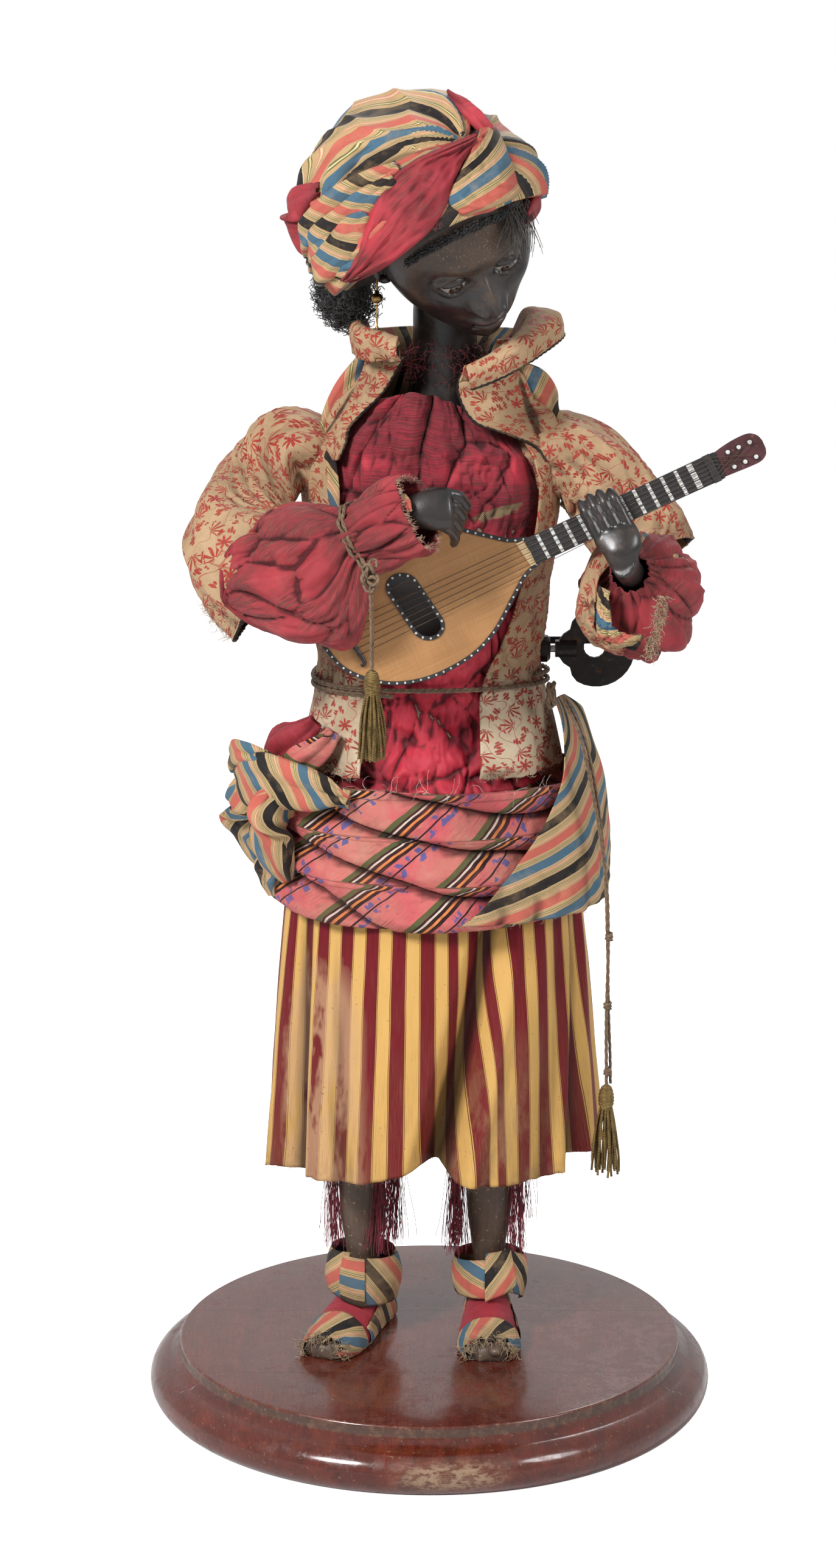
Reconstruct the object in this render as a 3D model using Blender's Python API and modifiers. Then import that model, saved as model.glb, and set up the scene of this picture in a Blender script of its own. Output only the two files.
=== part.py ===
"""A musical automaton: a standing figure in dress of striped silk and brocade that plays a lute.

A clockwork in the torso turns a camshaft and a pinned cylinder. The head turns and nods, the
eyelids blink, the lower lip moves, and both forearms move over the lute. The figure faces -Y,
and the origin is at the centre of the underside of the round wooden base.
"""
import math

import bmesh
import bpy
from mathutils import Matrix, Vector

GAP = 0.0003
RUNNING = 0.00006
SPLIT_MERGE = 0.00001

# Base
BASE_HEIGHT = 0.038
BASE_RADIUS = 0.1764
BASE_TOP_RADIUS = 0.1574
BASE_ROLL = 0.0145
BASE_SIDES = 28
BOLT_RADIUS = 0.0027
BOLT_HEAD_RADIUS = 0.0065
BOLT_HEAD_HEIGHT = 0.004
BOLT_REACH = 0.06

# Feet, legs and pelvis
ANKLE_RIGHT = Vector((-0.043, 0.008, 0.0))
ANKLE_LEFT = Vector((0.037, 0.008, 0.0))
TOE_TURN_RIGHT = -0.39
TOE_TURN_LEFT = 0.0
FOOT_LENGTH = 0.092
FOOT_HEEL = 0.030
SOLE_Z = BASE_HEIGHT + GAP
SANDAL_WALL = 0.0028
FOOT_ROOM = 0.0012
ANKLE_BAND_Z = 0.077
ANKLE_BAND_HEIGHT = 0.022
ANKLE_BAND_RADIUS = 0.0235
PELVIS_Z = 0.345
PELVIS_TOP_Z = 0.400
PELVIS_HALF = (0.062, 0.034)
FIGURE_Y = 0.012

# Torso and its clothes
TORSO_WALL = 0.0025
TORSO_SPLIT_Y = 0.0443
TORSO_SECTIONS = (
    (0.4003, 0.056, 0.042), (0.430, 0.057, 0.0435), (0.470, 0.058, 0.0445), (0.530, 0.064, 0.046),
    (0.575, 0.0675, 0.045), (0.598, 0.063, 0.039), (0.610, 0.048, 0.031), (0.6165, 0.026, 0.023),
)
BLOUSE_WALL = 0.0030
BLOUSE_LOW_Z = 0.4085
BLOUSE_TOP_Z = 0.5960
CLOTH_WALL = 0.0018
JACKET_HEM_Z = 0.4125
WRAP_HEM_Z = 0.330
WRAP_TOP_Z = 0.406
TROUSER_TOP_Z = 0.3600
TROUSER_HEM_Z = 0.156
BELT_Z = 0.4600
BELT_CORD_RADIUS = 0.0016

# Clockwork, with its arbors along X
AXIS_Y = 0.012
AXIS_Z = 0.4745
PLATE_X = 0.0265
PLATE_WALL = 0.002
PLATE_LOW = (-0.0220, 0.4490)
PLATE_HIGH = (0.0460, 0.5420)
TOOTH_BARREL = 32
TOOTH_SECOND_PINION = 8
TOOTH_SECOND_WHEEL = 28
TOOTH_THIRD_PINION = 8
TOOTH_THIRD_WHEEL = 24
TOOTH_FLY_PINION = 8
TOOTH_CAM_WHEEL = 16
TOOTH_MUSIC_WHEEL = 16
TOOTH_RATCHET = 12
MODULE_GREAT = 0.0015
MODULE_SECOND = 0.0010
MODULE_THIRD = 0.00075
SPRING_TURNS = 4
ARBOR_RADIUS = 0.0012
WINDING_RADIUS = 0.0024
KEY_COLLAR_RADIUS = 0.0085
KEY_X = 0.0765
KEY_BOW_X = 0.1015
KEY_BOW_RADIUS = 0.0236
KEY_HOLE_RADIUS = 0.0066
KEY_PLATE = 0.0030
STOP_LEVER_Y = AXIS_Y + KEY_BOW_RADIUS + 0.004

# Head, which is turned to the figure's left, bent down and tilted
HEAD_YAW = math.radians(30)
HEAD_PITCH = math.radians(36)
HEAD_ROLL = math.radians(27)
HEAD_CENTRE = Vector((0.011, -0.033, 0.732))
HEAD_HALF = Vector((0.0455, 0.0520, 0.0620))
HEAD_WALL = 0.005
NECK_AXIS = Vector((0.009, 0.012, 0.0))
NECK_RADIUS = 0.0185
NECK_TOP_Z = 0.6640
NECK_PIN_RADIUS = 0.0025
NOD_Z = 0.7000
EYE_RADIUS = 0.0085
EYE_SPREAD = 0.0165
EYE_FORWARD = 0.0400
EYE_UP = 0.004
LID_WALL = 0.0007
LID_GAP = 0.0005
LIP_PIVOT = (0.012, -0.022)
TURBAN_CENTRE = Vector((-0.012, -0.012, 0.016))
TURBAN_HALF = Vector((0.0680, 0.0720, 0.0570))
TURBAN_BRIM_DROP = 0.0025

# Lute
LUTE_JOINT = Vector((0.0593, -0.0820, 0.5498))
LUTE_RISE = math.radians(25)
LUTE_LEAN = math.radians(6)
LUTE_OUTLINE = (
    (0.000, 0.0083), (-0.010, 0.0120), (-0.022, 0.0210), (-0.038, 0.0330), (-0.055, 0.0405),
    (-0.075, 0.0430), (-0.092, 0.0415), (-0.107, 0.0365), (-0.120, 0.0275), (-0.130, 0.0150),
    (-0.1345, 0.0),
)
SOUNDBOARD_WALL = 0.0020
BOWL_DEPTH = 0.030
BOWL_WALL = 0.0016
BOWL_CENTRE_S = -0.072
SOUND_HOLE = (-0.0755, -0.001, 0.0075, 0.0125)
BRIDGE_S = -0.119
STRING_COUNT = 6
STRING_RADIUS = 0.0003
NUT_S = 0.1150
LUTE_CLEAR = 0.0042

# Arms
ELBOW_RIGHT = Vector((-0.113, -0.066, 0.522))
WRIST_RIGHT = Vector((-0.0155, -0.121, 0.578))
ELBOW_LEFT = Vector((0.138, -0.008, 0.506))
WRIST_LEFT = Vector((0.1120, -0.0960, 0.5430))
SHOULDER_RIGHT = Vector((-0.0935, 0.010, 0.590))
SHOULDER_LEFT = Vector((0.0935, 0.010, 0.590))

for old in list(bpy.data.objects):
    bpy.data.objects.remove(old, do_unlink=True)
PARTS = bpy.data.collections.new("musical_automaton")
CUTTERS = bpy.data.collections.new("cutters")
for made in (PARTS, CUTTERS):
    bpy.context.scene.collection.children.link(made)


def material(name, colour, roughness=0.6, metallic=0.0):
    made = bpy.data.materials.new(name)
    made.use_nodes = True
    shader = made.node_tree.nodes["Principled BSDF"]
    shader.inputs["Base Color"].default_value = (*colour, 1.0)
    shader.inputs["Roughness"].default_value = roughness
    shader.inputs["Metallic"].default_value = metallic
    made.diffuse_color = (*colour, 1.0)
    return made


MAHOGANY = material("mahogany", (0.16, 0.035, 0.018), 0.3)
IRON = material("iron", (0.03, 0.028, 0.026), 0.5, 0.8)
BRASS = material("brass", (0.60, 0.42, 0.16), 0.35, 1.0)
STEEL = material("steel", (0.42, 0.42, 0.44), 0.35, 1.0)
BEECH = material("beech", (0.45, 0.30, 0.17), 0.6)
PAINTED_SKIN = material("painted_skin", (0.035, 0.026, 0.022), 0.4)
PAINTED_LEG = material("painted_leg", (0.13, 0.085, 0.06), 0.6)
PAPER = material("papier_mache", (0.30, 0.24, 0.18), 0.8)
EYE_GLASS = material("eye_glass", (0.02, 0.012, 0.008), 0.05)
KID_LEATHER = material("kid_leather", (0.05, 0.035, 0.03), 0.5)
WOOL = material("black_wool", (0.01, 0.01, 0.01), 0.9)
STRIPED_SILK = material("striped_silk", (0.55, 0.38, 0.24), 0.6)
BROCADE = material("brocade", (0.58, 0.42, 0.27), 0.7)
RED_SILK = material("red_silk", (0.45, 0.04, 0.07), 0.5)
PINK_WEAVE = material("pink_weave", (0.62, 0.17, 0.18), 0.7)
SATIN_STRIPE = material("satin_stripe", (0.50, 0.28, 0.12), 0.5)
CORD = material("cord", (0.20, 0.12, 0.06), 0.8)
GOLD_THREAD = material("gold_thread", (0.32, 0.22, 0.08), 0.6)
SPRUCE = material("spruce", (0.46, 0.25, 0.10), 0.45)
MAPLE = material("lute_back", (0.20, 0.07, 0.03), 0.4)
EBONISED = material("ebonised_neck", (0.06, 0.015, 0.015), 0.4)


# Shape helpers
def new_object(name, mesh, look):
    made = bpy.data.objects.new(name, mesh)
    made.data.materials.append(look)
    PARTS.objects.link(made)
    return made


def mesh_from(name, points, faces):
    mesh = bpy.data.meshes.new(name)
    mesh.from_pydata([tuple(point) for point in points], [], faces)
    mesh.update()
    return mesh


def soften(made, angle=math.radians(35)):
    made.data.shade_smooth()
    made.data.set_sharp_from_angle(angle=angle)


def set_pivot(made, point):
    """Moves an object's origin to a joint's axis and leaves its shape in place."""
    shift = Vector(point) - made.location
    made.data.transform(Matrix.Translation(-shift))
    made.location = Vector(point)


def as_cutter(made):
    for owner in made.users_collection:
        owner.objects.unlink(made)
    CUTTERS.objects.link(made)
    made.hide_render = True
    made.display_type = "WIRE"
    return made


def boolean(made, other, operation="DIFFERENCE"):
    as_cutter(other)
    step = made.modifiers.new(other.name, "BOOLEAN")
    step.operation = operation
    step.solver = "EXACT"
    step.object = other


def settle(made):
    """Turns an object and its modifiers into a plain mesh, so that a later cut starts from it."""
    bpy.context.view_layer.update()
    graph = bpy.context.evaluated_depsgraph_get()
    mesh = bpy.data.meshes.new_from_object(made.evaluated_get(graph))
    cage = bmesh.new()
    cage.from_mesh(mesh)
    bmesh.ops.remove_doubles(cage, verts=cage.verts, dist=SPLIT_MERGE)
    cage.to_mesh(mesh)
    cage.free()
    name, look, place = made.name, made.data.materials[0], made.matrix_world.copy()
    bpy.data.objects.remove(made, do_unlink=True)
    settled = new_object(name, mesh, look)
    settled.data.materials.clear()
    settled.data.materials.append(look)
    settled.matrix_world = place
    return settled


def loft(name, rings, look):
    """A closed skin over rings of equal length, with flat ends."""
    count = len(rings[0])
    points = [point for ring in rings for point in ring]
    faces = [tuple(reversed(range(count)))]
    for row in range(len(rings) - 1):
        for step in range(count):
            after = (step + 1) % count
            low, high = row * count, (row + 1) * count
            faces.append((low + step, low + after, high + after, high + step))
    last = (len(rings) - 1) * count
    faces.append(tuple(range(last, last + count)))
    made = new_object(name, mesh_from(name, points, faces), look)
    cage = bmesh.new()
    cage.from_mesh(made.data)
    bmesh.ops.recalc_face_normals(cage, faces=cage.faces)
    cage.to_mesh(made.data)
    cage.free()
    soften(made)
    return made


def cloth(name, rows, look, closed, wall=CLOTH_WALL):
    """An open sheet over rows that run the same way, thickened outwards."""
    count = len(rows[0])
    points = [point for row in rows for point in row]
    faces = []
    for row in range(len(rows) - 1):
        for step in range(count if closed else count - 1):
            after = (step + 1) % count
            low, high = row * count, (row + 1) * count
            faces.append((low + step, low + after, high + after, high + step))
    made = new_object(name, mesh_from(name, points, faces), look)
    skin = made.modifiers.new("wall", "SOLIDIFY")
    skin.thickness = wall
    skin.offset = 1.0
    made.data.shade_smooth()
    return made


def ring_about(centre, along, across, half_across, half_over, sides):
    """An ellipse of points square to a direction."""
    along = Vector(along).normalized()
    across = (Vector(across) - Vector(across).dot(along) * along).normalized()
    over = along.cross(across)
    points = []
    for step in range(sides):
        turn = 2 * math.pi * step / sides
        shift = across * half_across * math.cos(turn) + over * half_over * math.sin(turn)
        points.append(Vector(centre) + shift)
    return points


def limb(name, stations, across, look, sides=12):
    """A tapering limb over stations of (centre, half width, half depth)."""
    rings = []
    for index, (centre, half_across, half_over) in enumerate(stations):
        before = Vector(stations[max(index - 1, 0)][0])
        after = Vector(stations[min(index + 1, len(stations) - 1)][0])
        rings.append(ring_about(centre, after - before, across, half_across, half_over, sides))
    return loft(name, rings, look)


def turned(name, profile, look, sides, place=(0, 0, 0), along_x=False, closed=False):
    """A profile of (radius, height) points turned about Z, or about X, running down its outer side."""
    mesh = bpy.data.meshes.new(name)
    edges = [(step, step + 1) for step in range(len(profile) - 1)]
    if closed:
        edges.append((len(profile) - 1, 0))
    mesh.from_pydata([(radius, 0.0, height) for radius, height in profile], edges, [])
    made = new_object(name, mesh, look)
    spin = made.modifiers.new("turn", "SCREW")
    spin.steps = sides
    spin.render_steps = sides
    spin.use_merge_vertices = True
    spin.merge_threshold = SPLIT_MERGE
    made.location = place
    if along_x:
        made.rotation_euler = (0.0, math.pi / 2, 0.0)
    return made


def rod(name, start, end, radius, look, sides=12):
    start, end = Vector(start), Vector(end)
    across = (0, 0, 1) if abs((end - start).normalized().z) < 0.9 else (1, 0, 0)
    rings = [ring_about(point, end - start, across, radius, radius, sides) for point in (start, end)]
    return loft(name, rings, look)


def block(name, low, high, look, bevel=0.0):
    bpy.ops.mesh.primitive_cube_add(size=1.0)
    made = bpy.context.object
    made.name = name
    for owner in list(made.users_collection):
        owner.objects.unlink(made)
    PARTS.objects.link(made)
    low, high = Vector(low), Vector(high)
    made.data.transform(Matrix.Diagonal((*(high - low), 1.0)))
    made.location = (low + high) / 2
    made.data.materials.append(look)
    if bevel:
        edge = made.modifiers.new("edge", "BEVEL")
        edge.width = bevel
        edge.segments = 2
    return made


def ball(name, centre, half, look, basis=None, segments=24, rings=14):
    cage = bmesh.new()
    bmesh.ops.create_uvsphere(cage, u_segments=segments, v_segments=rings, radius=1.0)
    mesh = bpy.data.meshes.new(name)
    cage.to_mesh(mesh)
    cage.free()
    place = Matrix.Translation(Vector(centre))
    turn = basis.to_4x4() if basis else Matrix.Identity(4)
    mesh.transform(place @ turn @ Matrix.Diagonal((*half, 1.0)))
    made = new_object(name, mesh, look)
    made.data.shade_smooth()
    return made


def smooth_route(points, steps):
    """Points on a smooth curve through the route's own points, at even steps of its parameter."""
    ends = [2 * points[0] - points[1]] + list(points) + [2 * points[-1] - points[-2]]
    route = []
    for index in range(steps + 1):
        whole = index / steps * (len(points) - 1)
        piece = min(int(whole), len(points) - 2)
        part = whole - piece
        a, b, c, d = ends[piece:piece + 4]
        route.append(0.5 * (2 * b + (c - a) * part + (2 * a - 5 * b + 4 * c - d) * part ** 2
                            + (3 * b - a - 3 * c + d) * part ** 3))
    return route


def tube(name, points, radius, look):
    """A cord: a round tube along its points with filled ends."""
    curve = bpy.data.curves.new(name, "CURVE")
    curve.dimensions = "3D"
    curve.bevel_depth = radius
    curve.bevel_resolution = 2
    curve.use_fill_caps = True
    line = curve.splines.new("POLY")
    line.points.add(len(points) - 1)
    for knot, point in zip(line.points, points):
        knot.co = (*point, 1.0)
    made = bpy.data.objects.new(name, curve)
    made.data.materials.append(look)
    PARTS.objects.link(made)
    return made


# Base: a turned mahogany plinth, with two holes for the foot bolts
def make_base():
    roll_x = BASE_RADIUS - BASE_ROLL - 0.0015
    roll_z = BASE_ROLL - 0.0022
    foot = math.asin(-roll_z / BASE_ROLL)
    profile = [(0.0, BASE_HEIGHT), (BASE_TOP_RADIUS - 0.0015, BASE_HEIGHT),
               (BASE_TOP_RADIUS, BASE_HEIGHT - 0.0015), (BASE_TOP_RADIUS, BASE_HEIGHT - 0.0060),
               (BASE_TOP_RADIUS + 0.0026, BASE_HEIGHT - 0.0075)]
    for step in range(6):
        turn = math.radians(78) + (foot - math.radians(78)) * step / 5
        profile.append((roll_x + (BASE_ROLL + 0.0015) * math.cos(turn), roll_z + BASE_ROLL * math.sin(turn)))
    profile[-1] = (profile[-1][0], 0.0)
    profile.append((0.0, 0.0))
    base = turned("base_plinth", profile, MAHOGANY, BASE_SIDES)
    soften(base)
    sink = BOLT_HEAD_HEIGHT + 0.003
    for side, ankle in (("right", ANKLE_RIGHT), ("left", ANKLE_LEFT)):
        above, below, wide = BASE_HEIGHT + 0.002, -0.002, BOLT_HEAD_RADIUS + 0.001
        stepped = [(0.0, above), (BOLT_RADIUS + GAP, above), (BOLT_RADIUS + GAP, sink), (wide, sink),
                   (wide, below), (0.0, below)]
        boolean(base, turned(f"bolt_hole_{side}", stepped, IRON, 10, place=ankle))


def make_bolt(side, ankle):
    seat = BOLT_HEAD_HEIGHT + 0.003 - GAP
    profile = [(0.0, BOLT_REACH), (BOLT_RADIUS, BOLT_REACH), (BOLT_RADIUS, seat),
               (BOLT_HEAD_RADIUS, seat), (BOLT_HEAD_RADIUS, seat - BOLT_HEAD_HEIGHT),
               (0.0, seat - BOLT_HEAD_HEIGHT)]
    bolt = turned(f"foot_bolt_{side}", profile, IRON, 12, place=ankle)
    soften(bolt)


# Feet and legs
FOOT_SECTIONS = ((0.0, 0.0065, 0.012), (0.06, 0.0115, 0.022), (0.22, 0.0130, 0.030), (0.42, 0.0140, 0.031),
                 (0.62, 0.0170, 0.022), (0.82, 0.0170, 0.015), (0.95, 0.0125, 0.011), (1.0, 0.0065, 0.008))


def foot_rings(ankle, turn, grow, share=1.0, sole=SOLE_Z):
    heading = Vector((math.sin(turn), -math.cos(turn), 0.0))
    across = Vector((math.cos(turn), math.sin(turn), 0.0))
    rings = []
    for part, half, height in FOOT_SECTIONS:
        if part > share:
            continue
        centre = ankle + heading * (part * (FOOT_LENGTH + 2 * grow) - FOOT_HEEL - grow)
        ring = [centre - across * (half + grow) * 0.9 + Vector((0, 0, sole)),
                centre + across * (half + grow) * 0.9 + Vector((0, 0, sole))]
        for step in range(6):
            arc = math.pi * step / 5
            low = SOLE_Z + 0.003
            ring.append(centre + across * (half + grow) * math.cos(arc)
                        + Vector((0, 0, low + (height + grow - 0.003) * math.sin(arc))))
        rings.append(ring)
    return rings


def leg_stations(ankle, grow):
    top = PELVIS_Z - GAP
    lean = Vector((0.002, 0.004, 0.0))
    sizes = ((SOLE_Z + 0.012, 0.0100), (0.074, 0.0092), (0.092, 0.0105), (0.118, 0.0140), (0.160, 0.0150),
             (0.200, 0.0140), (0.260, 0.0150), (top, 0.0150))
    return [(ankle + lean * (height / top) + Vector((0, 0, height)), half + grow, half * 1.12 + grow)
            for height, half in sizes]


def make_leg(side, ankle, turn):
    leg = limb(f"leg_{side}", leg_stations(ankle, 0.0), (1, 0, 0), PAINTED_LEG, sides=10)
    foot = loft(f"foot_{side}", foot_rings(ankle, turn, 0.0), PAINTED_LEG)
    boolean(leg, foot, "UNION")
    bore_ends = [ankle + Vector((0, 0, height)) for height in (0.02, BOLT_REACH + 0.001)]
    boolean(leg, rod(f"leg_bore_{side}", *bore_ends, BOLT_RADIUS + GAP, IRON))


def make_sandal(side, ankle, turn):
    rings = foot_rings(ankle, turn, SANDAL_WALL, share=0.9)[1:]
    sandal = loft(f"sandal_{side}", rings, STRIPED_SILK)
    heading = Vector((math.sin(turn), -math.cos(turn), 0.0))
    band_at = ankle + heading * 0.004 + Vector((0, 0, ANKLE_BAND_Z))
    lean = heading * -0.20 + Vector((0, 0, 1))
    stations = [(band_at + lean * height, radius, radius)
                for height, radius in ((-0.5 * ANKLE_BAND_HEIGHT, ANKLE_BAND_RADIUS * 0.86),
                                       (0.0, ANKLE_BAND_RADIUS),
                                       (0.5 * ANKLE_BAND_HEIGHT, ANKLE_BAND_RADIUS * 0.78))]
    boolean(sandal, limb(f"ankle_band_{side}", stations, (1, 0, 0), STRIPED_SILK, sides=14), "UNION")
    below = SOLE_Z - 0.002
    boolean(sandal, loft(f"foot_room_{side}", foot_rings(ankle, turn, FOOT_ROOM, sole=below), PAINTED_LEG))
    boolean(sandal, limb(f"leg_room_{side}", leg_stations(ankle, 0.0004), (1, 0, 0), PAINTED_LEG, sides=10))


def make_pelvis():
    half_x, half_y = PELVIS_HALF
    block("pelvis_block", (-half_x, FIGURE_Y - half_y, PELVIS_Z), (half_x, FIGURE_Y + half_y, PELVIS_TOP_Z),
          BEECH, 0.006)


# Torso: two papier-mache shells, split down the sides
def torso_ring(height, half_x, half_y, sides=20):
    points = []
    for step in range(sides):
        turn = 2 * math.pi * step / sides
        points.append(Vector((half_x * math.cos(turn), FIGURE_Y + half_y * math.sin(turn), height)))
    return points


def torso_size(height):
    """Half width and half depth of the torso at a height."""
    for (low, low_x, low_y), (high, high_x, high_y) in zip(TORSO_SECTIONS, TORSO_SECTIONS[1:]):
        if height <= high or high == TORSO_SECTIONS[-1][0]:
            part = min(max((height - low) / (high - low), 0.0), 1.0)
            return low_x + (high_x - low_x) * part, low_y + (high_y - low_y) * part
    raise ValueError(height)


def make_torso_half(name, back):
    shell = loft(name, [torso_ring(*section) for section in TORSO_SECTIONS], PAPER)
    inner = []
    for height, half_x, half_y in TORSO_SECTIONS[:-1]:
        low = height + TORSO_WALL if height == TORSO_SECTIONS[0][0] else height - 0.001
        inner.append(torso_ring(low, half_x - TORSO_WALL, half_y - TORSO_WALL))
    boolean(shell, loft(f"{name}_room", inner, PAPER))
    wide, deep = 0.2, 0.2
    if back:
        half = block(f"{name}_half", (-wide, -deep, 0.3), (wide, TORSO_SPLIT_Y + GAP, 0.8), PAPER)
    else:
        half = block(f"{name}_half", (-wide, TORSO_SPLIT_Y, 0.3), (wide, deep, 0.8), PAPER)
        key_hole = rod("key_hole", (0.04, AXIS_Y, AXIS_Z), (0.09, AXIS_Y, AXIS_Z), 0.0050, PAPER)
        boolean(shell, key_hole)
        lever_slot = block("lever_slot", (0.025, STOP_LEVER_Y - 0.0025, AXIS_Z - 0.010),
                           (0.09, STOP_LEVER_Y + 0.0025, AXIS_Z + 0.010), PAPER)
        boolean(shell, lever_slot)
    boolean(shell, half)


def make_key_collar():
    reach = torso_size(AXIS_Z)[0]
    profile = [(0.0048, reach + 0.015), (KEY_COLLAR_RADIUS - 0.002, reach + 0.015),
               (KEY_COLLAR_RADIUS, reach + 0.013), (KEY_COLLAR_RADIUS, reach + 0.0015),
               (0.0048, reach + 0.0015)]
    collar = turned("key_collar", profile, IRON, 16, place=(0, AXIS_Y, AXIS_Z), along_x=True, closed=True)
    soften(collar)


# Clockwork wheels
def tooth_phase(phase, teeth, bearing, other_teeth):
    """The phase that puts a gap of the second wheel over a tooth of the first, along their bearing."""
    pitch = 2 * math.pi / teeth
    offset = (phase - bearing + pitch / 2) % pitch - pitch / 2
    other_offset = -offset * teeth / other_teeth
    return bearing + math.pi + other_offset - math.pi / other_teeth


def gear(name, teeth, module, low_x, high_x, centre, phase, look=BRASS, bore=None):
    """A spur wheel with slim teeth, turned about X. Its bore is cut where one is given."""
    pitch_radius = teeth * module / 2
    pitch = 2 * math.pi / teeth
    shape = ((0.0, 0.70), (0.5, -1.05))
    section = []
    for tooth in range(teeth):
        for share, rise in shape:
            turn = phase + (tooth + share) * pitch
            radius = pitch_radius + rise * module
            section.append(Vector((0.0, radius * math.cos(turn), radius * math.sin(turn))))
    rings = [[point + Vector((x, centre[0], centre[1])) for point in section] for x in (low_x, high_x)]
    wheel = loft(name, rings, look)
    set_pivot(wheel, (0.0, centre[0], centre[1]))
    if bore:
        boolean(wheel, x_rod(f"{name}_bore", low_x - 0.001, high_x + 0.001, centre, bore))
    return wheel


def x_rod(name, low_x, high_x, centre, radius, look=STEEL, sides=8):
    return rod(name, (low_x, centre[0], centre[1]), (high_x, centre[0], centre[1]), radius, look, sides)


def bearing_radius(radius, sides=8):
    return (radius + RUNNING) / math.cos(math.pi / sides)


def polar(centre, distance, degrees):
    turn = math.radians(degrees)
    return (centre[0] + distance * math.cos(turn), centre[1] + distance * math.sin(turn))


BARREL_AT = (AXIS_Y, AXIS_Z)
SECOND_BEARING = 50
THIRD_BEARING = 120
FLY_BEARING = 20
CAM_BEARING = 120
MUSIC_BEARING = 60
SECOND_AT = polar(BARREL_AT, (TOOTH_BARREL + TOOTH_SECOND_PINION) * MODULE_GREAT / 2, SECOND_BEARING)
THIRD_AT = polar(SECOND_AT, (TOOTH_SECOND_WHEEL + TOOTH_THIRD_PINION) * MODULE_SECOND / 2, THIRD_BEARING)
FLY_AT = polar(THIRD_AT, (TOOTH_THIRD_WHEEL + TOOTH_FLY_PINION) * MODULE_THIRD / 2, FLY_BEARING)
CAM_AT = polar(BARREL_AT, (TOOTH_BARREL + TOOTH_CAM_WHEEL) * MODULE_GREAT / 2, CAM_BEARING)
MUSIC_AT = polar(CAM_AT, (TOOTH_CAM_WHEEL + TOOTH_MUSIC_WHEEL) * MODULE_GREAT / 2, MUSIC_BEARING)
SHORT_ARBOR = PLATE_X + PLATE_WALL / 2 + 0.0005
CAM_ARBOR_END = -0.0480
LEVER_STUD = (0.0330, 0.5290)
LEVER_STUD_RADIUS = 0.0015
STUD_END = -0.0400
CAM_RADIUS = 0.0110
CAM_PLACES = (-0.0345, -0.0405)


def make_plate(name, centre_x, with_pillars):
    low = (centre_x - PLATE_WALL / 2, *PLATE_LOW)
    high = (centre_x + PLATE_WALL / 2, *PLATE_HIGH)
    plate = block(name, low, high, BRASS)
    reach = 0.003
    for label, centre, radius in (("barrel", BARREL_AT, WINDING_RADIUS), ("second", SECOND_AT, ARBOR_RADIUS),
                                  ("third", THIRD_AT, ARBOR_RADIUS), ("fly", FLY_AT, ARBOR_RADIUS),
                                  ("cam", CAM_AT, ARBOR_RADIUS), ("music", MUSIC_AT, ARBOR_RADIUS)):
        boolean(plate, x_rod(f"{name}_{label}_hole", centre_x - reach, centre_x + reach, centre,
                             bearing_radius(radius)))
    if with_pillars:
        gap_x = 2 * PLATE_X - PLATE_WALL - GAP
        start = centre_x - PLATE_WALL / 2 + 0.0005
        corners = [(y, z) for y in (PLATE_LOW[0] + 0.0035, PLATE_HIGH[0] - 0.0035)
                   for z in (PLATE_LOW[1] + 0.0035, PLATE_HIGH[1] - 0.0035)]
        for index, (y, z) in enumerate(corners):
            pillar = x_rod(f"pillar_{index}", start - 0.0005 - gap_x, start, (y, z), 0.0025, BRASS, 8)
            boolean(plate, pillar, "UNION")
    return plate


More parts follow.
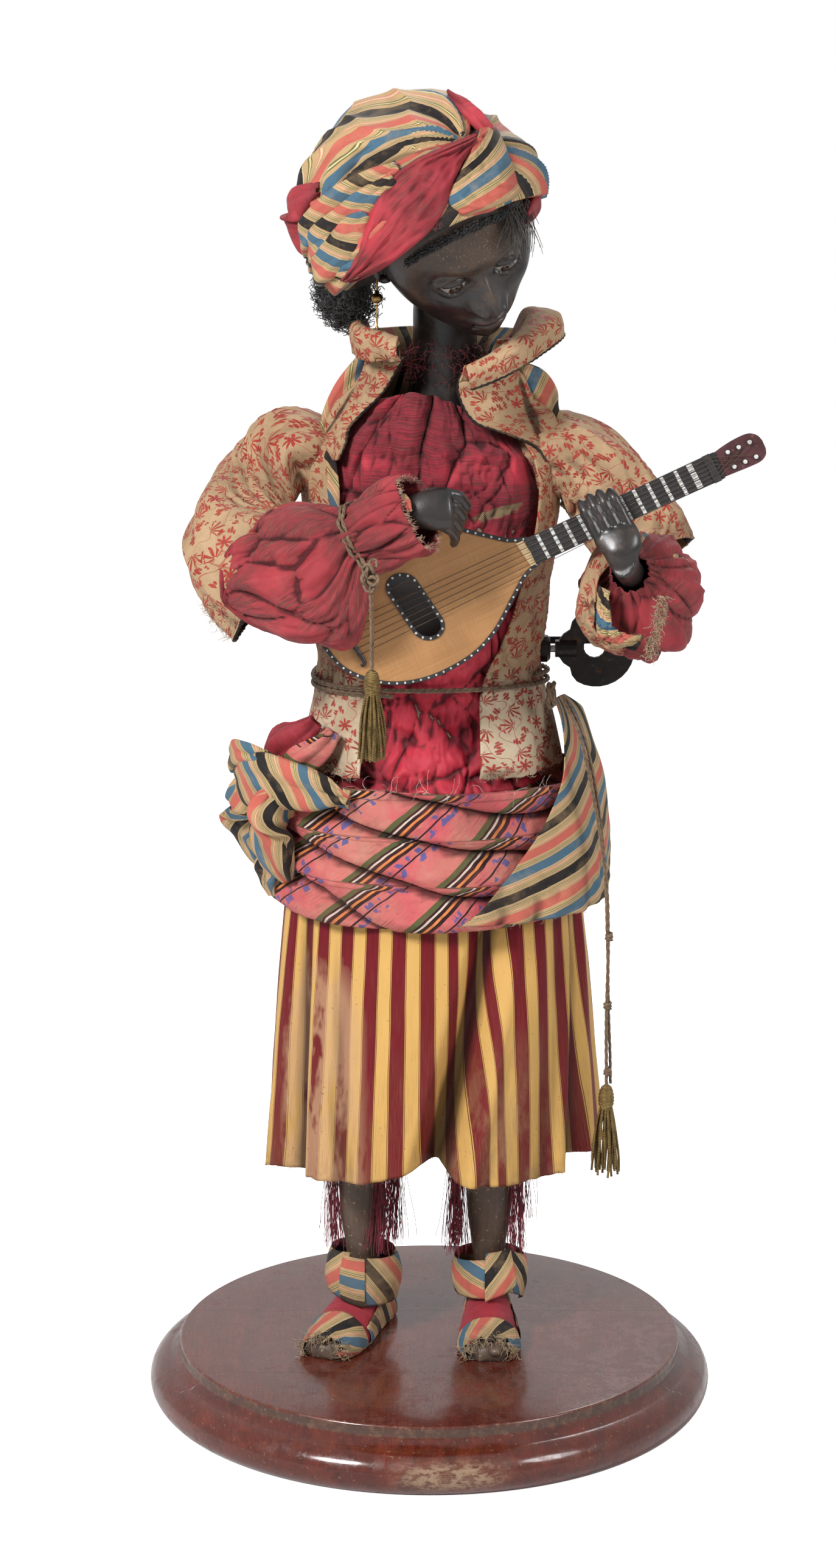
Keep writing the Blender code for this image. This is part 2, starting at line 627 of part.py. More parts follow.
def make_clockwork():
    make_plate("movement_plate_left", PLATE_X, True)
    right = make_plate("movement_plate_right", -PLATE_X, False)
    stud = x_rod("lever_stud", STUD_END, -PLATE_X, LEVER_STUD, LEVER_STUD_RADIUS)
    boolean(right, stud, "UNION")

    barrel = gear("spring_barrel", TOOTH_BARREL, MODULE_GREAT, 0.0165, 0.0200, BARREL_AT, 0.0)
    drum = turned("barrel_drum", [(0.0205, 0.0170), (0.0220, 0.0170), (0.0220, 0.0020), (0.0205, 0.0020)],
                  BRASS, 20, place=(0, *BARREL_AT), along_x=True, closed=True)
    boolean(barrel, drum, "UNION")
    boolean(barrel, x_rod("barrel_bore", 0.010, 0.030, BARREL_AT, bearing_radius(WINDING_RADIUS)))

    turns, steps = SPRING_TURNS, 10
    outer, inner = [], []
    for step in range(turns * steps + 1):
        turn = 2 * math.pi * step / steps
        radius = 0.0052 + (0.0195 - 0.0052) * step / (turns * steps)
        for side, grow in ((inner, 0.0), (outer, 0.0006)):
            side.append(Vector((0.0, BARREL_AT[0] + (radius + grow) * math.cos(turn),
                                BARREL_AT[1] + (radius + grow) * math.sin(turn))))
    rings = [[low + Vector((0.004, 0, 0)), high + Vector((0.004, 0, 0)),
              high + Vector((0.0155, 0, 0)), low + Vector((0.0155, 0, 0))] for low, high in zip(inner, outer)]
    set_pivot(loft("mainspring", rings, STEEL), (0.0, *BARREL_AT))

    arbor = x_rod("winding_arbor", -PLATE_X - 0.0005, 0.0835, BARREL_AT, WINDING_RADIUS, STEEL, 12)
    set_pivot(arbor, (0.0, *BARREL_AT))

    ratchet_low = PLATE_X + PLATE_WALL / 2 + GAP
    section = []
    for tooth in range(TOOTH_RATCHET):
        for share, radius in ((0.0, 0.0085), (0.04, 0.0070)):
            turn = 2 * math.pi * (tooth + share) / TOOTH_RATCHET
            section.append(Vector((0.0, BARREL_AT[0] + radius * math.cos(turn),
                                   BARREL_AT[1] + radius * math.sin(turn))))
    rings = [[point + Vector((x, 0, 0)) for point in section] for x in (ratchet_low, ratchet_low + 0.002)]
    ratchet = loft("ratchet_wheel", rings, STEEL)
    set_pivot(ratchet, (0.0, *BARREL_AT))
    boolean(ratchet, x_rod("ratchet_bore", 0.02, 0.04, BARREL_AT, WINDING_RADIUS + GAP))

    click_at = (BARREL_AT[0] + 0.012, BARREL_AT[1] + 0.0095)
    body = [(-0.0022, -0.0022), (0.0022, -0.0022), (0.0022, 0.0022), (-0.0022, 0.0022), (-0.0062, 0.0004),
            (-0.0062, -0.0008)]
    rings = [[Vector((x, click_at[0] + y, click_at[1] + z)) for y, z in body]
             for x in (ratchet_low, ratchet_low + 0.002)]
    click = loft("click", rings, STEEL)
    set_pivot(click, (0.0, *click_at))

    phase_second = tooth_phase(0.0, TOOTH_BARREL, math.radians(SECOND_BEARING), TOOTH_SECOND_PINION)
    second = gear("second_wheel", TOOTH_SECOND_PINION, MODULE_GREAT, 0.0150, 0.0215, SECOND_AT, phase_second,
                  STEEL)
    wheel = gear("second_wheel_disc", TOOTH_SECOND_WHEEL, MODULE_SECOND, -0.0020, 0.0, SECOND_AT, 0.0)
    boolean(second, wheel, "UNION")
    boolean(second, x_rod("second_arbor", -SHORT_ARBOR, SHORT_ARBOR, SECOND_AT, ARBOR_RADIUS), "UNION")

    phase_third = tooth_phase(0.0, TOOTH_SECOND_WHEEL, math.radians(THIRD_BEARING), TOOTH_THIRD_PINION)
    third = gear("third_wheel", TOOTH_THIRD_PINION, MODULE_SECOND, -0.0035, 0.0015, THIRD_AT, phase_third,
                 STEEL)
    wheel = gear("third_wheel_disc", TOOTH_THIRD_WHEEL, MODULE_THIRD, -0.0095, -0.0077, THIRD_AT, 0.0)
    boolean(third, wheel, "UNION")
    boolean(third, x_rod("third_arbor", -SHORT_ARBOR, SHORT_ARBOR, THIRD_AT, ARBOR_RADIUS), "UNION")

    phase_fly = tooth_phase(0.0, TOOTH_THIRD_WHEEL, math.radians(FLY_BEARING), TOOTH_FLY_PINION)
    fly = gear("governor_fly", TOOTH_FLY_PINION, MODULE_THIRD, -0.0110, -0.0065, FLY_AT, phase_fly, STEEL)
    vane = block("fly_vane", (-0.0240, FLY_AT[0] - 0.0085, FLY_AT[1] - 0.0004),
                 (-0.0125, FLY_AT[0] + 0.0085, FLY_AT[1] + 0.0004), BRASS)
    boolean(fly, x_rod("fly_arbor", -SHORT_ARBOR, SHORT_ARBOR, FLY_AT, ARBOR_RADIUS), "UNION")
    boolean(fly, vane, "UNION")

    phase_cam = tooth_phase(0.0, TOOTH_BARREL, math.radians(CAM_BEARING), TOOTH_CAM_WHEEL)
    cams = gear("camshaft", TOOTH_CAM_WHEEL, MODULE_GREAT, 0.0170, 0.0195, CAM_AT, phase_cam)
    boolean(cams, x_rod("cam_arbor", CAM_ARBOR_END, SHORT_ARBOR, CAM_AT, ARBOR_RADIUS), "UNION")
    for index, place in enumerate(CAM_PLACES):
        section = []
        for step in range(24):
            turn = 2 * math.pi * step / 24
            radius = CAM_RADIUS - 0.0018 * (1 + math.sin((2 + index) * turn)) / 2 - 0.0010 * (step % 6 == 0)
            section.append(Vector((0.0, CAM_AT[0] + radius * math.cos(turn),
                                   CAM_AT[1] + radius * math.sin(turn))))
        rings = [[point + Vector((x, 0, 0)) for point in section] for x in (place - 0.0012, place + 0.0012)]
        boolean(cams, loft(f"cam_{index}", rings, BRASS), "UNION")

    phase_music = tooth_phase(phase_cam, TOOTH_CAM_WHEEL, math.radians(MUSIC_BEARING), TOOTH_MUSIC_WHEEL)
    music = gear("music_cylinder", TOOTH_MUSIC_WHEEL, MODULE_GREAT, 0.0170, 0.0195, MUSIC_AT, phase_music)
    boolean(music, x_rod("music_arbor", -SHORT_ARBOR, SHORT_ARBOR, MUSIC_AT, ARBOR_RADIUS), "UNION")
    boolean(music, x_rod("music_drum", -0.0220, 0.0130, MUSIC_AT, 0.0078, BRASS, 16), "UNION")

    tip = MUSIC_AT[0] - 0.0078 - 0.0008
    comb = block("music_comb", (-0.0205, PLATE_LOW[0] + 0.0015, MUSIC_AT[1] - 0.0006),
                 (0.0115, tip, MUSIC_AT[1] + 0.0006), STEEL)
    for step in range(10):
        x = -0.0183 + step * 0.0030
        slot = block(f"comb_slot_{step}", (x, -0.0140, MUSIC_AT[1] - 0.002),
                     (x + 0.0007, tip + 0.001, MUSIC_AT[1] + 0.002), STEEL)
        boolean(comb, slot)
    bed = block("comb_bed", (-PLATE_X + PLATE_WALL / 2 + GAP, PLATE_LOW[0] + 0.0015, MUSIC_AT[1] - 0.0060),
                (PLATE_X - PLATE_WALL / 2 - GAP, -0.0150, MUSIC_AT[1] - 0.0003), BRASS)
    boolean(comb, bed, "UNION")

    for name, place, horn in (("head_lever", CAM_PLACES[0], 0.020), ("strum_lever", CAM_PLACES[1], 0.012)):
        low_x = place - 0.0012
        high_x = place + 0.0012
        nose_z = CAM_AT[1] + CAM_RADIUS + 0.0010
        stud_y, stud_z = LEVER_STUD
        bar = [(stud_y + 0.0035, stud_z - 0.0035), (stud_y + 0.0035, stud_z + 0.0035 + horn),
               (stud_y - 0.0010, stud_z + 0.0035 + horn), (stud_y - 0.0035, stud_z + 0.0035),
               (CAM_AT[0] - 0.0015, nose_z + 0.0040), (CAM_AT[0] - 0.0015, nose_z),
               (CAM_AT[0] + 0.0015, nose_z)]
        rings = [[Vector((x, y, z)) for y, z in bar] for x in (low_x, high_x)]
        lever = loft(name, rings, STEEL)
        set_pivot(lever, (0.0, *LEVER_STUD))
        bore = bearing_radius(LEVER_STUD_RADIUS)
        boolean(lever, x_rod(f"{name}_bore", low_x - 0.001, high_x + 0.001, LEVER_STUD, bore))

    lever = block("stop_lever", (PLATE_X + PLATE_WALL / 2 + 0.0035, STOP_LEVER_Y - 0.0010, AXIS_Z - 0.0022),
                  (0.1400, STOP_LEVER_Y + 0.0010, AXIS_Z + 0.0022), IRON, 0.0004)
    set_pivot(lever, (PLATE_X + 0.006, STOP_LEVER_Y, AXIS_Z))


def make_key():
    stem = x_rod("winding_key", KEY_X, KEY_BOW_X - 0.012, BARREL_AT, 0.0055, IRON, 12)
    bow = []
    for step in range(30):
        turn = 2 * math.pi * step / 30
        waist = math.exp(-((abs(abs(turn - math.pi) - 0.62)) / 0.22) ** 2)
        radius = KEY_BOW_RADIUS * (1 - 0.16 * waist)
        bow.append((KEY_BOW_X + radius * math.cos(turn), AXIS_Z + radius * math.sin(turn)))
    rings = [[Vector((x, AXIS_Y + side * KEY_PLATE / 2, z)) for x, z in bow] for side in (-1, 1)]
    boolean(stem, loft("key_bow", rings, IRON), "UNION")
    hole = rod("key_bow_hole", (KEY_BOW_X - 0.001, AXIS_Y - 0.01, AXIS_Z + 0.001),
               (KEY_BOW_X - 0.001, AXIS_Y + 0.01, AXIS_Z + 0.001), KEY_HOLE_RADIUS, IRON, 14)
    boolean(stem, hole)
    socket = x_rod("key_socket", KEY_X - 0.001, 0.0845, BARREL_AT, WINDING_RADIUS + GAP)
    boolean(stem, socket)
    set_pivot(stem, (0.0, *BARREL_AT))


# Head: a frame of right, forward and up directions
def head_basis():
    forward = Vector((math.sin(HEAD_YAW) * math.cos(HEAD_PITCH), -math.cos(HEAD_YAW) * math.cos(HEAD_PITCH),
                      -math.sin(HEAD_PITCH)))
    flat_right = Vector((math.cos(HEAD_YAW), math.sin(HEAD_YAW), 0.0))
    flat_up = flat_right.cross(forward) * -1.0
    if flat_up.z < 0:
        flat_up = -flat_up
    up = flat_up * math.cos(HEAD_ROLL) - flat_right * math.sin(HEAD_ROLL)
    right = flat_right * math.cos(HEAD_ROLL) + flat_up * math.sin(HEAD_ROLL)
    return right, forward, up


HEAD_RIGHT, HEAD_FORWARD, HEAD_UP = head_basis()
HEAD_BACK = -HEAD_FORWARD
HEAD_TURN = Matrix((HEAD_RIGHT, HEAD_BACK, HEAD_UP)).transposed()


def head_point(right, forward, up):
    return HEAD_CENTRE + HEAD_RIGHT * right + HEAD_FORWARD * forward + HEAD_UP * up


NOD_AT = Vector((NECK_AXIS.x, NECK_AXIS.y, NOD_Z))


def face_surface(name, grow, look):
    """The outer skin of the head: an egg with a jaw, brow, nose, lips and chin in the usual proportions."""
    made = ball(name, (0, 0, 0), (1, 1, 1), look, segments=16, rings=12)
    for vertex in made.data.vertices:
        side, back, up = vertex.co
        lower = max(0.0, -up)
        width = 1.0 - 0.30 * lower ** 1.6
        reach = 1.0 - 0.10 * lower
        point = Vector((side * (HEAD_HALF.x * width + grow), back * (HEAD_HALF.y * reach + grow),
                        up * (HEAD_HALF.z + grow)))
        if back < 0:
            front = -back
            nose = math.exp(-((side / 0.16) ** 2 + ((up + 0.16) / 0.20) ** 2))
            chin = math.exp(-((side / 0.30) ** 2 + ((up + 0.80) / 0.22) ** 2))
            mouth = math.exp(-((side / 0.28) ** 2 + ((up + 0.50) / 0.16) ** 2))
            point.y -= front * (0.0085 * nose + 0.0060 * chin + 0.0040 * mouth)
        vertex.co = point
    made.data.transform(Matrix.Translation(HEAD_CENTRE) @ HEAD_TURN.to_4x4())
    return made


def make_head():
    head = face_surface("head_shell", 0.0, PAINTED_SKIN)
    room = HEAD_HALF - Vector((HEAD_WALL, HEAD_WALL, HEAD_WALL))
    boolean(head, ball("head_room", HEAD_CENTRE, room, PAPER, HEAD_TURN, 12, 8))
    throat = NOD_AT + HEAD_FORWARD * 0.006 - HEAD_UP * 0.10
    boolean(head, rod("neck_hole", NOD_AT + HEAD_UP * 0.004, throat, 0.0285, PAPER, 16))
    for side in (-1, 1):
        centre = head_point(side * EYE_SPREAD, EYE_FORWARD, EYE_UP)
        socket = EYE_RADIUS + LID_WALL + 0.0011
        boolean(head, ball(f"eye_socket_{side}", centre, (socket,) * 3, PAPER, HEAD_TURN, 12, 8))
    opening = ((-0.0115, -0.0395), (0.0115, -0.0395), (0.0115, -0.0275), (-0.0115, -0.0275))
    mouth = [[head_point(r, f, u) for r, u in opening] for f in (0.025, 0.065)]
    boolean(head, loft("mouth_slot", mouth, PAPER))
    ear_hole_at = head_point(-HEAD_HALF.x + 0.003, 0.0, -0.016)
    set_pivot(head, NOD_AT)
    return ear_hole_at


def make_eyes():
    size = (EYE_RADIUS, EYE_RADIUS, EYE_RADIUS)
    eyes, other = [
        ball(name, head_point(side * EYE_SPREAD, EYE_FORWARD, EYE_UP), size, EYE_GLASS, HEAD_TURN, 10, 8)
        for name, side in (("eye_pair", -1), ("eye_left", 1))
    ]
    boolean(eyes, other, "UNION")
    bridge = rod("eye_bridge", head_point(-EYE_SPREAD, EYE_FORWARD - 0.006, EYE_UP),
                 head_point(EYE_SPREAD, EYE_FORWARD - 0.006, EYE_UP), 0.0016, BRASS, 8)
    boolean(eyes, bridge, "UNION")
    set_pivot(eyes, NOD_AT)


def make_eyelids():
    """Two lids, each a slice of a hollow ball about the eyes' own axis, joined by a bar above the eyes."""
    inner = EYE_RADIUS + LID_GAP
    lids = []
    for label, side in (("eyelid_pair", -1), ("eyelid_left", 1)):
        rows = []
        for turn in range(7):
            lift = math.radians(18 + 132 * turn / 6)
            row = []
            for step in range(6):
                spread = math.radians(-58 + 116 * step / 5)
                row.append(head_point(side * EYE_SPREAD + inner * math.sin(spread),
                                      EYE_FORWARD + inner * math.cos(spread) * math.cos(lift),
                                      EYE_UP + inner * math.cos(spread) * math.sin(lift)))
            rows.append(row)
        lids.append(settle(cloth(label, rows, KID_LEATHER, False, LID_WALL)))
    lift = math.radians(142)
    reach = inner + 0.0004
    bar_forward, bar_up = EYE_FORWARD + reach * math.cos(lift), EYE_UP + reach * math.sin(lift)
    bar = [head_point(side * EYE_SPREAD, bar_forward, bar_up) for side in (-1, 1)]
    boolean(lids[0], rod("lid_bar", bar[0], bar[1], 0.0007, BRASS, 8), "UNION")
    boolean(lids[0], lids[1], "UNION")
    set_pivot(lids[0], head_point(0, EYE_FORWARD, EYE_UP))


def make_lip():
    low, high = -0.0355, -0.0295
    section = ((-0.0100, low), (0.0100, low), (0.0100, high), (-0.0100, high))
    rings = [[head_point(r, f, u) for r, u in section] for f in (0.0330, 0.0500)]
    lip = loft("lower_lip", rings, PAINTED_SKIN)
    arm_low, arm_high = -0.0345, -0.0305
    section = ((-0.0025, arm_low), (0.0025, arm_low), (0.0025, arm_high), (-0.0025, arm_high))
    rings = [[head_point(r, f, u) for r, u in section] for f in (0.0100, 0.0340)]
    boolean(lip, loft("lip_arm", rings, BRASS), "UNION")
    set_pivot(lip, head_point(0, *LIP_PIVOT))


def turban_surface(name, grow, look):
    """Rolled silk: a squat ball whose rolls run slantwise round it."""
    made = ball(name, (0, 0, 0), (1, 1, 1), look, segments=18, rings=11)
    for vertex in made.data.vertices:
        side, back, up = vertex.co
        bearing = math.atan2(back, side)
        height = math.asin(max(-1.0, min(1.0, up)))
        roll = math.sin(3.0 * bearing + 5.0 * height) * math.cos(height)
        band = math.exp(-((height + 0.05) / 0.32) ** 2)
        swell = 1.0 + 0.035 * roll + 0.05 * band
        vertex.co = Vector((side * (TURBAN_HALF.x * swell + grow), back * (TURBAN_HALF.y * swell + grow),
                            up * (TURBAN_HALF.z * swell + grow)))
    centre = head_point(TURBAN_CENTRE.x, TURBAN_CENTRE.y, TURBAN_CENTRE.z)
    made.data.transform(Matrix.Translation(centre) @ HEAD_TURN.to_4x4())
    return made


def make_turban():
    turban = turban_surface("turban", 0.0, STRIPED_SILK)
    depth = 0.12
    slope, tilt = 0.65, 0.20
    below = [[head_point(r, f, f * slope + r * tilt - TURBAN_BRIM_DROP - top)
              for r, f in ((-depth, depth), (depth, depth), (depth, -depth), (-depth, -depth))]
             for top in (depth, 0.0)]
    boolean(turban, loft("turban_brim", below, STRIPED_SILK))
    boolean(turban, face_surface("head_in_turban", 0.0006, PAPER))
    set_pivot(turban, NOD_AT)


def make_hair():
    hair = ball("hair_tuft", (-0.0500, 0.0120, 0.6890), (0.0150, 0.0180, 0.0210), WOOL, None, 14, 9)
    for vertex in hair.data.vertices:
        bump = math.sin(vertex.index * 2.4) * 0.0008
        vertex.co += vertex.normal * bump
    boolean(hair, face_surface("head_in_hair", 0.0006, PAPER))
    boolean(hair, turban_surface("turban_over_hair", 0.0006, PAPER))
    set_pivot(hair, NOD_AT)


def make_earring(top):
    drop = [(0.0, 0.0), (0.0007, 0.0), (0.0007, -0.0070), (0.0034, -0.0095), (0.0034, -0.0125),
            (0.0007, -0.0150), (0.0007, -0.0290), (0.0012, -0.0295), (0.0012, -0.0430), (0.0022, -0.0440),
            (0.0022, -0.0465), (0.0, -0.0480)]
    earring = turned("earring", drop, BRASS, 10, place=top)
    soften(earring)


def make_neck():
    low = TORSO_SECTIONS[-1][0] + GAP
    middle = NECK_AXIS
    profile = [(0.0, NECK_TOP_Z), (NECK_RADIUS, NECK_TOP_Z), (NECK_RADIUS - 0.001, 0.640),
               (NECK_RADIUS + 0.004, low), (0.0, low)]
    post = turned("neck_post", profile, PAINTED_SKIN, 18, place=middle)
    soften(post)
    pin = rod("turn_pin_hole", middle + Vector((0, 0, NECK_TOP_Z - 0.012)),
              middle + Vector((0, 0, NECK_TOP_Z + 0.01)), bearing_radius(NECK_PIN_RADIUS), STEEL, 8)
    boolean(post, pin)
    yoke = [(0.0, NECK_TOP_Z + 0.018), (0.0140, NECK_TOP_Z + 0.018), (0.0160, NECK_TOP_Z + GAP),
            (NECK_PIN_RADIUS, NECK_TOP_Z + GAP), (NECK_PIN_RADIUS, NECK_TOP_Z - 0.010),
            (0.0, NECK_TOP_Z - 0.010)]
    yoke = turned("neck_yoke", yoke, BRASS, 12, place=middle)
    post_up = rod("yoke_post", middle + Vector((0, 0, NECK_TOP_Z + 0.010)), NOD_AT, 0.006, BRASS, 12)
    boolean(yoke, post_up, "UNION")
    cross = rod("nod_pin", NOD_AT - HEAD_RIGHT * 0.020, NOD_AT + HEAD_RIGHT * 0.020, 0.0022, STEEL, 12)
    boolean(yoke, cross, "UNION")


# Lute: a frame along the neck, up across it and out of the soundboard
LUTE_ALONG = Vector((math.cos(LUTE_RISE), 0.0, math.sin(LUTE_RISE)))
LUTE_ACROSS = Vector((-math.sin(LUTE_RISE) * math.cos(LUTE_LEAN), math.sin(LUTE_LEAN),
                      math.cos(LUTE_RISE) * math.cos(LUTE_LEAN)))
LUTE_OUT = LUTE_ALONG.cross(LUTE_ACROSS)


def lute_point(along, across, out):
    return LUTE_JOINT + LUTE_ALONG * along + LUTE_ACROSS * across + LUTE_OUT * out


def lute_outline(inset=0.0):
    """The soundboard's edge, counted round from the neck along the upper side."""
    upper = [(s, max(w - inset, 0.0)) for s, w in LUTE_OUTLINE[:-1]]
    tail = LUTE_OUTLINE[-1][0] + inset
    lower = [(s, -w) for s, w in reversed(upper)]
    return upper + [(tail, 0.0)] + lower


def make_soundboard():
    edge = lute_outline()
    rings = [[lute_point(s, t, out) for s, t in edge] for out in (-SOUNDBOARD_WALL, 0.0)]
    board = loft("lute_soundboard", rings, SPRUCE)
    centre_s, centre_t, half, straight = SOUND_HOLE
    slot = []
    for step in range(20):
        turn = 2 * math.pi * step / 20
        shift = straight if math.sin(turn) >= 0 else -straight
        slot.append((centre_s + half * math.cos(turn) - 0.16 * shift,
                     centre_t + half * math.sin(turn) + shift))
    rings = [[lute_point(s, t, out) for s, t in slot] for out in (-0.01, 0.01)]
    boolean(board, loft("sound_hole", rings, SPRUCE))


def make_bowl():
    edge = lute_outline(0.0004)
    rows = []
    rim = -SOUNDBOARD_WALL - 2 * GAP
    for step in range(6):
        rise = math.pi / 2 * step / 5.5
        share, depth = math.cos(rise), BOWL_DEPTH * math.sin(rise)
        rows.append([lute_point(BOWL_CENTRE_S + (s - BOWL_CENTRE_S) * share, t * share, rim - depth)
                     for s, t in edge])
    count = len(edge)
    points = [point for row in rows for point in row] + [lute_point(BOWL_CENTRE_S, 0.0, rim - BOWL_DEPTH)]
    faces = []
    for row in range(len(rows) - 1):
        for step in range(count):
            after = (step + 1) % count
            low, high = row * count, (row + 1) * count
            faces.append((low + step, low + after, high + after, high + step))
    last = (len(rows) - 1) * count
    faces += [(last + step, last + (step + 1) % count, len(points) - 1) for step in range(count)]
    bowl = new_object("lute_bowl", mesh_from("lute_bowl", points, faces), MAPLE)
    cage = bmesh.new()
    cage.from_mesh(bowl.data)
    cage.faces.ensure_lookup_table()
    outward = cage.faces[-1].normal.dot(LUTE_OUT) < 0
    if not outward:
        bmesh.ops.reverse_faces(cage, faces=cage.faces)
    cage.to_mesh(bowl.data)
    cage.free()
    wall = bowl.modifiers.new("wall", "SOLIDIFY")
    wall.thickness = BOWL_WALL
    wall.offset = -1.0
    bowl.data.shade_smooth()


def make_neck_of_lute():
    stations = ((0.0007, 0.0082, 0.0010, -0.0130), (0.020, 0.0080, 0.0010, -0.0095),
                (0.1125, 0.0083, 0.0010, -0.0080), (0.1135, 0.0084, 0.0022, -0.0080),
                (0.1165, 0.0084, 0.0022, -0.0075), (0.1175, 0.0076, -0.0005, -0.0070),
                (0.122, 0.0076, -0.0010, -0.0065), (0.132, 0.0092, -0.0015, -0.0065),
                (0.141, 0.0088, -0.0020, -0.0065), (0.1455, 0.0060, -0.0022, -0.0063),
                (0.1470, 0.0030, -0.0024, -0.0060))
    rings = []
    for s, half, front, back in stations:
        ring = [lute_point(s, half, front), lute_point(s, -half, front)]
        for step in range(1, 6):
            turn = math.pi * step / 6
            out = front - 0.0008 + (back - front + 0.0008) * math.sin(turn)
            ring.append(lute_point(s, -half * math.cos(turn), out))
        rings.append(ring)
    neck = loft("lute_neck", rings, EBONISED)
    for row, (t, base) in enumerate(((0.0045, 0.1265), (-0.0050, 0.1265))):
        for index in range(3):
            at = base + 0.0070 * index
            peg = rod(f"peg_{row}_{index}", lute_point(at, t, -0.0040), lute_point(at, t, -0.0003), 0.0017,
                      EBONISED, 8)
            boolean(neck, peg, "UNION")


def make_strings():
    bridge = rod("lute_strings", lute_point(BRIDGE_S + 0.002, 0.0125, 0.0016),
                 lute_point(BRIDGE_S - 0.001, -0.0185, 0.0016), 0.0013, EBONISED, 8)
    for index in range(STRING_COUNT):
        share = index / (STRING_COUNT - 1) - 0.5
        start = lute_point(BRIDGE_S, share * 0.020 - 0.003, 0.0026)
        end = lute_point(NUT_S + 0.0035, share * 0.0125, 0.0029)
        boolean(bridge, rod(f"string_{index}", start, end, STRING_RADIUS, STEEL, 5), "UNION")


# Arms and hands
def make_upper_arm(side, shoulder, elbow):
    down = elbow - shoulder
    stations = [(shoulder, 0.011, 0.011), (shoulder + down * 0.4, 0.0105, 0.0105),
                (shoulder + down * 0.72, 0.0095, 0.0095)]
    limb(f"upper_arm_{side}", stations, (0, 1, 0), BEECH)


def finger(name, points, radius):
    taper = (1.0, 1.04, 0.95, 0.75)
    stations = [(point, radius * scale, radius * scale) for point, scale in zip(points, taper)]
    return limb(name, stations, LUTE_OUT, PAINTED_SKIN, sides=6)


def make_hand_right():
    reach = WRIST_RIGHT - ELBOW_RIGHT
    stations = [(ELBOW_RIGHT + reach * part, half, half * 0.9)
                for part, half in ((0.04, 0.0100), (0.40, 0.0105), (0.75, 0.0088), (0.97, 0.0078))]
    hand = limb("hand_right", stations, (0, 0, 1), PAINTED_SKIN, sides=10)
    onward = Vector((0.0240, -0.002, 0.003))
    fan = Vector((0.0022, 0.0015, 0.0060))
    knuckle = WRIST_RIGHT + onward
    palm = [(WRIST_RIGHT - reach * 0.06, 0.0080, 0.0065), (WRIST_RIGHT + onward * 0.30, 0.0100, 0.0070),
            (WRIST_RIGHT + onward * 0.75, 0.0120, 0.0066), (knuckle + onward * 0.12, 0.0105, 0.0052)]
    boolean(hand, limb("palm_right", palm, fan, PAINTED_SKIN, sides=10), "UNION")
    for index in range(4):
        root = knuckle + fan * (index - 1.5) * 0.98 - onward * 0.15
        points = [root, root + Vector((0.0075, 0.0040, -0.0030)), root + Vector((0.0120, 0.0130, -0.0090)),
                  root + Vector((0.0115, 0.0230, -0.0150))]
        boolean(hand, finger(f"finger_right_{index}", points, 0.0033), "UNION")
    thumb_at = WRIST_RIGHT + onward * 0.25 + fan * 1.1
    thumb = [thumb_at, thumb_at + Vector((0.008, 0.006, 0.003)), thumb_at + Vector((0.015, 0.013, 0.000)),
             thumb_at + Vector((0.0200, 0.0190, -0.006))]
    boolean(hand, finger("thumb_right", thumb, 0.0036), "UNION")
    set_pivot(hand, ELBOW_RIGHT)


def make_hand_left():
    reach = WRIST_LEFT - ELBOW_LEFT
    stations = [(ELBOW_LEFT + reach * part, half, half * 0.9)
                for part, half in ((0.05, 0.0100), (0.40, 0.0105), (0.75, 0.0088), (0.98, 0.0080))]
    hand = limb("hand_left", stations, (0, 0, 1), PAINTED_SKIN, sides=10)
    heel = lute_point(0.0480, -0.0175, 0.0115)
    palm = [(WRIST_LEFT - reach * 0.06, 0.0080, 0.0070), (WRIST_LEFT.lerp(heel, 0.5), 0.0095, 0.0070),
            (heel, 0.0125, 0.0062), (lute_point(0.0475, -0.0085, 0.0095), 0.0125, 0.0040)]
    boolean(hand, limb("palm_left", palm, LUTE_ALONG, PAINTED_SKIN, sides=10), "UNION")
    for index in range(4):
        at = 0.0390 + 0.0060 * index
        points = [lute_point(at, -0.0110, 0.0098), lute_point(at - 0.0005, 0.0, 0.0088),
                  lute_point(at - 0.0010, 0.0085, 0.0085), lute_point(at - 0.0015, 0.0155, 0.0040)]
        boolean(hand, finger(f"finger_left_{index}", points, 0.0032), "UNION")
    thumb = [lute_point(0.0560, -0.0185, 0.0080), lute_point(0.0545, -0.0165, -0.0040),
             lute_point(0.0515, -0.0130, -0.0125), lute_point(0.0495, -0.0080, -0.0165)]
    boolean(hand, finger("thumb_left", thumb, 0.0036), "UNION")
    set_pivot(hand, ELBOW_LEFT)


# Clothes on the body
def body_point(turn, half_x, half_y, height, centre_x=0.0, centre_y=FIGURE_Y):
    """A point round the body, with its bearing counted from the front towards +X."""
    return Vector((centre_x + half_x * math.sin(turn), centre_y - half_y * math.cos(turn), height))


def make_blouse():
    rows = []
    levels = 9
    gathers = (0.545, 0.440)
    for level in range(levels):
        height = BLOUSE_LOW_Z + (BLOUSE_TOP_Z - BLOUSE_LOW_Z) * level / (levels - 1)
        half_x, half_y = torso_size(height)
        puff = min(abs(height - gather) for gather in gathers)
        swell = 0.0008 + 0.0020 * min(puff / 0.03, 1.0)
        row = []
        for step in range(15):
            turn = math.radians(-78 + 156 * step / 14)
            ripple = swell + 0.0008 * math.sin(step * 2.1 + level * 0.8)
            row.append(body_point(turn, half_x + ripple, half_y + ripple, height))
        rows.append(row)
    cloth("blouse", rows, RED_SILK, False, BLOUSE_WALL)


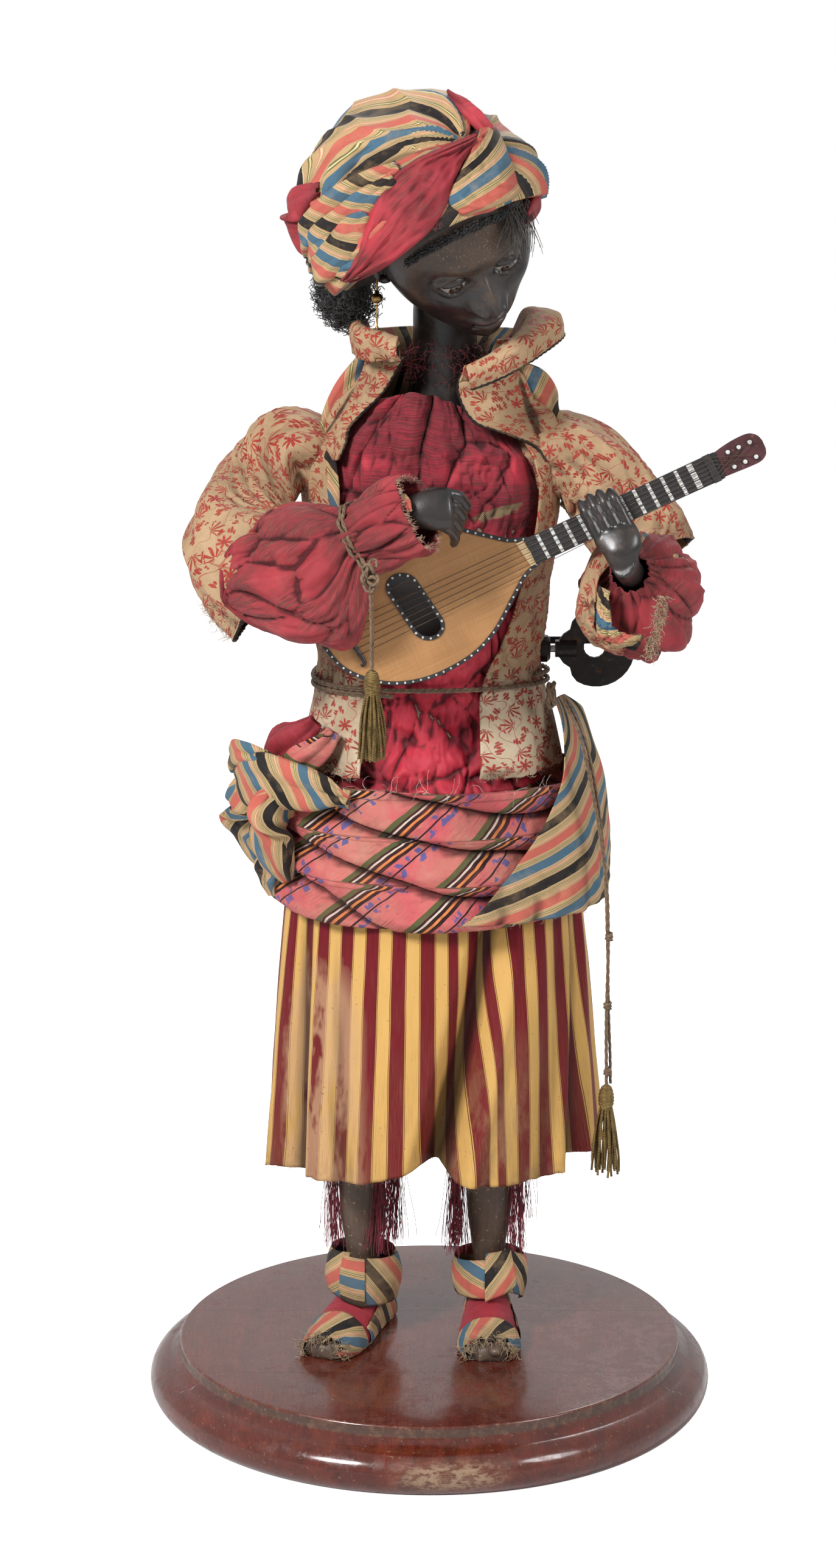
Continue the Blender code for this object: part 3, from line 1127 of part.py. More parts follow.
JACKET_ROWS = (
    (JACKET_HEM_Z, 0.0785, 0.0655, -31, 24), (0.4340, 0.0735, 0.0600, -31, 24),
    (BELT_Z, 0.0670, 0.0530, -33, 27), (0.4900, 0.0685, 0.0540, -38, 40), (0.5350, 0.0740, 0.0565, -44, 53),
    (0.5750, 0.0765, 0.0560, -50, 56), (0.5950, 0.0740, 0.0500, -54, 54), (0.6100, 0.0620, 0.0430, -60, 54),
    (0.6210, 0.0440, 0.0360, -66, 56), (0.6370, 0.0325, 0.0317, -61, 48), (0.6540, 0.0370, 0.0340, -56, 40),
    (0.6660, 0.0530, 0.0440, -50, 34),
)


def make_jacket():
    rows = []
    for level, (height, half_x, half_y, left, right) in enumerate(JACKET_ROWS):
        start, end = math.radians(right), math.radians(360 + left)
        row = []
        for step in range(16):
            turn = start + (end - start) * step / 15
            wave = 0.0022 * math.sin(5 * turn) if level < 2 else 0.0
            shift = NECK_AXIS.x * max(0.0, (height - 0.60) / 0.066)
            row.append(body_point(turn, half_x + wave, half_y + wave, height, shift))
        rows.append(row)
    jacket = cloth("jacket", rows, BROCADE, False)
    side = torso_size(AXIS_Z)[0]
    boolean(jacket, x_rod("collar_room", side, side + 0.06, BARREL_AT, KEY_COLLAR_RADIUS + 0.0012, IRON, 10))
    lever_slot = block("jacket_lever_slot", (side - 0.02, STOP_LEVER_Y - 0.003, AXIS_Z - 0.012),
                       (side + 0.03, STOP_LEVER_Y + 0.003, AXIS_Z + 0.012), IRON)
    boolean(jacket, lever_slot)


TROUSER_HALF_TOP = (0.0860, 0.0640)
TROUSER_HALF_HEM = (0.1020, 0.0810)
TROUSER_CENTRE_X = 0.0025
# Each fold: its bearing at the waist and at the hem in degrees, its width there and its depth at the hem
TROUSER_FOLD_LINES = (
    (28, 3, 9, -0.0120), (40, 18, 11, 0.0035), (-8, -14, 12, 0.0030), (-38, -36, 10, -0.0040),
    (-62, -58, 9, -0.0070), (-80, -78, 11, 0.0030), (62, 46, 9, -0.0045), (80, 66, 9, -0.0070),
    (100, 92, 12, 0.0030), (128, 124, 10, -0.0060), (180, 180, 12, -0.0110), (205, 210, 12, 0.0030),
    (232, 236, 10, -0.0060),
)


def trouser_ring(height, sides=40):
    drop = (TROUSER_TOP_Z - height) / (TROUSER_TOP_Z - TROUSER_HEM_Z)
    half_x = TROUSER_HALF_TOP[0] + (TROUSER_HALF_HEM[0] - TROUSER_HALF_TOP[0]) * drop ** 0.8
    half_y = TROUSER_HALF_TOP[1] + (TROUSER_HALF_HEM[1] - TROUSER_HALF_TOP[1]) * drop ** 0.8
    row = []
    for step in range(sides):
        turn = 2 * math.pi * step / sides
        fold = 0.0
        for top, hem, width, depth in TROUSER_FOLD_LINES:
            away = math.remainder(turn - math.radians(top + (hem - top) * drop), 2 * math.pi)
            fold += depth * (0.15 + 0.85 * drop) * math.exp(-(away / math.radians(width)) ** 2)
        row.append(body_point(turn, half_x + fold, half_y + fold, height, TROUSER_CENTRE_X))
    return row


def make_trousers():
    levels = 6
    length = TROUSER_TOP_Z - TROUSER_HEM_Z
    rows = [trouser_ring(TROUSER_HEM_Z + length * level / (levels - 1)) for level in range(levels)]
    cloth("trousers", rows, SATIN_STRIPE, True)


def wrap_half(height):
    """Inside size of the hip wrap, which clears the trousers under it."""
    part = (height - WRAP_HEM_Z) / (WRAP_TOP_Z - WRAP_HEM_Z)
    return 0.0985 - 0.0080 * part, 0.0800 - 0.0080 * part


def make_wrap():
    rows = []
    levels = 6
    for level in range(levels):
        height = WRAP_HEM_Z + (WRAP_TOP_Z - WRAP_HEM_Z) * level / (levels - 1)
        half_x, half_y = wrap_half(height)
        row = []
        for step in range(28):
            turn = 2 * math.pi * step / 28
            swag = 0.0024 * abs(math.sin(math.pi * 3 * level / (levels - 1) + 0.9 * math.sin(turn + 0.6)))
            dip = -0.0050 * math.cos(turn) * (1 - level / (levels - 1))
            row.append(body_point(turn, half_x + swag, half_y + swag, height + dip, TROUSER_CENTRE_X))
        rows.append(row)
    cloth("hip_wrap", rows, PINK_WEAVE, True, 0.0020)


def make_drape():
    """The striped cloth that falls from the belt over the left hip, wider towards its lower edge."""
    rows = []
    levels = 8
    for level in range(levels):
        part = level / (levels - 1)
        height = 0.3330 + (0.4470 - 0.3330) * part
        low_turn = math.radians(34 + 28 * part)
        high_turn = math.radians(150 - 42 * part)
        half_x = 0.1070 - 0.0275 * part ** 2.6
        half_y = 0.0890 - 0.0230 * part ** 2.6
        row = []
        for step in range(12):
            turn = low_turn + (high_turn - low_turn) * step / 11
            fold = 0.0016 * math.sin(6.5 * turn + 2.0 * part)
            dip = 0.0080 * math.cos(turn) * (1 - part)
            row.append(body_point(turn, half_x + fold, half_y + fold, height - dip, TROUSER_CENTRE_X))
        rows.append(row)
    cloth("side_drape", rows, STRIPED_SILK, False, 0.0016)


def make_bunch():
    stations = []
    route = ((18, 0.1080, 0.408, 0.006), (34, 0.1090, 0.404, 0.010), (54, 0.1120, 0.398, 0.0125),
             (72, 0.1165, 0.388, 0.0140), (88, 0.1170, 0.377, 0.0120), (100, 0.1140, 0.368, 0.0065))
    for index, (bearing, half, height, radius) in enumerate(route):
        turn = -math.radians(bearing)
        centre = body_point(turn, half, half - 0.0185, height, TROUSER_CENTRE_X)
        stations.append((centre, radius * 1.35, radius * (0.9 if index % 2 else 1.05)))
    bunch = limb("side_bunch", stations, (0, 0, 1), STRIPED_SILK, sides=14)
    bunch.data.shade_smooth()


def sleeve(name, stations, look, across, sides=20, wall=CLOTH_WALL, fold=0.0015):
    """An open sleeve over stations of (centre, direction, half width, half depth)."""
    rows = []
    for level, (centre, along, half_across, half_over) in enumerate(stations):
        row = ring_about(centre, along, across, half_across, half_over, sides)
        for step, point in enumerate(row):
            pull = fold * math.sin(step * 2 * math.pi * 5 / sides + level * 1.3)
            point += (point - Vector(centre)).normalized() * pull
        rows.append(row)
    return cloth(name, rows, look, True, wall)


def make_sleeves():
    right = ((Vector((-0.0815, 0.0100, 0.5930)), (-1.0, 0.0, -0.05), 0.0250, 0.0250),
             (Vector((-0.1030, 0.0040, 0.5800)), (-0.70, -0.45, -0.75), 0.0310, 0.0300),
             (Vector((-0.1160, -0.0180, 0.5600)), (-0.15, -0.85, -0.60), 0.0350, 0.0330),
             (Vector((-0.1190, -0.0430, 0.5420)), (0.25, -0.90, -0.25), 0.0390, 0.0350),
             (Vector((-0.1080, -0.0640, 0.5310)), (0.72, -0.68, -0.02), 0.0410, 0.0360))
    sleeve("jacket_sleeve_right", right, BROCADE, (0, -0.8, 1))
    left = ((Vector((0.0815, 0.0100, 0.5930)), (1.0, 0.0, -0.05), 0.0250, 0.0250),
            (Vector((0.1020, 0.0080, 0.5800)), (0.75, -0.05, -0.9), 0.0280, 0.0265),
            (Vector((0.1160, 0.0040, 0.5620)), (0.55, -0.15, -1.0), 0.0285, 0.0270),
            (Vector((0.1270, -0.0010, 0.5450)), (0.45, -0.30, -1.0), 0.0300, 0.0285))
    sleeve("jacket_sleeve_left", left, BROCADE, (0, 1, 0))


def make_under_sleeve(name, elbow, wrist, hand_room, across, parts):
    reach = wrist - elbow
    stations = []
    for part, half, depth, sag in parts:
        stations.append((elbow + reach * part + Vector((0, 0, -sag)), half, depth))
    sides, folds, depth = 18, 4, 0.0016
    made = limb(name, stations, across, RED_SILK, sides=sides)
    for index, vertex in enumerate(made.data.vertices):
        ring, step = divmod(index, sides)
        outward = (vertex.co - stations[ring][0]).normalized()
        vertex.co += outward * depth * math.sin(step * 2 * math.pi * folds / sides + ring * 1.1)
    boolean(made, limb(f"{name}_room", hand_room, (0, 0, 1), RED_SILK, sides=12))
    set_pivot(made, elbow)
    return made


def make_under_sleeves():
    reach = WRIST_RIGHT - ELBOW_RIGHT
    room = [(ELBOW_RIGHT + reach * part, half, half * 0.9) for part, half in
            ((-0.30, 0.0120), (0.04, 0.0112), (0.40, 0.0112), (0.75, 0.0095), (0.88, 0.0112), (1.10, 0.0124))]
    parts = ((0.10, 0.0240, 0.0210, 0.000), (0.24, 0.0310, 0.0230, 0.004), (0.40, 0.0360, 0.0220, 0.008),
             (0.56, 0.0360, 0.0210, 0.008), (0.72, 0.0270, 0.0200, 0.003), (0.82, 0.0200, 0.0170, 0.001),
             (0.90, 0.0230, 0.0170, 0.001), (0.97, 0.0240, 0.0150, 0.0))
    sleeve_right = make_under_sleeve("under_sleeve_right", ELBOW_RIGHT, WRIST_RIGHT, room, (0, 0, 1), parts)
    corners = ((-0.150, -0.07), (0.02, -0.07), (0.02, 0.08), (-0.150, 0.08))
    behind = [[lute_point(s, t, out) for s, t in corners] for out in (-0.07, LUTE_CLEAR)]
    boolean(sleeve_right, loft("lute_room", behind, RED_SILK))
    reach = WRIST_LEFT - ELBOW_LEFT
    room = [(ELBOW_LEFT + reach * part, half, half * 0.9) for part, half in
            ((-0.40, 0.0120), (0.05, 0.0112), (0.40, 0.0112), (0.68, 0.0112), (0.80, 0.0165), (1.10, 0.0190))]
    parts = ((0.12, 0.0170, 0.0170, 0.000), (0.26, 0.0250, 0.0240, 0.003), (0.42, 0.0350, 0.0330, 0.004),
             (0.58, 0.0370, 0.0350, 0.004), (0.72, 0.0290, 0.0280, 0.002), (0.82, 0.0165, 0.0160, 0.000))
    make_under_sleeve("under_sleeve_left", ELBOW_LEFT, WRIST_LEFT, room, (0, 0, 1), parts)


# Cords and tassels
CORD_RADIUS = 0.0012
SIDE_CORD_ROUTE = (
    Vector((0.0800, -0.0300, 0.4520)), Vector((0.0900, -0.0430, 0.4300)), Vector((0.0990, -0.0500, 0.3900)),
    Vector((0.1060, -0.0480, 0.3450)), Vector((0.1080, -0.0440, 0.3000)), Vector((0.1075, -0.0420, 0.2550)),
    Vector((0.1080, -0.0420, 0.2135)),
)
WRIST_CORD_ROUTE = (
    Vector((-0.0345, -0.1335, 0.5480)), Vector((-0.0340, -0.1360, 0.5340)),
    Vector((-0.0335, -0.1355, 0.5120)), Vector((-0.0335, -0.1350, 0.4895)),
)


def make_cords():
    steps = 18
    drop = BELT_CORD_RADIUS * 2.7
    waist_x, waist_y = [row[1:3] for row in JACKET_ROWS if row[0] == BELT_Z][0]
    room = CLOTH_WALL + BELT_CORD_RADIUS + 0.0032
    points = []
    for step in range(2 * steps - 3):
        turn = math.radians(62) + 2 * math.pi * step / steps
        height = BELT_Z + drop * (0.5 - step / steps)
        points.append(body_point(turn, waist_x + room, waist_y + room, height))
    tube("belt_cord", points, BELT_CORD_RADIUS, CORD)
    tube("side_cord", smooth_route(SIDE_CORD_ROUTE, 34), CORD_RADIUS, CORD)
    tassel_top = Vector((0, 0, GAP))
    make_tassel("side_tassel", SIDE_CORD_ROUTE[-1] - tassel_top, 0.0570, 0.0085)

    elbow = bpy.data.objects.new("forearm_right_axis", None)
    elbow.location = ELBOW_RIGHT
    PARTS.objects.link(elbow)
    cord = tube("wrist_cord", smooth_route(WRIST_CORD_ROUTE, 10), CORD_RADIUS, CORD)
    tassel = make_tassel("wrist_tassel", WRIST_CORD_ROUTE[-1] - tassel_top, 0.0540, 0.0080)
    for made in (cord, tassel):
        made.location -= ELBOW_RIGHT
        made.parent = elbow


def make_tassel(name, top, length, radius):
    head = length * 0.24
    profile = [(0.0, 0.0), (radius * 0.35, 0.0), (radius * 0.80, -head * 0.35), (radius * 0.85, -head * 0.75),
               (radius * 0.62, -head), (radius * 0.78, -head * 1.35), (radius, -length * 0.75),
               (radius * 0.92, -length), (0.0, -length)]
    tassel = turned(name, profile, GOLD_THREAD, 12, place=top)
    soften(tassel)
    return tassel


make_base()
FEET = (("right", ANKLE_RIGHT, TOE_TURN_RIGHT), ("left", ANKLE_LEFT, TOE_TURN_LEFT))
for foot_side, foot_ankle, foot_turn in FEET:
    make_bolt(foot_side, foot_ankle)
    make_leg(foot_side, foot_ankle, foot_turn)
    make_sandal(foot_side, foot_ankle, foot_turn)
make_pelvis()
make_torso_half("torso_front_shell", False)
make_torso_half("torso_back_cover", True)
make_key_collar()
make_clockwork()
make_key()
EARRING_TOP = make_head() + HEAD_RIGHT * -0.0065
make_eyes()
make_eyelids()
make_lip()
make_turban()
make_hair()
make_earring(EARRING_TOP)
make_neck()
make_soundboard()
make_bowl()
make_neck_of_lute()
make_strings()
make_upper_arm("right", SHOULDER_RIGHT, ELBOW_RIGHT)
make_upper_arm("left", SHOULDER_LEFT, ELBOW_LEFT)
make_hand_right()
make_hand_left()
make_blouse()
make_jacket()
make_trousers()
make_wrap()
make_drape()
make_bunch()
make_sleeves()
make_under_sleeves()
make_cords()
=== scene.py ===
"""The looks of a musical automaton: a standing figure in worn silk and brocade that plays a lute.

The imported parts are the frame. Each section below makes the visible form of one piece, or of a group
of like pieces, and says which body it moves with.
"""

import math
import random

import bmesh
import bpy
import numpy as np
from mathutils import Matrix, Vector, noise


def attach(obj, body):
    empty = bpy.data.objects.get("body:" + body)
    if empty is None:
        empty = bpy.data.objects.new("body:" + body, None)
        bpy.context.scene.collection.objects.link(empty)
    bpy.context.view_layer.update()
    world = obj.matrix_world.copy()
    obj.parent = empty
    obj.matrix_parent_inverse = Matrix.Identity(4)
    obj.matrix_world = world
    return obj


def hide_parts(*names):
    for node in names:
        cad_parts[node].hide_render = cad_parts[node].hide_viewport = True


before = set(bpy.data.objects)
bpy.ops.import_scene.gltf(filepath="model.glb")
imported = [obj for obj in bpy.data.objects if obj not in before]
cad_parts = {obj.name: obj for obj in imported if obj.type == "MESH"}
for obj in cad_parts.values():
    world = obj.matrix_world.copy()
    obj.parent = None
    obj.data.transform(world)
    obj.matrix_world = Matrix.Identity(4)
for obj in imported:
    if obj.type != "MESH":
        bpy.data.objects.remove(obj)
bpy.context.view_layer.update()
scene = bpy.context.scene
scene.view_settings.view_transform = "Standard"

# Stage: a white studio sweep with two large soft lamps in front and a dimmer one behind.
# The figure stands on a plain floor that keeps only its shadow.
camera_lens = bpy.data.cameras.new("camera")
camera_lens.lens = 84.7
camera_lens.sensor_width = 36.0
camera = bpy.data.objects.new("camera", camera_lens)
camera.location = (-0.0072, -2.2, 0.893)
camera.rotation_euler = (math.radians(90.0 - 12.82), 0.0, 0.0)
scene.collection.objects.link(camera)
scene.camera = camera


def soft_lamp(name, place, aim, size, power):
    lamp = bpy.data.lights.new(name, "AREA")
    lamp.shape = "DISK"
    lamp.size = size
    lamp.energy = power
    made = bpy.data.objects.new(name, lamp)
    made.location = place
    made.rotation_euler = (Vector(aim) - Vector(place)).to_track_quat("-Z", "Y").to_euler()
    scene.collection.objects.link(made)


soft_lamp("lamp_left", (-1.5, -1.7, 1.9), (0.0, 0.0, 0.45), 0.7, 72.0)
soft_lamp("lamp_right", (1.7, -1.3, 1.5), (0.0, 0.0, 0.45), 0.9, 22.0)
soft_lamp("lamp_back", (0.3, 1.8, 1.9), (0.0, 0.0, 0.5), 1.0, 14.0)

world = bpy.data.worlds.new("studio")
scene.world = world
world.use_nodes = True
sky = world.node_tree
ray = sky.nodes.new("ShaderNodeLightPath")
seen = sky.nodes.new("ShaderNodeMath")
seen.operation = "MAXIMUM"
sky.links.new(ray.outputs["Is Transmission Ray"], seen.inputs[0])
sky.links.new(ray.outputs["Is Glossy Ray"], seen.inputs[1])
strength = sky.nodes.new("ShaderNodeMapRange")
strength.inputs["To Min"].default_value = 0.23
strength.inputs["To Max"].default_value = 0.62
sky.links.new(seen.outputs[0], strength.inputs["Value"])
brightest = sky.nodes.new("ShaderNodeMath")
brightest.operation = "MAXIMUM"
sky.links.new(strength.outputs["Result"], brightest.inputs[0])
sky.links.new(ray.outputs["Is Camera Ray"], brightest.inputs[1])
backdrop = sky.nodes["Background"]
backdrop.inputs["Color"].default_value = (1.0, 1.0, 1.0, 1.0)
sky.links.new(brightest.outputs[0], backdrop.inputs["Strength"])

floor_mesh = bpy.data.meshes.new("floor")
FLOOR_HALF, FLOOR_Z = 4.0, -0.0002
floor_mesh.from_pydata([(x * FLOOR_HALF, y * FLOOR_HALF, FLOOR_Z)
                        for x, y in ((-1, -1), (1, -1), (1, 1), (-1, 1))],
                       [], [(0, 1, 2, 3)])
floor = bpy.data.objects.new("floor", floor_mesh)
scene.collection.objects.link(floor)
floor_paint = bpy.data.materials.new("floor_paper")
floor_paint.use_nodes = True
paper_nodes = floor_paint.node_tree
paper_shader = paper_nodes.nodes["Principled BSDF"]
paper_shader.inputs["Base Color"].default_value = (0.80, 0.80, 0.80, 1.0)
paper_shader.inputs["Roughness"].default_value = 0.9
paper_shader.inputs["Specular IOR Level"].default_value = 0.0
paper_shader.inputs["Emission Color"].default_value = (1.0, 1.0, 1.0, 1.0)
paper_ray = paper_nodes.nodes.new("ShaderNodeLightPath")
paper_glow = paper_nodes.nodes.new("ShaderNodeMath")
paper_glow.operation = "MULTIPLY"
paper_glow.inputs[1].default_value = 0.88
paper_nodes.links.new(paper_ray.outputs["Is Camera Ray"], paper_glow.inputs[0])
paper_nodes.links.new(paper_glow.outputs[0], paper_shader.inputs["Emission Strength"])
floor_mesh.materials.append(floor_paint)

# Base: one turned plinth of solid mahogany, French polished. Its flat top stands on a small step
# above a big round moulding. The polish is rubbed thin on the edges and scuffed at the front.


class Wire:
    """One output of a shader node, which adds, multiplies and compares like a number."""

    def __init__(self, socket):
        self.socket = socket
        self.tree = socket.id_data

    def math(self, operation, *others, clamp=False):
        node = self.tree.nodes.new("ShaderNodeMath")
        node.operation = operation
        node.use_clamp = clamp
        for place, value in zip(node.inputs, (self, *others)):
            plug(value, place)
        return Wire(node.outputs[0])

    def __add__(self, other):
        return self.math("ADD", other)

    def __sub__(self, other):
        return self.math("SUBTRACT", other)

    def __mul__(self, other):
        return self.math("MULTIPLY", other)

    __radd__ = __add__
    __rmul__ = __mul__

    def fract(self):
        return self.math("FRACT")

    def above(self, edge, soft=0.0):
        """0 below the edge and 1 above it, with a soft step where one is given."""
        if not soft:
            return self.math("GREATER_THAN", edge)
        return (self - (edge - soft)).math("DIVIDE", 2 * soft, clamp=True)

    def power(self, other):
        return self.math("POWER", other)

    def largest(self, other):
        return self.math("MAXIMUM", other)

    def smallest(self, other):
        return self.math("MINIMUM", other)

    def sine(self):
        return self.math("SINE")

    def size(self):
        return self.math("ABSOLUTE")

    def flipped(self):
        """1 where it was 0, and 0 where it was 1."""
        return self * -1.0 + 1.0


def plug(value, socket):
    if isinstance(value, Wire):
        value.tree.links.new(value.socket, socket)
    elif isinstance(value, tuple) and len(value) == 3 and socket.type == "RGBA":
        socket.default_value = (*value, 1.0)
    else:
        socket.default_value = value


class Finish:
    """A material under construction: its coordinates, its patterns and its shader."""

    def __init__(self, name, colour, roughness, **sockets):
        self.material = bpy.data.materials.new(name)
        self.material.use_nodes = True
        self.tree = self.material.node_tree
        self.shader = self.tree.nodes["Principled BSDF"]
        self.set("Base Color", colour)
        self.set("Roughness", roughness)
        for socket, value in sockets.items():
            self.set(socket.replace("_", " "), value)
        self.heights = []

    def set(self, socket, value):
        plug(value, self.shader.inputs[socket])

    def node(self, kind, inputs=(), output=0, **settings):
        made = self.tree.nodes.new(kind)
        for key, value in settings.items():
            setattr(made, key, value)
        for place, value in dict(inputs).items():
            plug(value, made.inputs[place])
        return Wire(made.outputs[output])

    def place(self):
        """Object coordinates in metres."""
        return self.node("ShaderNodeTexCoord", output="Object")

    def cloth(self):
        """The cloth's own coordinates in metres, along its width and its length."""
        return self.node("ShaderNodeUVMap", uv_map="weave")

    def split(self, vector):
        node = self.tree.nodes.new("ShaderNodeSeparateXYZ")
        plug(vector, node.inputs[0])
        return [Wire(output) for output in node.outputs]

    def join(self, x, y, z=0.0):
        return self.node("ShaderNodeCombineXYZ", {0: x, 1: y, 2: z})

    def scaled(self, vector, x, y, z=1.0):
        return self.node("ShaderNodeMapping", {"Vector": vector, "Scale": (x, y, z)})

    def noise(self, vector, scale, detail=2.0, rough=0.5, distort=0.0):
        inputs = {"Vector": vector, "Scale": scale, "Detail": detail, "Roughness": rough,
                  "Distortion": distort}
        return self.node("ShaderNodeTexNoise", inputs)

    def cells(self, vector, scale, feature="F1", output="Distance"):
        return self.node("ShaderNodeTexVoronoi", {"Vector": vector, "Scale": scale}, output, feature=feature)

    def mix(self, part, low, high):
        node = self.tree.nodes.new("ShaderNodeMix")
        node.data_type = "RGBA"
        plug(part, node.inputs[0])
        plug(low, node.inputs[6])
        plug(high, node.inputs[7])
        return Wire(node.outputs[2])

    def blend(self, part, low, high):
        """A number between two, by a part from 0 to 1."""
        node = self.tree.nodes.new("ShaderNodeMix")
        plug(part, node.inputs[0])
        plug(low, node.inputs[2])
        plug(high, node.inputs[3])
        return Wire(node.outputs[0])

    def attribute(self, name):
        return self.node("ShaderNodeAttribute", output="Fac", attribute_name=name)

    def fold_shaded(self, colour, dark=(0.012, 0.006, 0.006), most=0.78):
        """The colour darkened by painted shade down in the folds of a cloth, more where a fold is deeper;
        dark is the colour of that shade and most its greatest share.
        """
        return self.mix((self.attribute("crease") * 0.62).largest(0.0).smallest(most), colour, dark)

    def stripes(self, position, repeat, bands):
        """Hard-edged bands of (width, colour), which repeat across the cloth."""
        node = self.tree.nodes.new("ShaderNodeValToRGB")
        node.color_ramp.interpolation = "CONSTANT"
        total = sum(width for width, colour in bands)
        at = 0.0
        for index, (width, colour) in enumerate(bands):
            stops = node.color_ramp.elements
            stop = stops[index] if index < 2 else stops.new(at)
            stop.position = at
            stop.color = (*colour, 1.0)
            at += width / total
        plug((position * (1.0 / repeat)).fract(), node.inputs[0])
        return Wire(node.outputs[0])

    def raise_by(self, height, distance):
        self.heights.append((height, distance))

    def done(self):
        """Joins the heights to the shader as bumps, one after another, and returns the material."""
        last = None
        for height, distance in self.heights:
            node = self.tree.nodes.new("ShaderNodeBump")
            node.inputs["Distance"].default_value = distance
            plug(height, node.inputs["Height"])
            if last is not None:
                plug(last, node.inputs["Normal"])
            last = Wire(node.outputs[0])
        if last is not None:
            self.set("Normal", last)
        return self.material


def mesh_piece(name, points, faces, look, smooth=True, coords=None, closed_up=False):
    """A mesh piece with its place in its vertices. coords holds a (u, v) for each vertex, in metres."""
    mesh = bpy.data.meshes.new(name)
    mesh.from_pydata([tuple(point) for point in points], [], [tuple(face) for face in faces])
    if coords is not None:
        layer = mesh.uv_layers.new(name="weave")
        corners = np.zeros(len(mesh.loops), np.int32)
        mesh.loops.foreach_get("vertex_index", corners)
        layer.data.foreach_set("uv", np.asarray(coords, np.float32)[corners].ravel())
    for material in look if isinstance(look, (list, tuple)) else [look]:
        mesh.materials.append(material)
    if closed_up:
        cage = bmesh.new()
        cage.from_mesh(mesh)
        bmesh.ops.remove_doubles(cage, verts=cage.verts, dist=0.000005)
        bmesh.ops.recalc_face_normals(cage, faces=cage.faces)
        cage.to_mesh(mesh)
        cage.free()
    if smooth:
        mesh.shade_smooth()
    made = bpy.data.objects.new(name, mesh)
    scene.collection.objects.link(made)
    return made


def grid_faces(rows, columns, around=False):
    faces = []
    for row in range(rows - 1):
        for step in range(columns if around else columns - 1):
            after = (step + 1) % columns
            low, high = row * columns, (row + 1) * columns
            faces.append((low + step, low + after, high + after, high + step))
    return faces


def set_on(piece, body, node=None):
    """Puts a piece on its body, and hides the part it stands for where one is named."""
    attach(piece, body)
    if node:
        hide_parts(node)


def lathe(name, profile, sides, look, centre=(0.0, 0.0, 0.0), sharp=math.radians(40)):
    """A closed shape turned about a vertical line, from (radius, height) points that end on it."""
    inner = profile[1:-1]
    points = [(centre[0] + radius * math.cos(2 * math.pi * step / sides),
               centre[1] + radius * math.sin(2 * math.pi * step / sides), centre[2] + height)
              for radius, height in inner for step in range(sides)]
    faces = grid_faces(len(inner), sides, True)
    top, foot = len(points), len(points) + 1
    points += [(centre[0], centre[1], centre[2] + profile[0][1]),
               (centre[0], centre[1], centre[2] + profile[-1][1])]
    last = (len(inner) - 1) * sides
    for step in range(sides):
        after = (step + 1) % sides
        faces.append((after, step, top))
        faces.append((last + step, last + after, foot))
    made = mesh_piece(name, points, faces, look, closed_up=True)
    made.data.set_sharp_from_angle(angle=sharp)
    return made


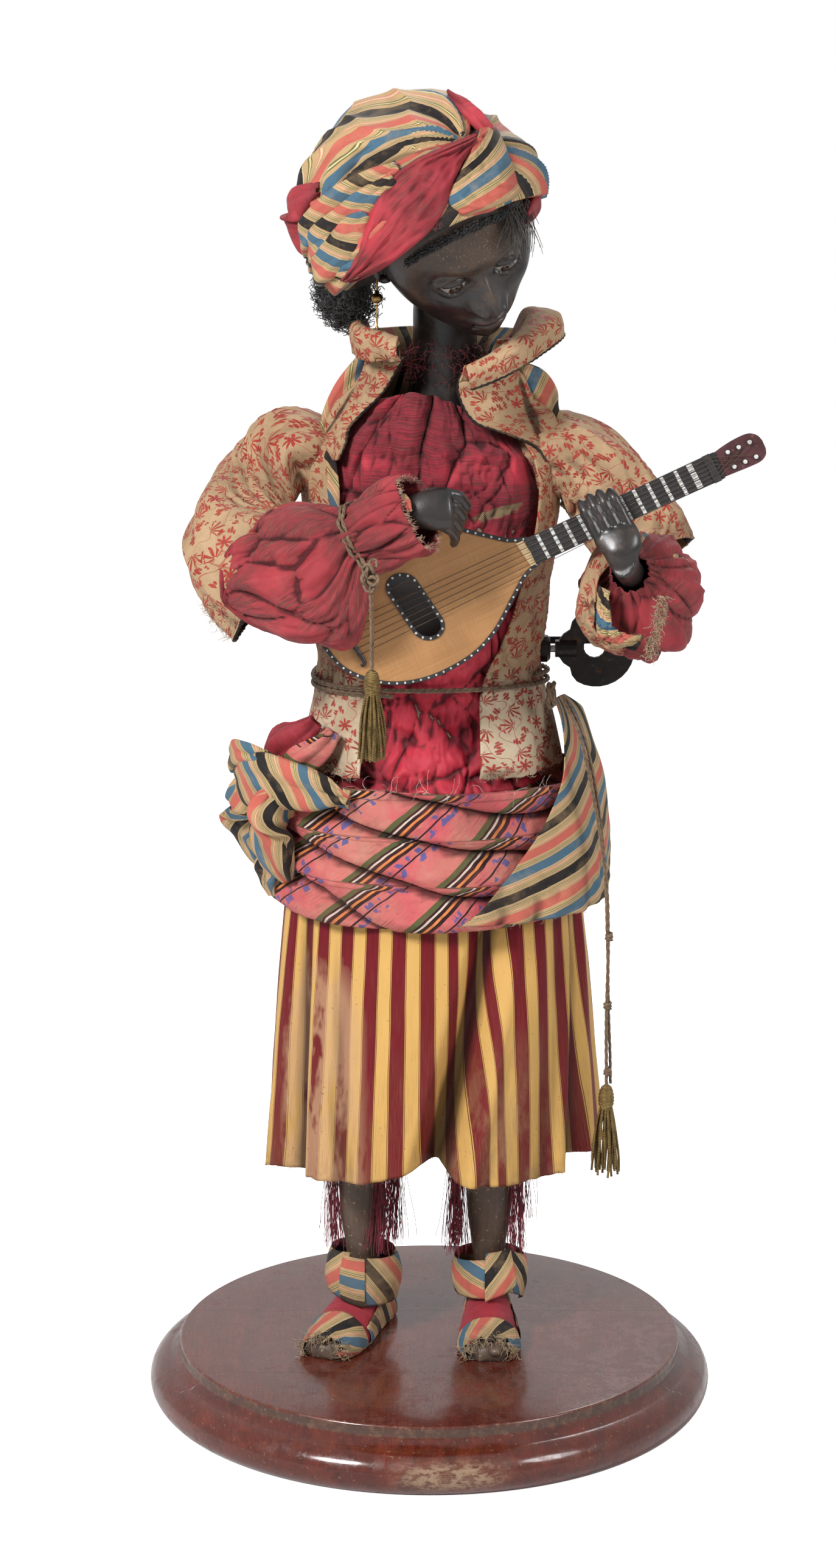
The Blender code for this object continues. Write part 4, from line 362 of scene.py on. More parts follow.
def mahogany():
    made = Finish("mahogany_polish", (0.2, 0.05, 0.03), 0.2, Coat_Weight=0.6, Coat_Roughness=0.12,
                  Specular_IOR_Level=0.4)
    place = made.place()
    x, y, z = made.split(place)
    long_grain = made.noise(made.scaled(place, 24.0, 3.0, 24.0), 3.0, 4.0, 0.62, 0.8)
    streaks = made.noise(made.scaled(place, 420.0, 26.0, 160.0), 2.0, 3.0, 0.6)
    pores = made.cells(made.scaled(place, 900.0, 150.0, 700.0), 1.0).above(0.20, 0.06)
    blotch = made.noise(place, 9.0, 3.0, 0.6)
    on_top = z.above(0.0372, 0.0004)
    rim = made.mix(long_grain.above(0.5, 0.22), (0.060, 0.0080, 0.0045), (0.17, 0.026, 0.010))
    rim = made.mix(streaks.above(0.56, 0.12) * 0.45, rim, (0.030, 0.006, 0.004))
    face = made.mix(long_grain.above(0.5, 0.3), (0.095, 0.018, 0.011), (0.185, 0.036, 0.019))
    face = made.mix(streaks.above(0.52, 0.16) * 0.5, face, (0.050, 0.012, 0.009))
    colour = made.mix(on_top, rim, face)
    colour = made.mix(pores.flipped() * on_top * 0.8, colour, (0.014, 0.006, 0.006))
    colour = made.mix(blotch.above(0.56, 0.1) * 0.3, colour, (0.035, 0.010, 0.007))
    seam = (y + 0.071).size().smallest((y - 0.034).size()).above(0.00028, 0.00012).flipped()
    colour = made.mix(seam * on_top * 0.6, colour, (0.016, 0.006, 0.006))
    radius = made.node("ShaderNodeVectorMath", {0: made.join(x, y)}, "Value", operation="LENGTH")
    step_dirt = z.above(0.0312, 0.0008) * z.above(0.0365, 0.0006).flipped()
    colour = made.mix(step_dirt * 0.75, colour, (0.060, 0.035, 0.022))
    at_edge = (radius - 0.1571).size().above(0.0012, 0.0007).flipped()
    rubbed = made.noise(place, 190.0, 4.0, 0.7).above(0.56, 0.08)
    colour = made.mix(at_edge * rubbed * 0.55, colour, (0.20, 0.10, 0.055))
    low = (z - 0.0135).size().above(0.0068, 0.004).flipped()
    patch = (x - 0.012).size().above(0.026, 0.012).flipped()
    patch = patch * y.above(-0.150, 0.01).math("SUBTRACT", 1.0).size()
    scuff = made.noise(made.scaled(place, 1.0, 1.0, 2.0), 150.0, 5.0, 0.72).above(0.50, 0.05)
    rows = made.noise(made.scaled(place, 60.0, 60.0, 900.0), 2.0, 2.0, 0.6).above(0.47, 0.1)
    scuff = (scuff * 0.8 + rows * 0.35) * low * patch
    colour = made.mix(scuff.smallest(0.8), colour, (0.36, 0.24, 0.15))
    dust = made.noise(place, 70.0, 5.0, 0.75).above(0.58, 0.1)
    nicks = made.noise(place, 520.0, 2.0, 0.5).above(0.70, 0.03)
    colour = made.mix(dust * on_top * 0.10, colour, (0.24, 0.16, 0.13))
    colour = made.mix(nicks * 0.5, colour, (0.33, 0.22, 0.15))
    made.set("Base Color", colour)
    wear = dust.largest(scuff).largest(step_dirt)
    made.set("Roughness", made.blend(wear, made.blend(on_top, 0.16, 0.2), 0.62))
    made.raise_by(pores * on_top, 0.00008)
    made.raise_by(seam * -1.0, 0.0002)
    made.raise_by(made.noise(place, 45.0, 2.0, 0.5), 0.0004)
    return made.done()


BASE_HEIGHT, BASE_RADIUS, BASE_TOP_RADIUS, BASE_ROLL = 0.038, 0.1764, 0.1574, 0.0145
roll_x, roll_z = BASE_RADIUS - BASE_ROLL - 0.0015, BASE_ROLL - 0.0022
base_profile = [(0.0, BASE_HEIGHT), (0.05, BASE_HEIGHT), (0.12, BASE_HEIGHT)]
for step in range(7):
    turn = math.radians(90 - 90 * step / 6)
    base_profile.append((BASE_TOP_RADIUS - 0.0018 + 0.0018 * math.cos(turn),
                         BASE_HEIGHT - 0.0018 + 0.0018 * math.sin(turn)))
base_profile += [(BASE_TOP_RADIUS, BASE_HEIGHT - 0.0058), (BASE_TOP_RADIUS + 0.0004, BASE_HEIGHT - 0.0070),
                 (BASE_TOP_RADIUS + 0.0020, BASE_HEIGHT - 0.0079)]
roll_end = math.asin(-roll_z / BASE_ROLL)
for step in range(25):
    turn = math.radians(80) + (roll_end - math.radians(80)) * step / 24
    base_profile.append((roll_x + (BASE_ROLL + 0.0015) * math.cos(turn), roll_z + BASE_ROLL * math.sin(turn)))
base_profile[-1] = (base_profile[-1][0], 0.0)
base_profile += [(0.1, 0.0), (0.0, 0.0)]
plinth = lathe("plinth_polished", base_profile, 160, mahogany())
set_on(plinth, "root", "base_plinth")

# Legs and feet: carved wood under thin brown paint that is rubbed and crazed. Each stands on a
# bolt through the base. The calf shows below the trousers, and the foot is inside its sandal.


def leg_paint():
    made = Finish("leg_paint", (0.13, 0.08, 0.055), 0.42, Specular_IOR_Level=0.4)
    place = made.place()
    soft = made.noise(place, 38.0, 4.0, 0.6)
    long = made.noise(made.scaled(place, 260.0, 260.0, 18.0), 1.0, 3.0, 0.6)
    colour = made.mix(soft.above(0.5, 0.2), (0.060, 0.038, 0.028), (0.135, 0.092, 0.068))
    colour = made.mix(long.above(0.55, 0.12) * 0.5, colour, (0.17, 0.11, 0.075))
    bare = made.noise(place, 420.0, 3.0, 0.6).above(0.66, 0.03)
    colour = made.mix(bare * 0.75, colour, (0.46, 0.32, 0.20))
    made.set("Base Color", colour)
    made.set("Roughness", made.blend(soft, 0.30, 0.58))
    made.raise_by(long, 0.0003)
    made.raise_by(bare * -1.0, 0.0001)
    return made.done()


def smooth_line(points, count):
    """Points at even steps along a smooth curve through some points of any length."""
    knots = np.asarray([tuple(point) for point in points], float)
    ends = np.vstack([2 * knots[0] - knots[1], knots, 2 * knots[-1] - knots[-2]])
    whole = np.linspace(0.0, len(knots) - 1.0, count)
    index = np.minimum(whole.astype(int), len(knots) - 2)
    part = (whole - index)[:, None]
    a, b, c, d = (ends[index + shift] for shift in range(4))
    return 0.5 * (2 * b + (c - a) * part + (2 * a - 5 * b + 4 * c - d) * part ** 2
                  + (3 * b - a - 3 * c + d) * part ** 3)


def limb_rows(stations, count, sides, across):
    """Rings round a smooth line of stations (x, y, z, half width, half depth)."""
    line = smooth_line(stations, count)
    centres = line[:, :3]
    along = np.gradient(centres, axis=0)
    along /= np.linalg.norm(along, axis=1)[:, None]
    side = np.asarray(across, float) - (along @ np.asarray(across, float))[:, None] * along
    side /= np.linalg.norm(side, axis=1)[:, None]
    over = np.cross(along, side)
    turn = np.linspace(0.0, 2 * math.pi, sides, endpoint=False)
    return (centres[:, None] + side[:, None] * (line[:, 3, None, None] * np.cos(turn)[None, :, None])
            + over[:, None] * (line[:, 4, None, None] * np.sin(turn)[None, :, None]))


def closed_limb(name, rows, look):
    """A closed mesh over rings, with a rounded cap of one more point at each end."""
    count, sides = rows.shape[:2]
    points = list(rows.reshape(-1, 3)) + [rows[0].mean(0), rows[-1].mean(0)]
    faces = grid_faces(count, sides, True)
    last = (count - 1) * sides
    for step in range(sides):
        after = (step + 1) % sides
        faces += [(after, step, count * sides), (last + step, last + after, count * sides + 1)]
    return mesh_piece(name, points, faces, look, closed_up=True)


ANKLES = {"right": (Vector((-0.043, 0.008, 0.0)), -0.39), "left": (Vector((0.037, 0.008, 0.0)), 0.0)}
SOLE_Z = BASE_HEIGHT + 0.0003
FOOT_LENGTH, FOOT_HEEL = 0.092, 0.030
FOOT_PROFILE = ((0.0, 0.0065, 0.012), (0.06, 0.0115, 0.022), (0.22, 0.0130, 0.030), (0.42, 0.0140, 0.031),
                (0.62, 0.0170, 0.022), (0.82, 0.0170, 0.015), (0.95, 0.0125, 0.011), (1.0, 0.0065, 0.008))
LEG_SIZES = ((0.0505, 0.0100), (0.074, 0.0092), (0.092, 0.0105), (0.118, 0.0140), (0.160, 0.0150),
             (0.200, 0.0140), (0.260, 0.0150), (0.3447, 0.0150))
leg_look = leg_paint()


def foot_size(part, grow):
    places = [row[0] for row in FOOT_PROFILE]
    half = np.interp(part, places, [row[1] for row in FOOT_PROFILE]) + grow
    height = np.interp(part, places, [row[2] for row in FOOT_PROFILE]) + grow
    return half, height


def foot_point(side, part, arc, grow):
    """A point on the foot: part runs from heel to toe, and arc from one side of the sole to the other."""
    ankle, turn = ANKLES[side]
    heading = Vector((math.sin(turn), -math.cos(turn), 0.0))
    across = Vector((math.cos(turn), math.sin(turn), 0.0))
    half, height = foot_size(part, grow)
    centre = ankle + heading * (part * (FOOT_LENGTH + 2 * grow) - FOOT_HEEL - grow)
    low = SOLE_Z + 0.003
    if arc < 0.0:
        rise = low + arc * 0.003
        return centre + across * half * (1.0 + arc * 0.1) + Vector((0, 0, rise))
    if arc > 1.0:
        rise = low - (arc - 1.0) * 0.003
        return centre - across * half * (1.1 - arc * 0.1) + Vector((0, 0, rise))
    angle = math.pi * arc
    return centre + across * half * math.cos(angle) + Vector((0, 0, low + (height - 0.003) * math.sin(angle)))


for side, (ankle, turn) in ANKLES.items():
    top = LEG_SIZES[-1][0]
    stations = [(ankle.x + 0.002 * z / top, ankle.y + 0.004 * z / top, z, half, half * 1.12)
                for z, half in LEG_SIZES]
    leg = closed_limb(f"leg_{side}_painted", limb_rows(stations, 70, 40, (1, 0, 0)), leg_look)
    toes = []
    for part in np.concatenate([np.linspace(0.0, 0.9, 28), np.linspace(0.92, 1.0, 8)]):
        toes.append([foot_point(side, part, arc, 0.0) for arc in np.linspace(-1.0, 2.0, 33)])
    foot_rows = np.array([[tuple(point) for point in row] for row in toes])
    foot = closed_limb(f"foot_{side}_painted", foot_rows, leg_look)
    for piece in (leg, foot):
        set_on(piece, "root")
    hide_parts(f"leg_{side}")
toe_at = ANKLES["left"][0] + Vector((0.0035, -FOOT_LENGTH + FOOT_HEEL + 0.0040, SOLE_Z + 0.0068))
toe_rows = []
for step in range(13):
    rise = math.pi * step / 12
    half = 0.0052 * math.sin(rise) + 0.00001
    toe_rows.append([
        tuple(toe_at + Vector((half * math.cos(t), 0.0085 * math.cos(rise), half * 0.85 * math.sin(t))))
        for t in np.linspace(0, 2 * math.pi, 20, endpoint=False)])
toe = closed_limb("big_toe_left", np.array(toe_rows), leg_look)
set_on(toe, "root")

# Sandals: bands of striped taffeta folded round the ankle and the toes over a crimson silk instep.
# Their raw edges have frayed into a tangle of loose threads at the toes.


def weave_bump(made, u, v, pitch, distance):
    """Plain weave: threads that cross, over and under each other."""
    warp = (u * (2 * math.pi / pitch)).sine()
    weft = (v * (2 * math.pi / pitch)).sine()
    made.raise_by(warp * weft, distance)


TAN, CREAM, OLIVE, INK = (0.56, 0.37, 0.185), (0.76, 0.60, 0.34), (0.14, 0.15, 0.045), (0.010, 0.010, 0.012)
CORAL, SLATE, ROSE = (0.62, 0.140, 0.105), (0.070, 0.160, 0.235), (0.66, 0.24, 0.18)
PIN_GROUP = [(1.6, TAN), (0.4, OLIVE), (0.45, CREAM), (0.4, OLIVE), (1.5, TAN), (0.35, ROSE), (0.45, CREAM),
             (0.35, ROSE), (1.2, TAN)]
SILK_BANDS = [(6.6, INK), (0.25, CREAM), *PIN_GROUP, (6.2, CORAL), (0.25, CREAM), *PIN_GROUP[:5],
              (6.4, SLATE), (0.25, CREAM), *PIN_GROUP[::-1]]
SILK_REPEAT = sum(width for width, colour in SILK_BANDS) / 1000.0


def striped_silk(name, dirt=0.35):
    made = Finish(name, (0.5, 0.4, 0.3), 0.5, Sheen_Weight=0.03, Sheen_Roughness=0.4,
                  Specular_IOR_Level=0.18)
    u, v, _ = made.split(made.cloth())
    place = made.place()
    drift = (made.noise(place, 55.0, 2.0, 0.5) - 0.5) * 0.0012
    colour = made.stripes(u + drift, SILK_REPEAT, SILK_BANDS)
    fade = made.noise(place, 48.0, 4.0, 0.65)
    colour = made.mix(fade.above(0.62, 0.09) * 0.26, colour, (0.62, 0.42, 0.22))
    soil = made.noise(place, 21.0, 5.0, 0.7)
    colour = made.mix(soil.above(0.56, 0.14) * dirt, colour, (0.15, 0.10, 0.06))
    ribs = made.noise(made.scaled(made.cloth(), 350.0, 5200.0), 1.0, 2.0, 0.6)
    colour = made.mix(ribs.above(0.55, 0.15) * 0.12, colour, (0.10, 0.06, 0.04))
    specks = made.noise(place, 900.0, 2.0, 0.5).above(0.73, 0.02)
    colour = made.mix(specks * 0.6, colour, (0.06, 0.04, 0.03))
    made.set("Base Color", made.fold_shaded(colour))
    made.set("Roughness", made.blend(fade, 0.36, 0.62))
    weave_bump(made, u, v, 0.0005, 0.00006)
    made.raise_by(made.noise(place, 150.0, 4.0, 0.6), 0.0005)
    return made.done()


def red_silk(name, faded=0.4):
    made = Finish(name, (0.4, 0.03, 0.06), 0.45, Sheen_Weight=0.05, Sheen_Roughness=0.35,
                  Specular_IOR_Level=0.26)
    u, v, _ = made.split(made.cloth())
    place = made.place()
    large = made.noise(place, 24.0, 4.0, 0.6)
    colour = made.mix(large.above(0.5, 0.2), (0.30, 0.015, 0.034), (0.55, 0.042, 0.066))
    split = made.noise(made.scaled(made.cloth(), 42.0, 1500.0), 1.0, 3.0, 0.62, 0.3)
    bald = made.noise(place, 34.0, 3.0, 0.55).above(0.47, 0.09)
    threads = split.above(0.50, 0.05) * bald
    colour = made.mix(threads * faded * 1.6, colour, (0.105, 0.020, 0.026))
    brown = split.above(0.60, 0.03) * bald
    colour = made.mix(brown * faded, colour, (0.28, 0.135, 0.085))
    pale = made.noise(place, 62.0, 3.0, 0.6).above(0.62, 0.08)
    colour = made.mix(pale * 0.25, colour, (0.62, 0.09, 0.11))
    colour = made.mix(faded * 0.32, colour, (0.270, 0.080, 0.062))
    made.set("Base Color", made.fold_shaded(colour, (0.020, 0.002, 0.004)))
    made.set("Roughness", made.blend(threads, made.blend(large, 0.32, 0.5), 0.75))
    made.raise_by(split * bald, 0.0004)
    weave_bump(made, u, v, 0.00045, 0.00005)
    made.raise_by(made.noise(place, 120.0, 3.0, 0.6), 0.0003)
    return made.done()


def crease_depths(rows, around, reach=0.0032):
    """How far each point of a grid lies down in a fold of the cloth, in millimetres."""
    level = rows.copy()
    for axis in (0, 1):
        step = np.linalg.norm(np.diff(rows, axis=axis), axis=2).mean()
        for _ in range(min(60, int(2 * (reach / step) ** 2) + 1)):
            wide = np.pad(level, [(1, 1) if axis == each else (0, 0) for each in range(3)],
                          mode="wrap" if around and axis else "edge")
            before, after = (wide[:-2], wide[2:]) if axis == 0 else (wide[:, :-2], wide[:, 2:])
            level = 0.5 * level + 0.25 * (before + after)
    if around:
        rows = np.concatenate([rows[:, -1:], rows, rows[:, :1]], axis=1)
    facing = np.cross(np.gradient(rows, axis=1), np.gradient(rows, axis=0))
    if around:
        rows, facing = rows[:, 1:-1], facing[:, 1:-1]
    behind = rows.reshape(-1, 3).mean(0) + np.array([0.0, 0.03, 0.0])
    if (facing * (rows - behind)).sum() < 0.0:
        facing = -facing
    facing /= np.maximum(np.linalg.norm(facing, axis=2, keepdims=True), 1e-12)
    return ((level - rows) * facing).sum(2) * 1000.0


def sheet_piece(name, rows, coords, looks, wall=0.0007, around=False):
    """Cloth over a grid of points, with a wall that has its own lining where two looks are given."""
    rows = np.asarray(rows, float)
    creases = crease_depths(rows, around) + 0.4 * crease_depths(rows, around, 0.0075)
    if around:
        rows = np.concatenate([rows, rows[:, :1]], axis=1)
        creases = np.concatenate([creases, creases[:, :1]], axis=1)
    made = mesh_piece(name, rows.reshape(-1, 3), grid_faces(*rows.shape[:2]), looks,
                      coords=np.asarray(coords, float).reshape(-1, 2))
    # The depth of each point in its fold, which the cloth finishes darken as painted shade.
    layer = made.data.attributes.new("crease", "FLOAT", "POINT")
    layer.data.foreach_set("value", creases.ravel().astype(np.float32))
    if around:
        cage = bmesh.new()
        cage.from_mesh(made.data)
        bmesh.ops.remove_doubles(cage, verts=cage.verts, dist=0.000002)
        cage.to_mesh(made.data)
        cage.free()
    skin = made.modifiers.new("wall", "SOLIDIFY")
    skin.thickness = wall
    skin.offset = 0.0
    if isinstance(looks, (list, tuple)) and len(looks) > 1:
        skin.material_offset = 1
        skin.material_offset_rim = 0
    return made


def arc_coords(rows, turn=0.0, shift=(0.0, 0.0), around=False):
    """Cloth coordinates in metres from the grid's own lengths, turned by an angle."""
    rows = np.asarray(rows, float)
    if around:
        rows = np.concatenate([rows, rows[:, :1]], axis=1)
    middle = rows[len(rows) // 2]
    wide = np.concatenate([[0.0], np.cumsum(np.linalg.norm(np.diff(middle, axis=0), axis=1))])
    column = rows[:, rows.shape[1] // 2]
    tall = np.concatenate([[0.0], np.cumsum(np.linalg.norm(np.diff(column, axis=0), axis=1))])
    u, v = np.meshgrid(wide, tall)
    c, s = math.cos(turn), math.sin(turn)
    return np.stack([u * c - v * s + shift[0], u * s + v * c + shift[1]], axis=-1)


def flat_size(rows):
    """Width and length of the flat cut of a grid of points, with the grid's own area."""
    rows = np.asarray(rows, float)
    across = np.linalg.norm(np.diff(rows, axis=1), axis=2)
    down = np.linalg.norm(np.diff(rows, axis=0), axis=2)
    area = (across[:-1] * (down[:, :-1] + down[:, 1:]) / 2).sum()
    wide = max(across.sum(axis=1).mean(), 0.0105)
    return wide, max(area / wide, 0.0105)


ankle_silk = striped_silk("sandal_silk", 0.5)
instep_silk = red_silk("instep_silk", 0.25)


def over_foot(side, low, high, arcs, grow, ragged, seed):
    """A sheet over the foot between two places along it, with an uneven front edge."""
    rows = []
    for part in np.linspace(0.0, 1.0, 26):
        row = []
        for arc in np.linspace(*arcs, 44):
            edge = high + ragged * noise.noise(Vector((arc * 9.0, seed, 0.0))) * part
            at = low + (edge - low) * part
            pucker = 0.0005 * noise.noise(Vector((arc * 7.0, at * 16.0, seed + 3.0)))
            row.append(tuple(foot_point(side, min(at, 0.995), arc, grow + pucker)))
        rows.append(row)
    return rows


# Each ankle panel: bearings of its two sides in degrees from the front, heights of its lower and upper
# corners on each side, how far it stands out, and how its stripes are turned.
ANKLE_PANELS = {
    "right": ((-100, -2, 0.0700, 0.0900, 0.0640, 0.0930, 0.0000, 58, 0.010),
              (-14, 26, 0.0640, 0.0915, 0.0600, 0.0900, 0.0012, 88, 0.004),
              (16, 112, 0.0610, 0.0905, 0.0600, 0.0880, 0.0006, -42, 0.020),
              (100, 270, 0.0640, 0.0890, 0.0680, 0.0905, 0.0000, 75, 0.030)),
    "left": ((-104, 2, 0.0640, 0.0840, 0.0660, 0.0900, 0.0002, -66, 0.036),
             (-8, 40, 0.0640, 0.0930, 0.0720, 0.0950, 0.0012, 48, 0.012),
             (30, 108, 0.0690, 0.0950, 0.0560, 0.0820, 0.0004, -38, 0.021),
             (98, 262, 0.0640, 0.0860, 0.0650, 0.0860, 0.0000, 80, 0.026)),
}


def ankle_panel(side, index, panel):
    start, end, low_a, high_a, low_b, high_b, proud, slant, shift = panel
    ankle, turn = ANKLES[side]
    rows = []
    for rise in np.linspace(0.0, 1.0, 18):
        row = []
        for part in np.linspace(0.0, 1.0, 40):
            bearing = math.radians(start + (end - start) * part) + turn
            low, high = low_a + (low_b - low_a) * part, high_a + (high_b - high_a) * part
            z = low + (high - low) * rise
            bulge = 0.0165 + 0.0068 * math.sin(math.pi * min(max((z - 0.052) / 0.046, 0.0), 1.0))
            crease = 0.0005 * noise.noise(Vector((bearing * 5.0, z * 160.0, index * 7.0 + turn)))
            reach = bulge + proud + crease + 0.0006 * part
            row.append((ankle.x + 0.001 + reach * math.sin(bearing),
                        ankle.y + 0.001 - (reach + 0.0010) * math.cos(bearing) - (0.088 - z) * 0.2, z))
        rows.append(row)
    coords = arc_coords(rows, math.radians(slant), (shift, 0.0))
    band = sheet_piece(f"ankle_band_{side}_{index}", rows, coords, [ankle_silk], 0.0005)
    set_on(band, "root")


def frayed_threads(name, starts, seed, length, radius, look, sag=0.5, curl=0.35, steps=9):
    """Loose threads as thin three-sided tubes. starts holds (point, direction) pairs."""
    spin = random.Random(seed)
    points, faces, coords = [], [], []
    for point, direction in starts:
        at, heading = Vector(point), Vector(direction).normalized()
        long = length * spin.uniform(0.35, 1.15)
        base = len(points)
        wander = Vector((spin.uniform(-1, 1), spin.uniform(-1, 1), spin.uniform(-1, 1)))
        for step in range(steps):
            wander = (wander + Vector([spin.uniform(-0.8, 0.8) for _ in range(3)])).normalized()
            heading = (heading + wander * curl + Vector((0, 0, -sag * step / steps * 0.5))).normalized()
            side = heading.cross(Vector((0.3, 0.2, 1.0))).normalized()
            over = heading.cross(side)
            thin = radius * (1.0 - 0.6 * step / steps)
            for corner in range(3):
                turn = 2 * math.pi * corner / 3
                points.append(at + side * thin * math.cos(turn) + over * thin * math.sin(turn))
                coords.append((corner * radius, step * long / steps))
            at = at + heading * (long / steps)
        for step in range(steps - 1):
            for corner in range(3):
                after = (corner + 1) % 3
                low = base + step * 3
                faces.append((low + corner, low + after, low + 3 + after, low + 3 + corner))
        faces += [(base + 2, base + 1, base), tuple(base + (steps - 1) * 3 + k for k in range(3))]
    return mesh_piece(name, points, faces, look, coords=coords)


def thread_look(name, light, dark):
    made = Finish(name, light, 0.7, Sheen_Weight=0.2)
    made.set("Base Color", made.mix(made.noise(made.place(), 260.0, 2.0).above(0.5, 0.15), dark, light))
    return made.done()


tan_thread = thread_look("tan_threads", (0.50, 0.36, 0.22), (0.25, 0.17, 0.10))
for side in ("right", "left"):
    pieces = []
    instep = over_foot(side, 0.30, 0.80, (-0.6, 1.6), 0.0016, 0.0, 1.0)
    pieces.append((sheet_piece(f"instep_{side}", instep, arc_coords(instep), [instep_silk], 0.0005),
                   "red_silk", instep))
    band_low, band_high = (0.70, 0.955) if side == "right" else (0.74, 0.93)
    toe = over_foot(side, band_low, band_high, (-0.9, 1.9), 0.0027, 0.10, 5.0)
    pieces.append((sheet_piece(f"toe_band_{side}", toe, arc_coords(toe, 0.5, (0.019, 0)), [ankle_silk],
                               0.0006),
                   "striped_silk", toe))
    heel = over_foot(side, 0.02, 0.42, (-0.9, 1.9), 0.0022, 0.0, 8.0)
    pieces.append((sheet_piece(f"heel_cup_{side}", heel, arc_coords(heel, 1.2, (0.03, 0)), [ankle_silk],
                               0.0006),
                   "striped_silk", heel))
    strap = over_foot(side, 0.40, 0.66, (-0.95, 0.16), 0.0028, 0.04, 9.0)
    pieces.append((sheet_piece(f"side_strap_{side}", strap, arc_coords(strap, 0.9, (0.004, 0)), [ankle_silk],
                               0.0005),
                   "striped_silk", strap))
    for piece, look_slot, rows in pieces:
        set_on(piece, "root")
    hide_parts(f"sandal_{side}")
    spin = random.Random(11 if side == "right" else 12)
    starts = []
    for _ in range(150):
        arc = spin.uniform(0.0, 1.0)
        at = foot_point(side, spin.uniform(0.90, 0.975), arc, 0.0030)
        heading = Vector((math.sin(ANKLES[side][1]), -math.cos(ANKLES[side][1]), -0.6))
        starts.append((at, heading + Vector((spin.uniform(-1, 1), 0, spin.uniform(-0.6, 0.5))) * 0.9))
    fray = frayed_threads(f"toe_fray_{side}", starts, 21, 0.0105, 0.00022, tan_thread, 0.9, 0.55, 10)
    low_z = SOLE_Z + 0.0004
    for vertex in fray.data.vertices:
        vertex.co.z = max(vertex.co.z, low_z + 0.0002 * (vertex.index % 3))
    set_on(fray, "root")
    for index, panel in enumerate(ANKLE_PANELS[side]):
        ankle_panel(side, index, panel)

# Floss: loose skeins of red silk hang inside the trousers down both sides of each shin,
# where the silk of the stockings has fallen into threads.
SKEINS = (  # top (x, y), foot (x, y), lowest z, strands
    ((-0.0610, 0.006), (-0.0600, 0.006), 0.0900, 80), ((-0.0330, -0.004), (-0.0300, -0.004), 0.0890, 90),
    ((-0.0210, 0.010), (-0.0230, 0.008), 0.0930, 90), ((0.0170, 0.002), (0.0160, 0.002), 0.0880, 90),
    ((0.0190, 0.014), (0.0200, 0.012), 0.0870, 50), ((0.0560, 0.000), (0.0540, 0.002), 0.0860, 80),
    ((0.0600, 0.012), (0.0590, 0.012), 0.1000, 40),
)


def floss_tree():
    """A tree that puts a thin round thread along each edge chain of a mesh."""
    tree = bpy.data.node_groups.new("floss", "GeometryNodeTree")
    face = tree.interface
    face.new_socket("Geometry", in_out="INPUT", socket_type="NodeSocketGeometry")
    thickness = face.new_socket("Thickness", in_out="INPUT", socket_type="NodeSocketFloat")
    sides = face.new_socket("Sides", in_out="INPUT", socket_type="NodeSocketInt")
    look = face.new_socket("Finish", in_out="INPUT", socket_type="NodeSocketMaterial")
    face.new_socket("Geometry", in_out="OUTPUT", socket_type="NodeSocketGeometry")
    nodes, link = tree.nodes, tree.links.new
    start, end = nodes.new("NodeGroupInput"), nodes.new("NodeGroupOutput")
    curves, circle = nodes.new("GeometryNodeMeshToCurve"), nodes.new("GeometryNodeCurvePrimitiveCircle")
    sweep, real = nodes.new("GeometryNodeCurveToMesh"), nodes.new("GeometryNodeRealizeInstances")
    paint, smooth = nodes.new("GeometryNodeSetMaterial"), nodes.new("GeometryNodeSetShadeSmooth")
    link(start.outputs["Geometry"], curves.inputs[0])
    link(start.outputs["Thickness"], circle.inputs["Radius"])
    link(start.outputs["Sides"], circle.inputs["Resolution"])
    link(curves.outputs[0], sweep.inputs["Curve"])
    link(circle.outputs[0], sweep.inputs["Profile Curve"])
    sweep.inputs["Fill Caps"].default_value = True
    link(sweep.outputs[0], smooth.inputs[0])
    link(smooth.outputs[0], real.inputs[0])
    link(real.outputs[0], paint.inputs[0])
    link(start.outputs["Finish"], paint.inputs["Material"])
    link(paint.outputs[0], end.inputs[0])
    return tree, {"thickness": thickness.identifier, "sides": sides.identifier, "finish": look.identifier}


FLOSS_TREE, FLOSS_INPUTS = floss_tree()


def threads_piece(name, chains, thickness, sides, look):
    """Each chain of points becomes one thread. The result is a plain mesh."""
    points, edges = [], []
    for chain in chains:
        base = len(points)
        points += [tuple(point) for point in chain]
        edges += [(base + step, base + step + 1) for step in range(len(chain) - 1)]
    mesh = bpy.data.meshes.new(name)
    mesh.from_pydata(points, edges, [])
    made = bpy.data.objects.new(name, mesh)
    scene.collection.objects.link(made)
    step = made.modifiers.new("threads", "NODES")
    step.node_group = FLOSS_TREE
    step[FLOSS_INPUTS["thickness"]] = thickness
    step[FLOSS_INPUTS["sides"]] = sides
    step[FLOSS_INPUTS["finish"]] = look
    bpy.context.view_layer.update()
    graph = bpy.context.evaluated_depsgraph_get()
    plain = bpy.data.meshes.new_from_object(made.evaluated_get(graph))
    made.modifiers.clear()
    made.data = plain
    if not plain.materials:
        plain.materials.append(look)
    return made


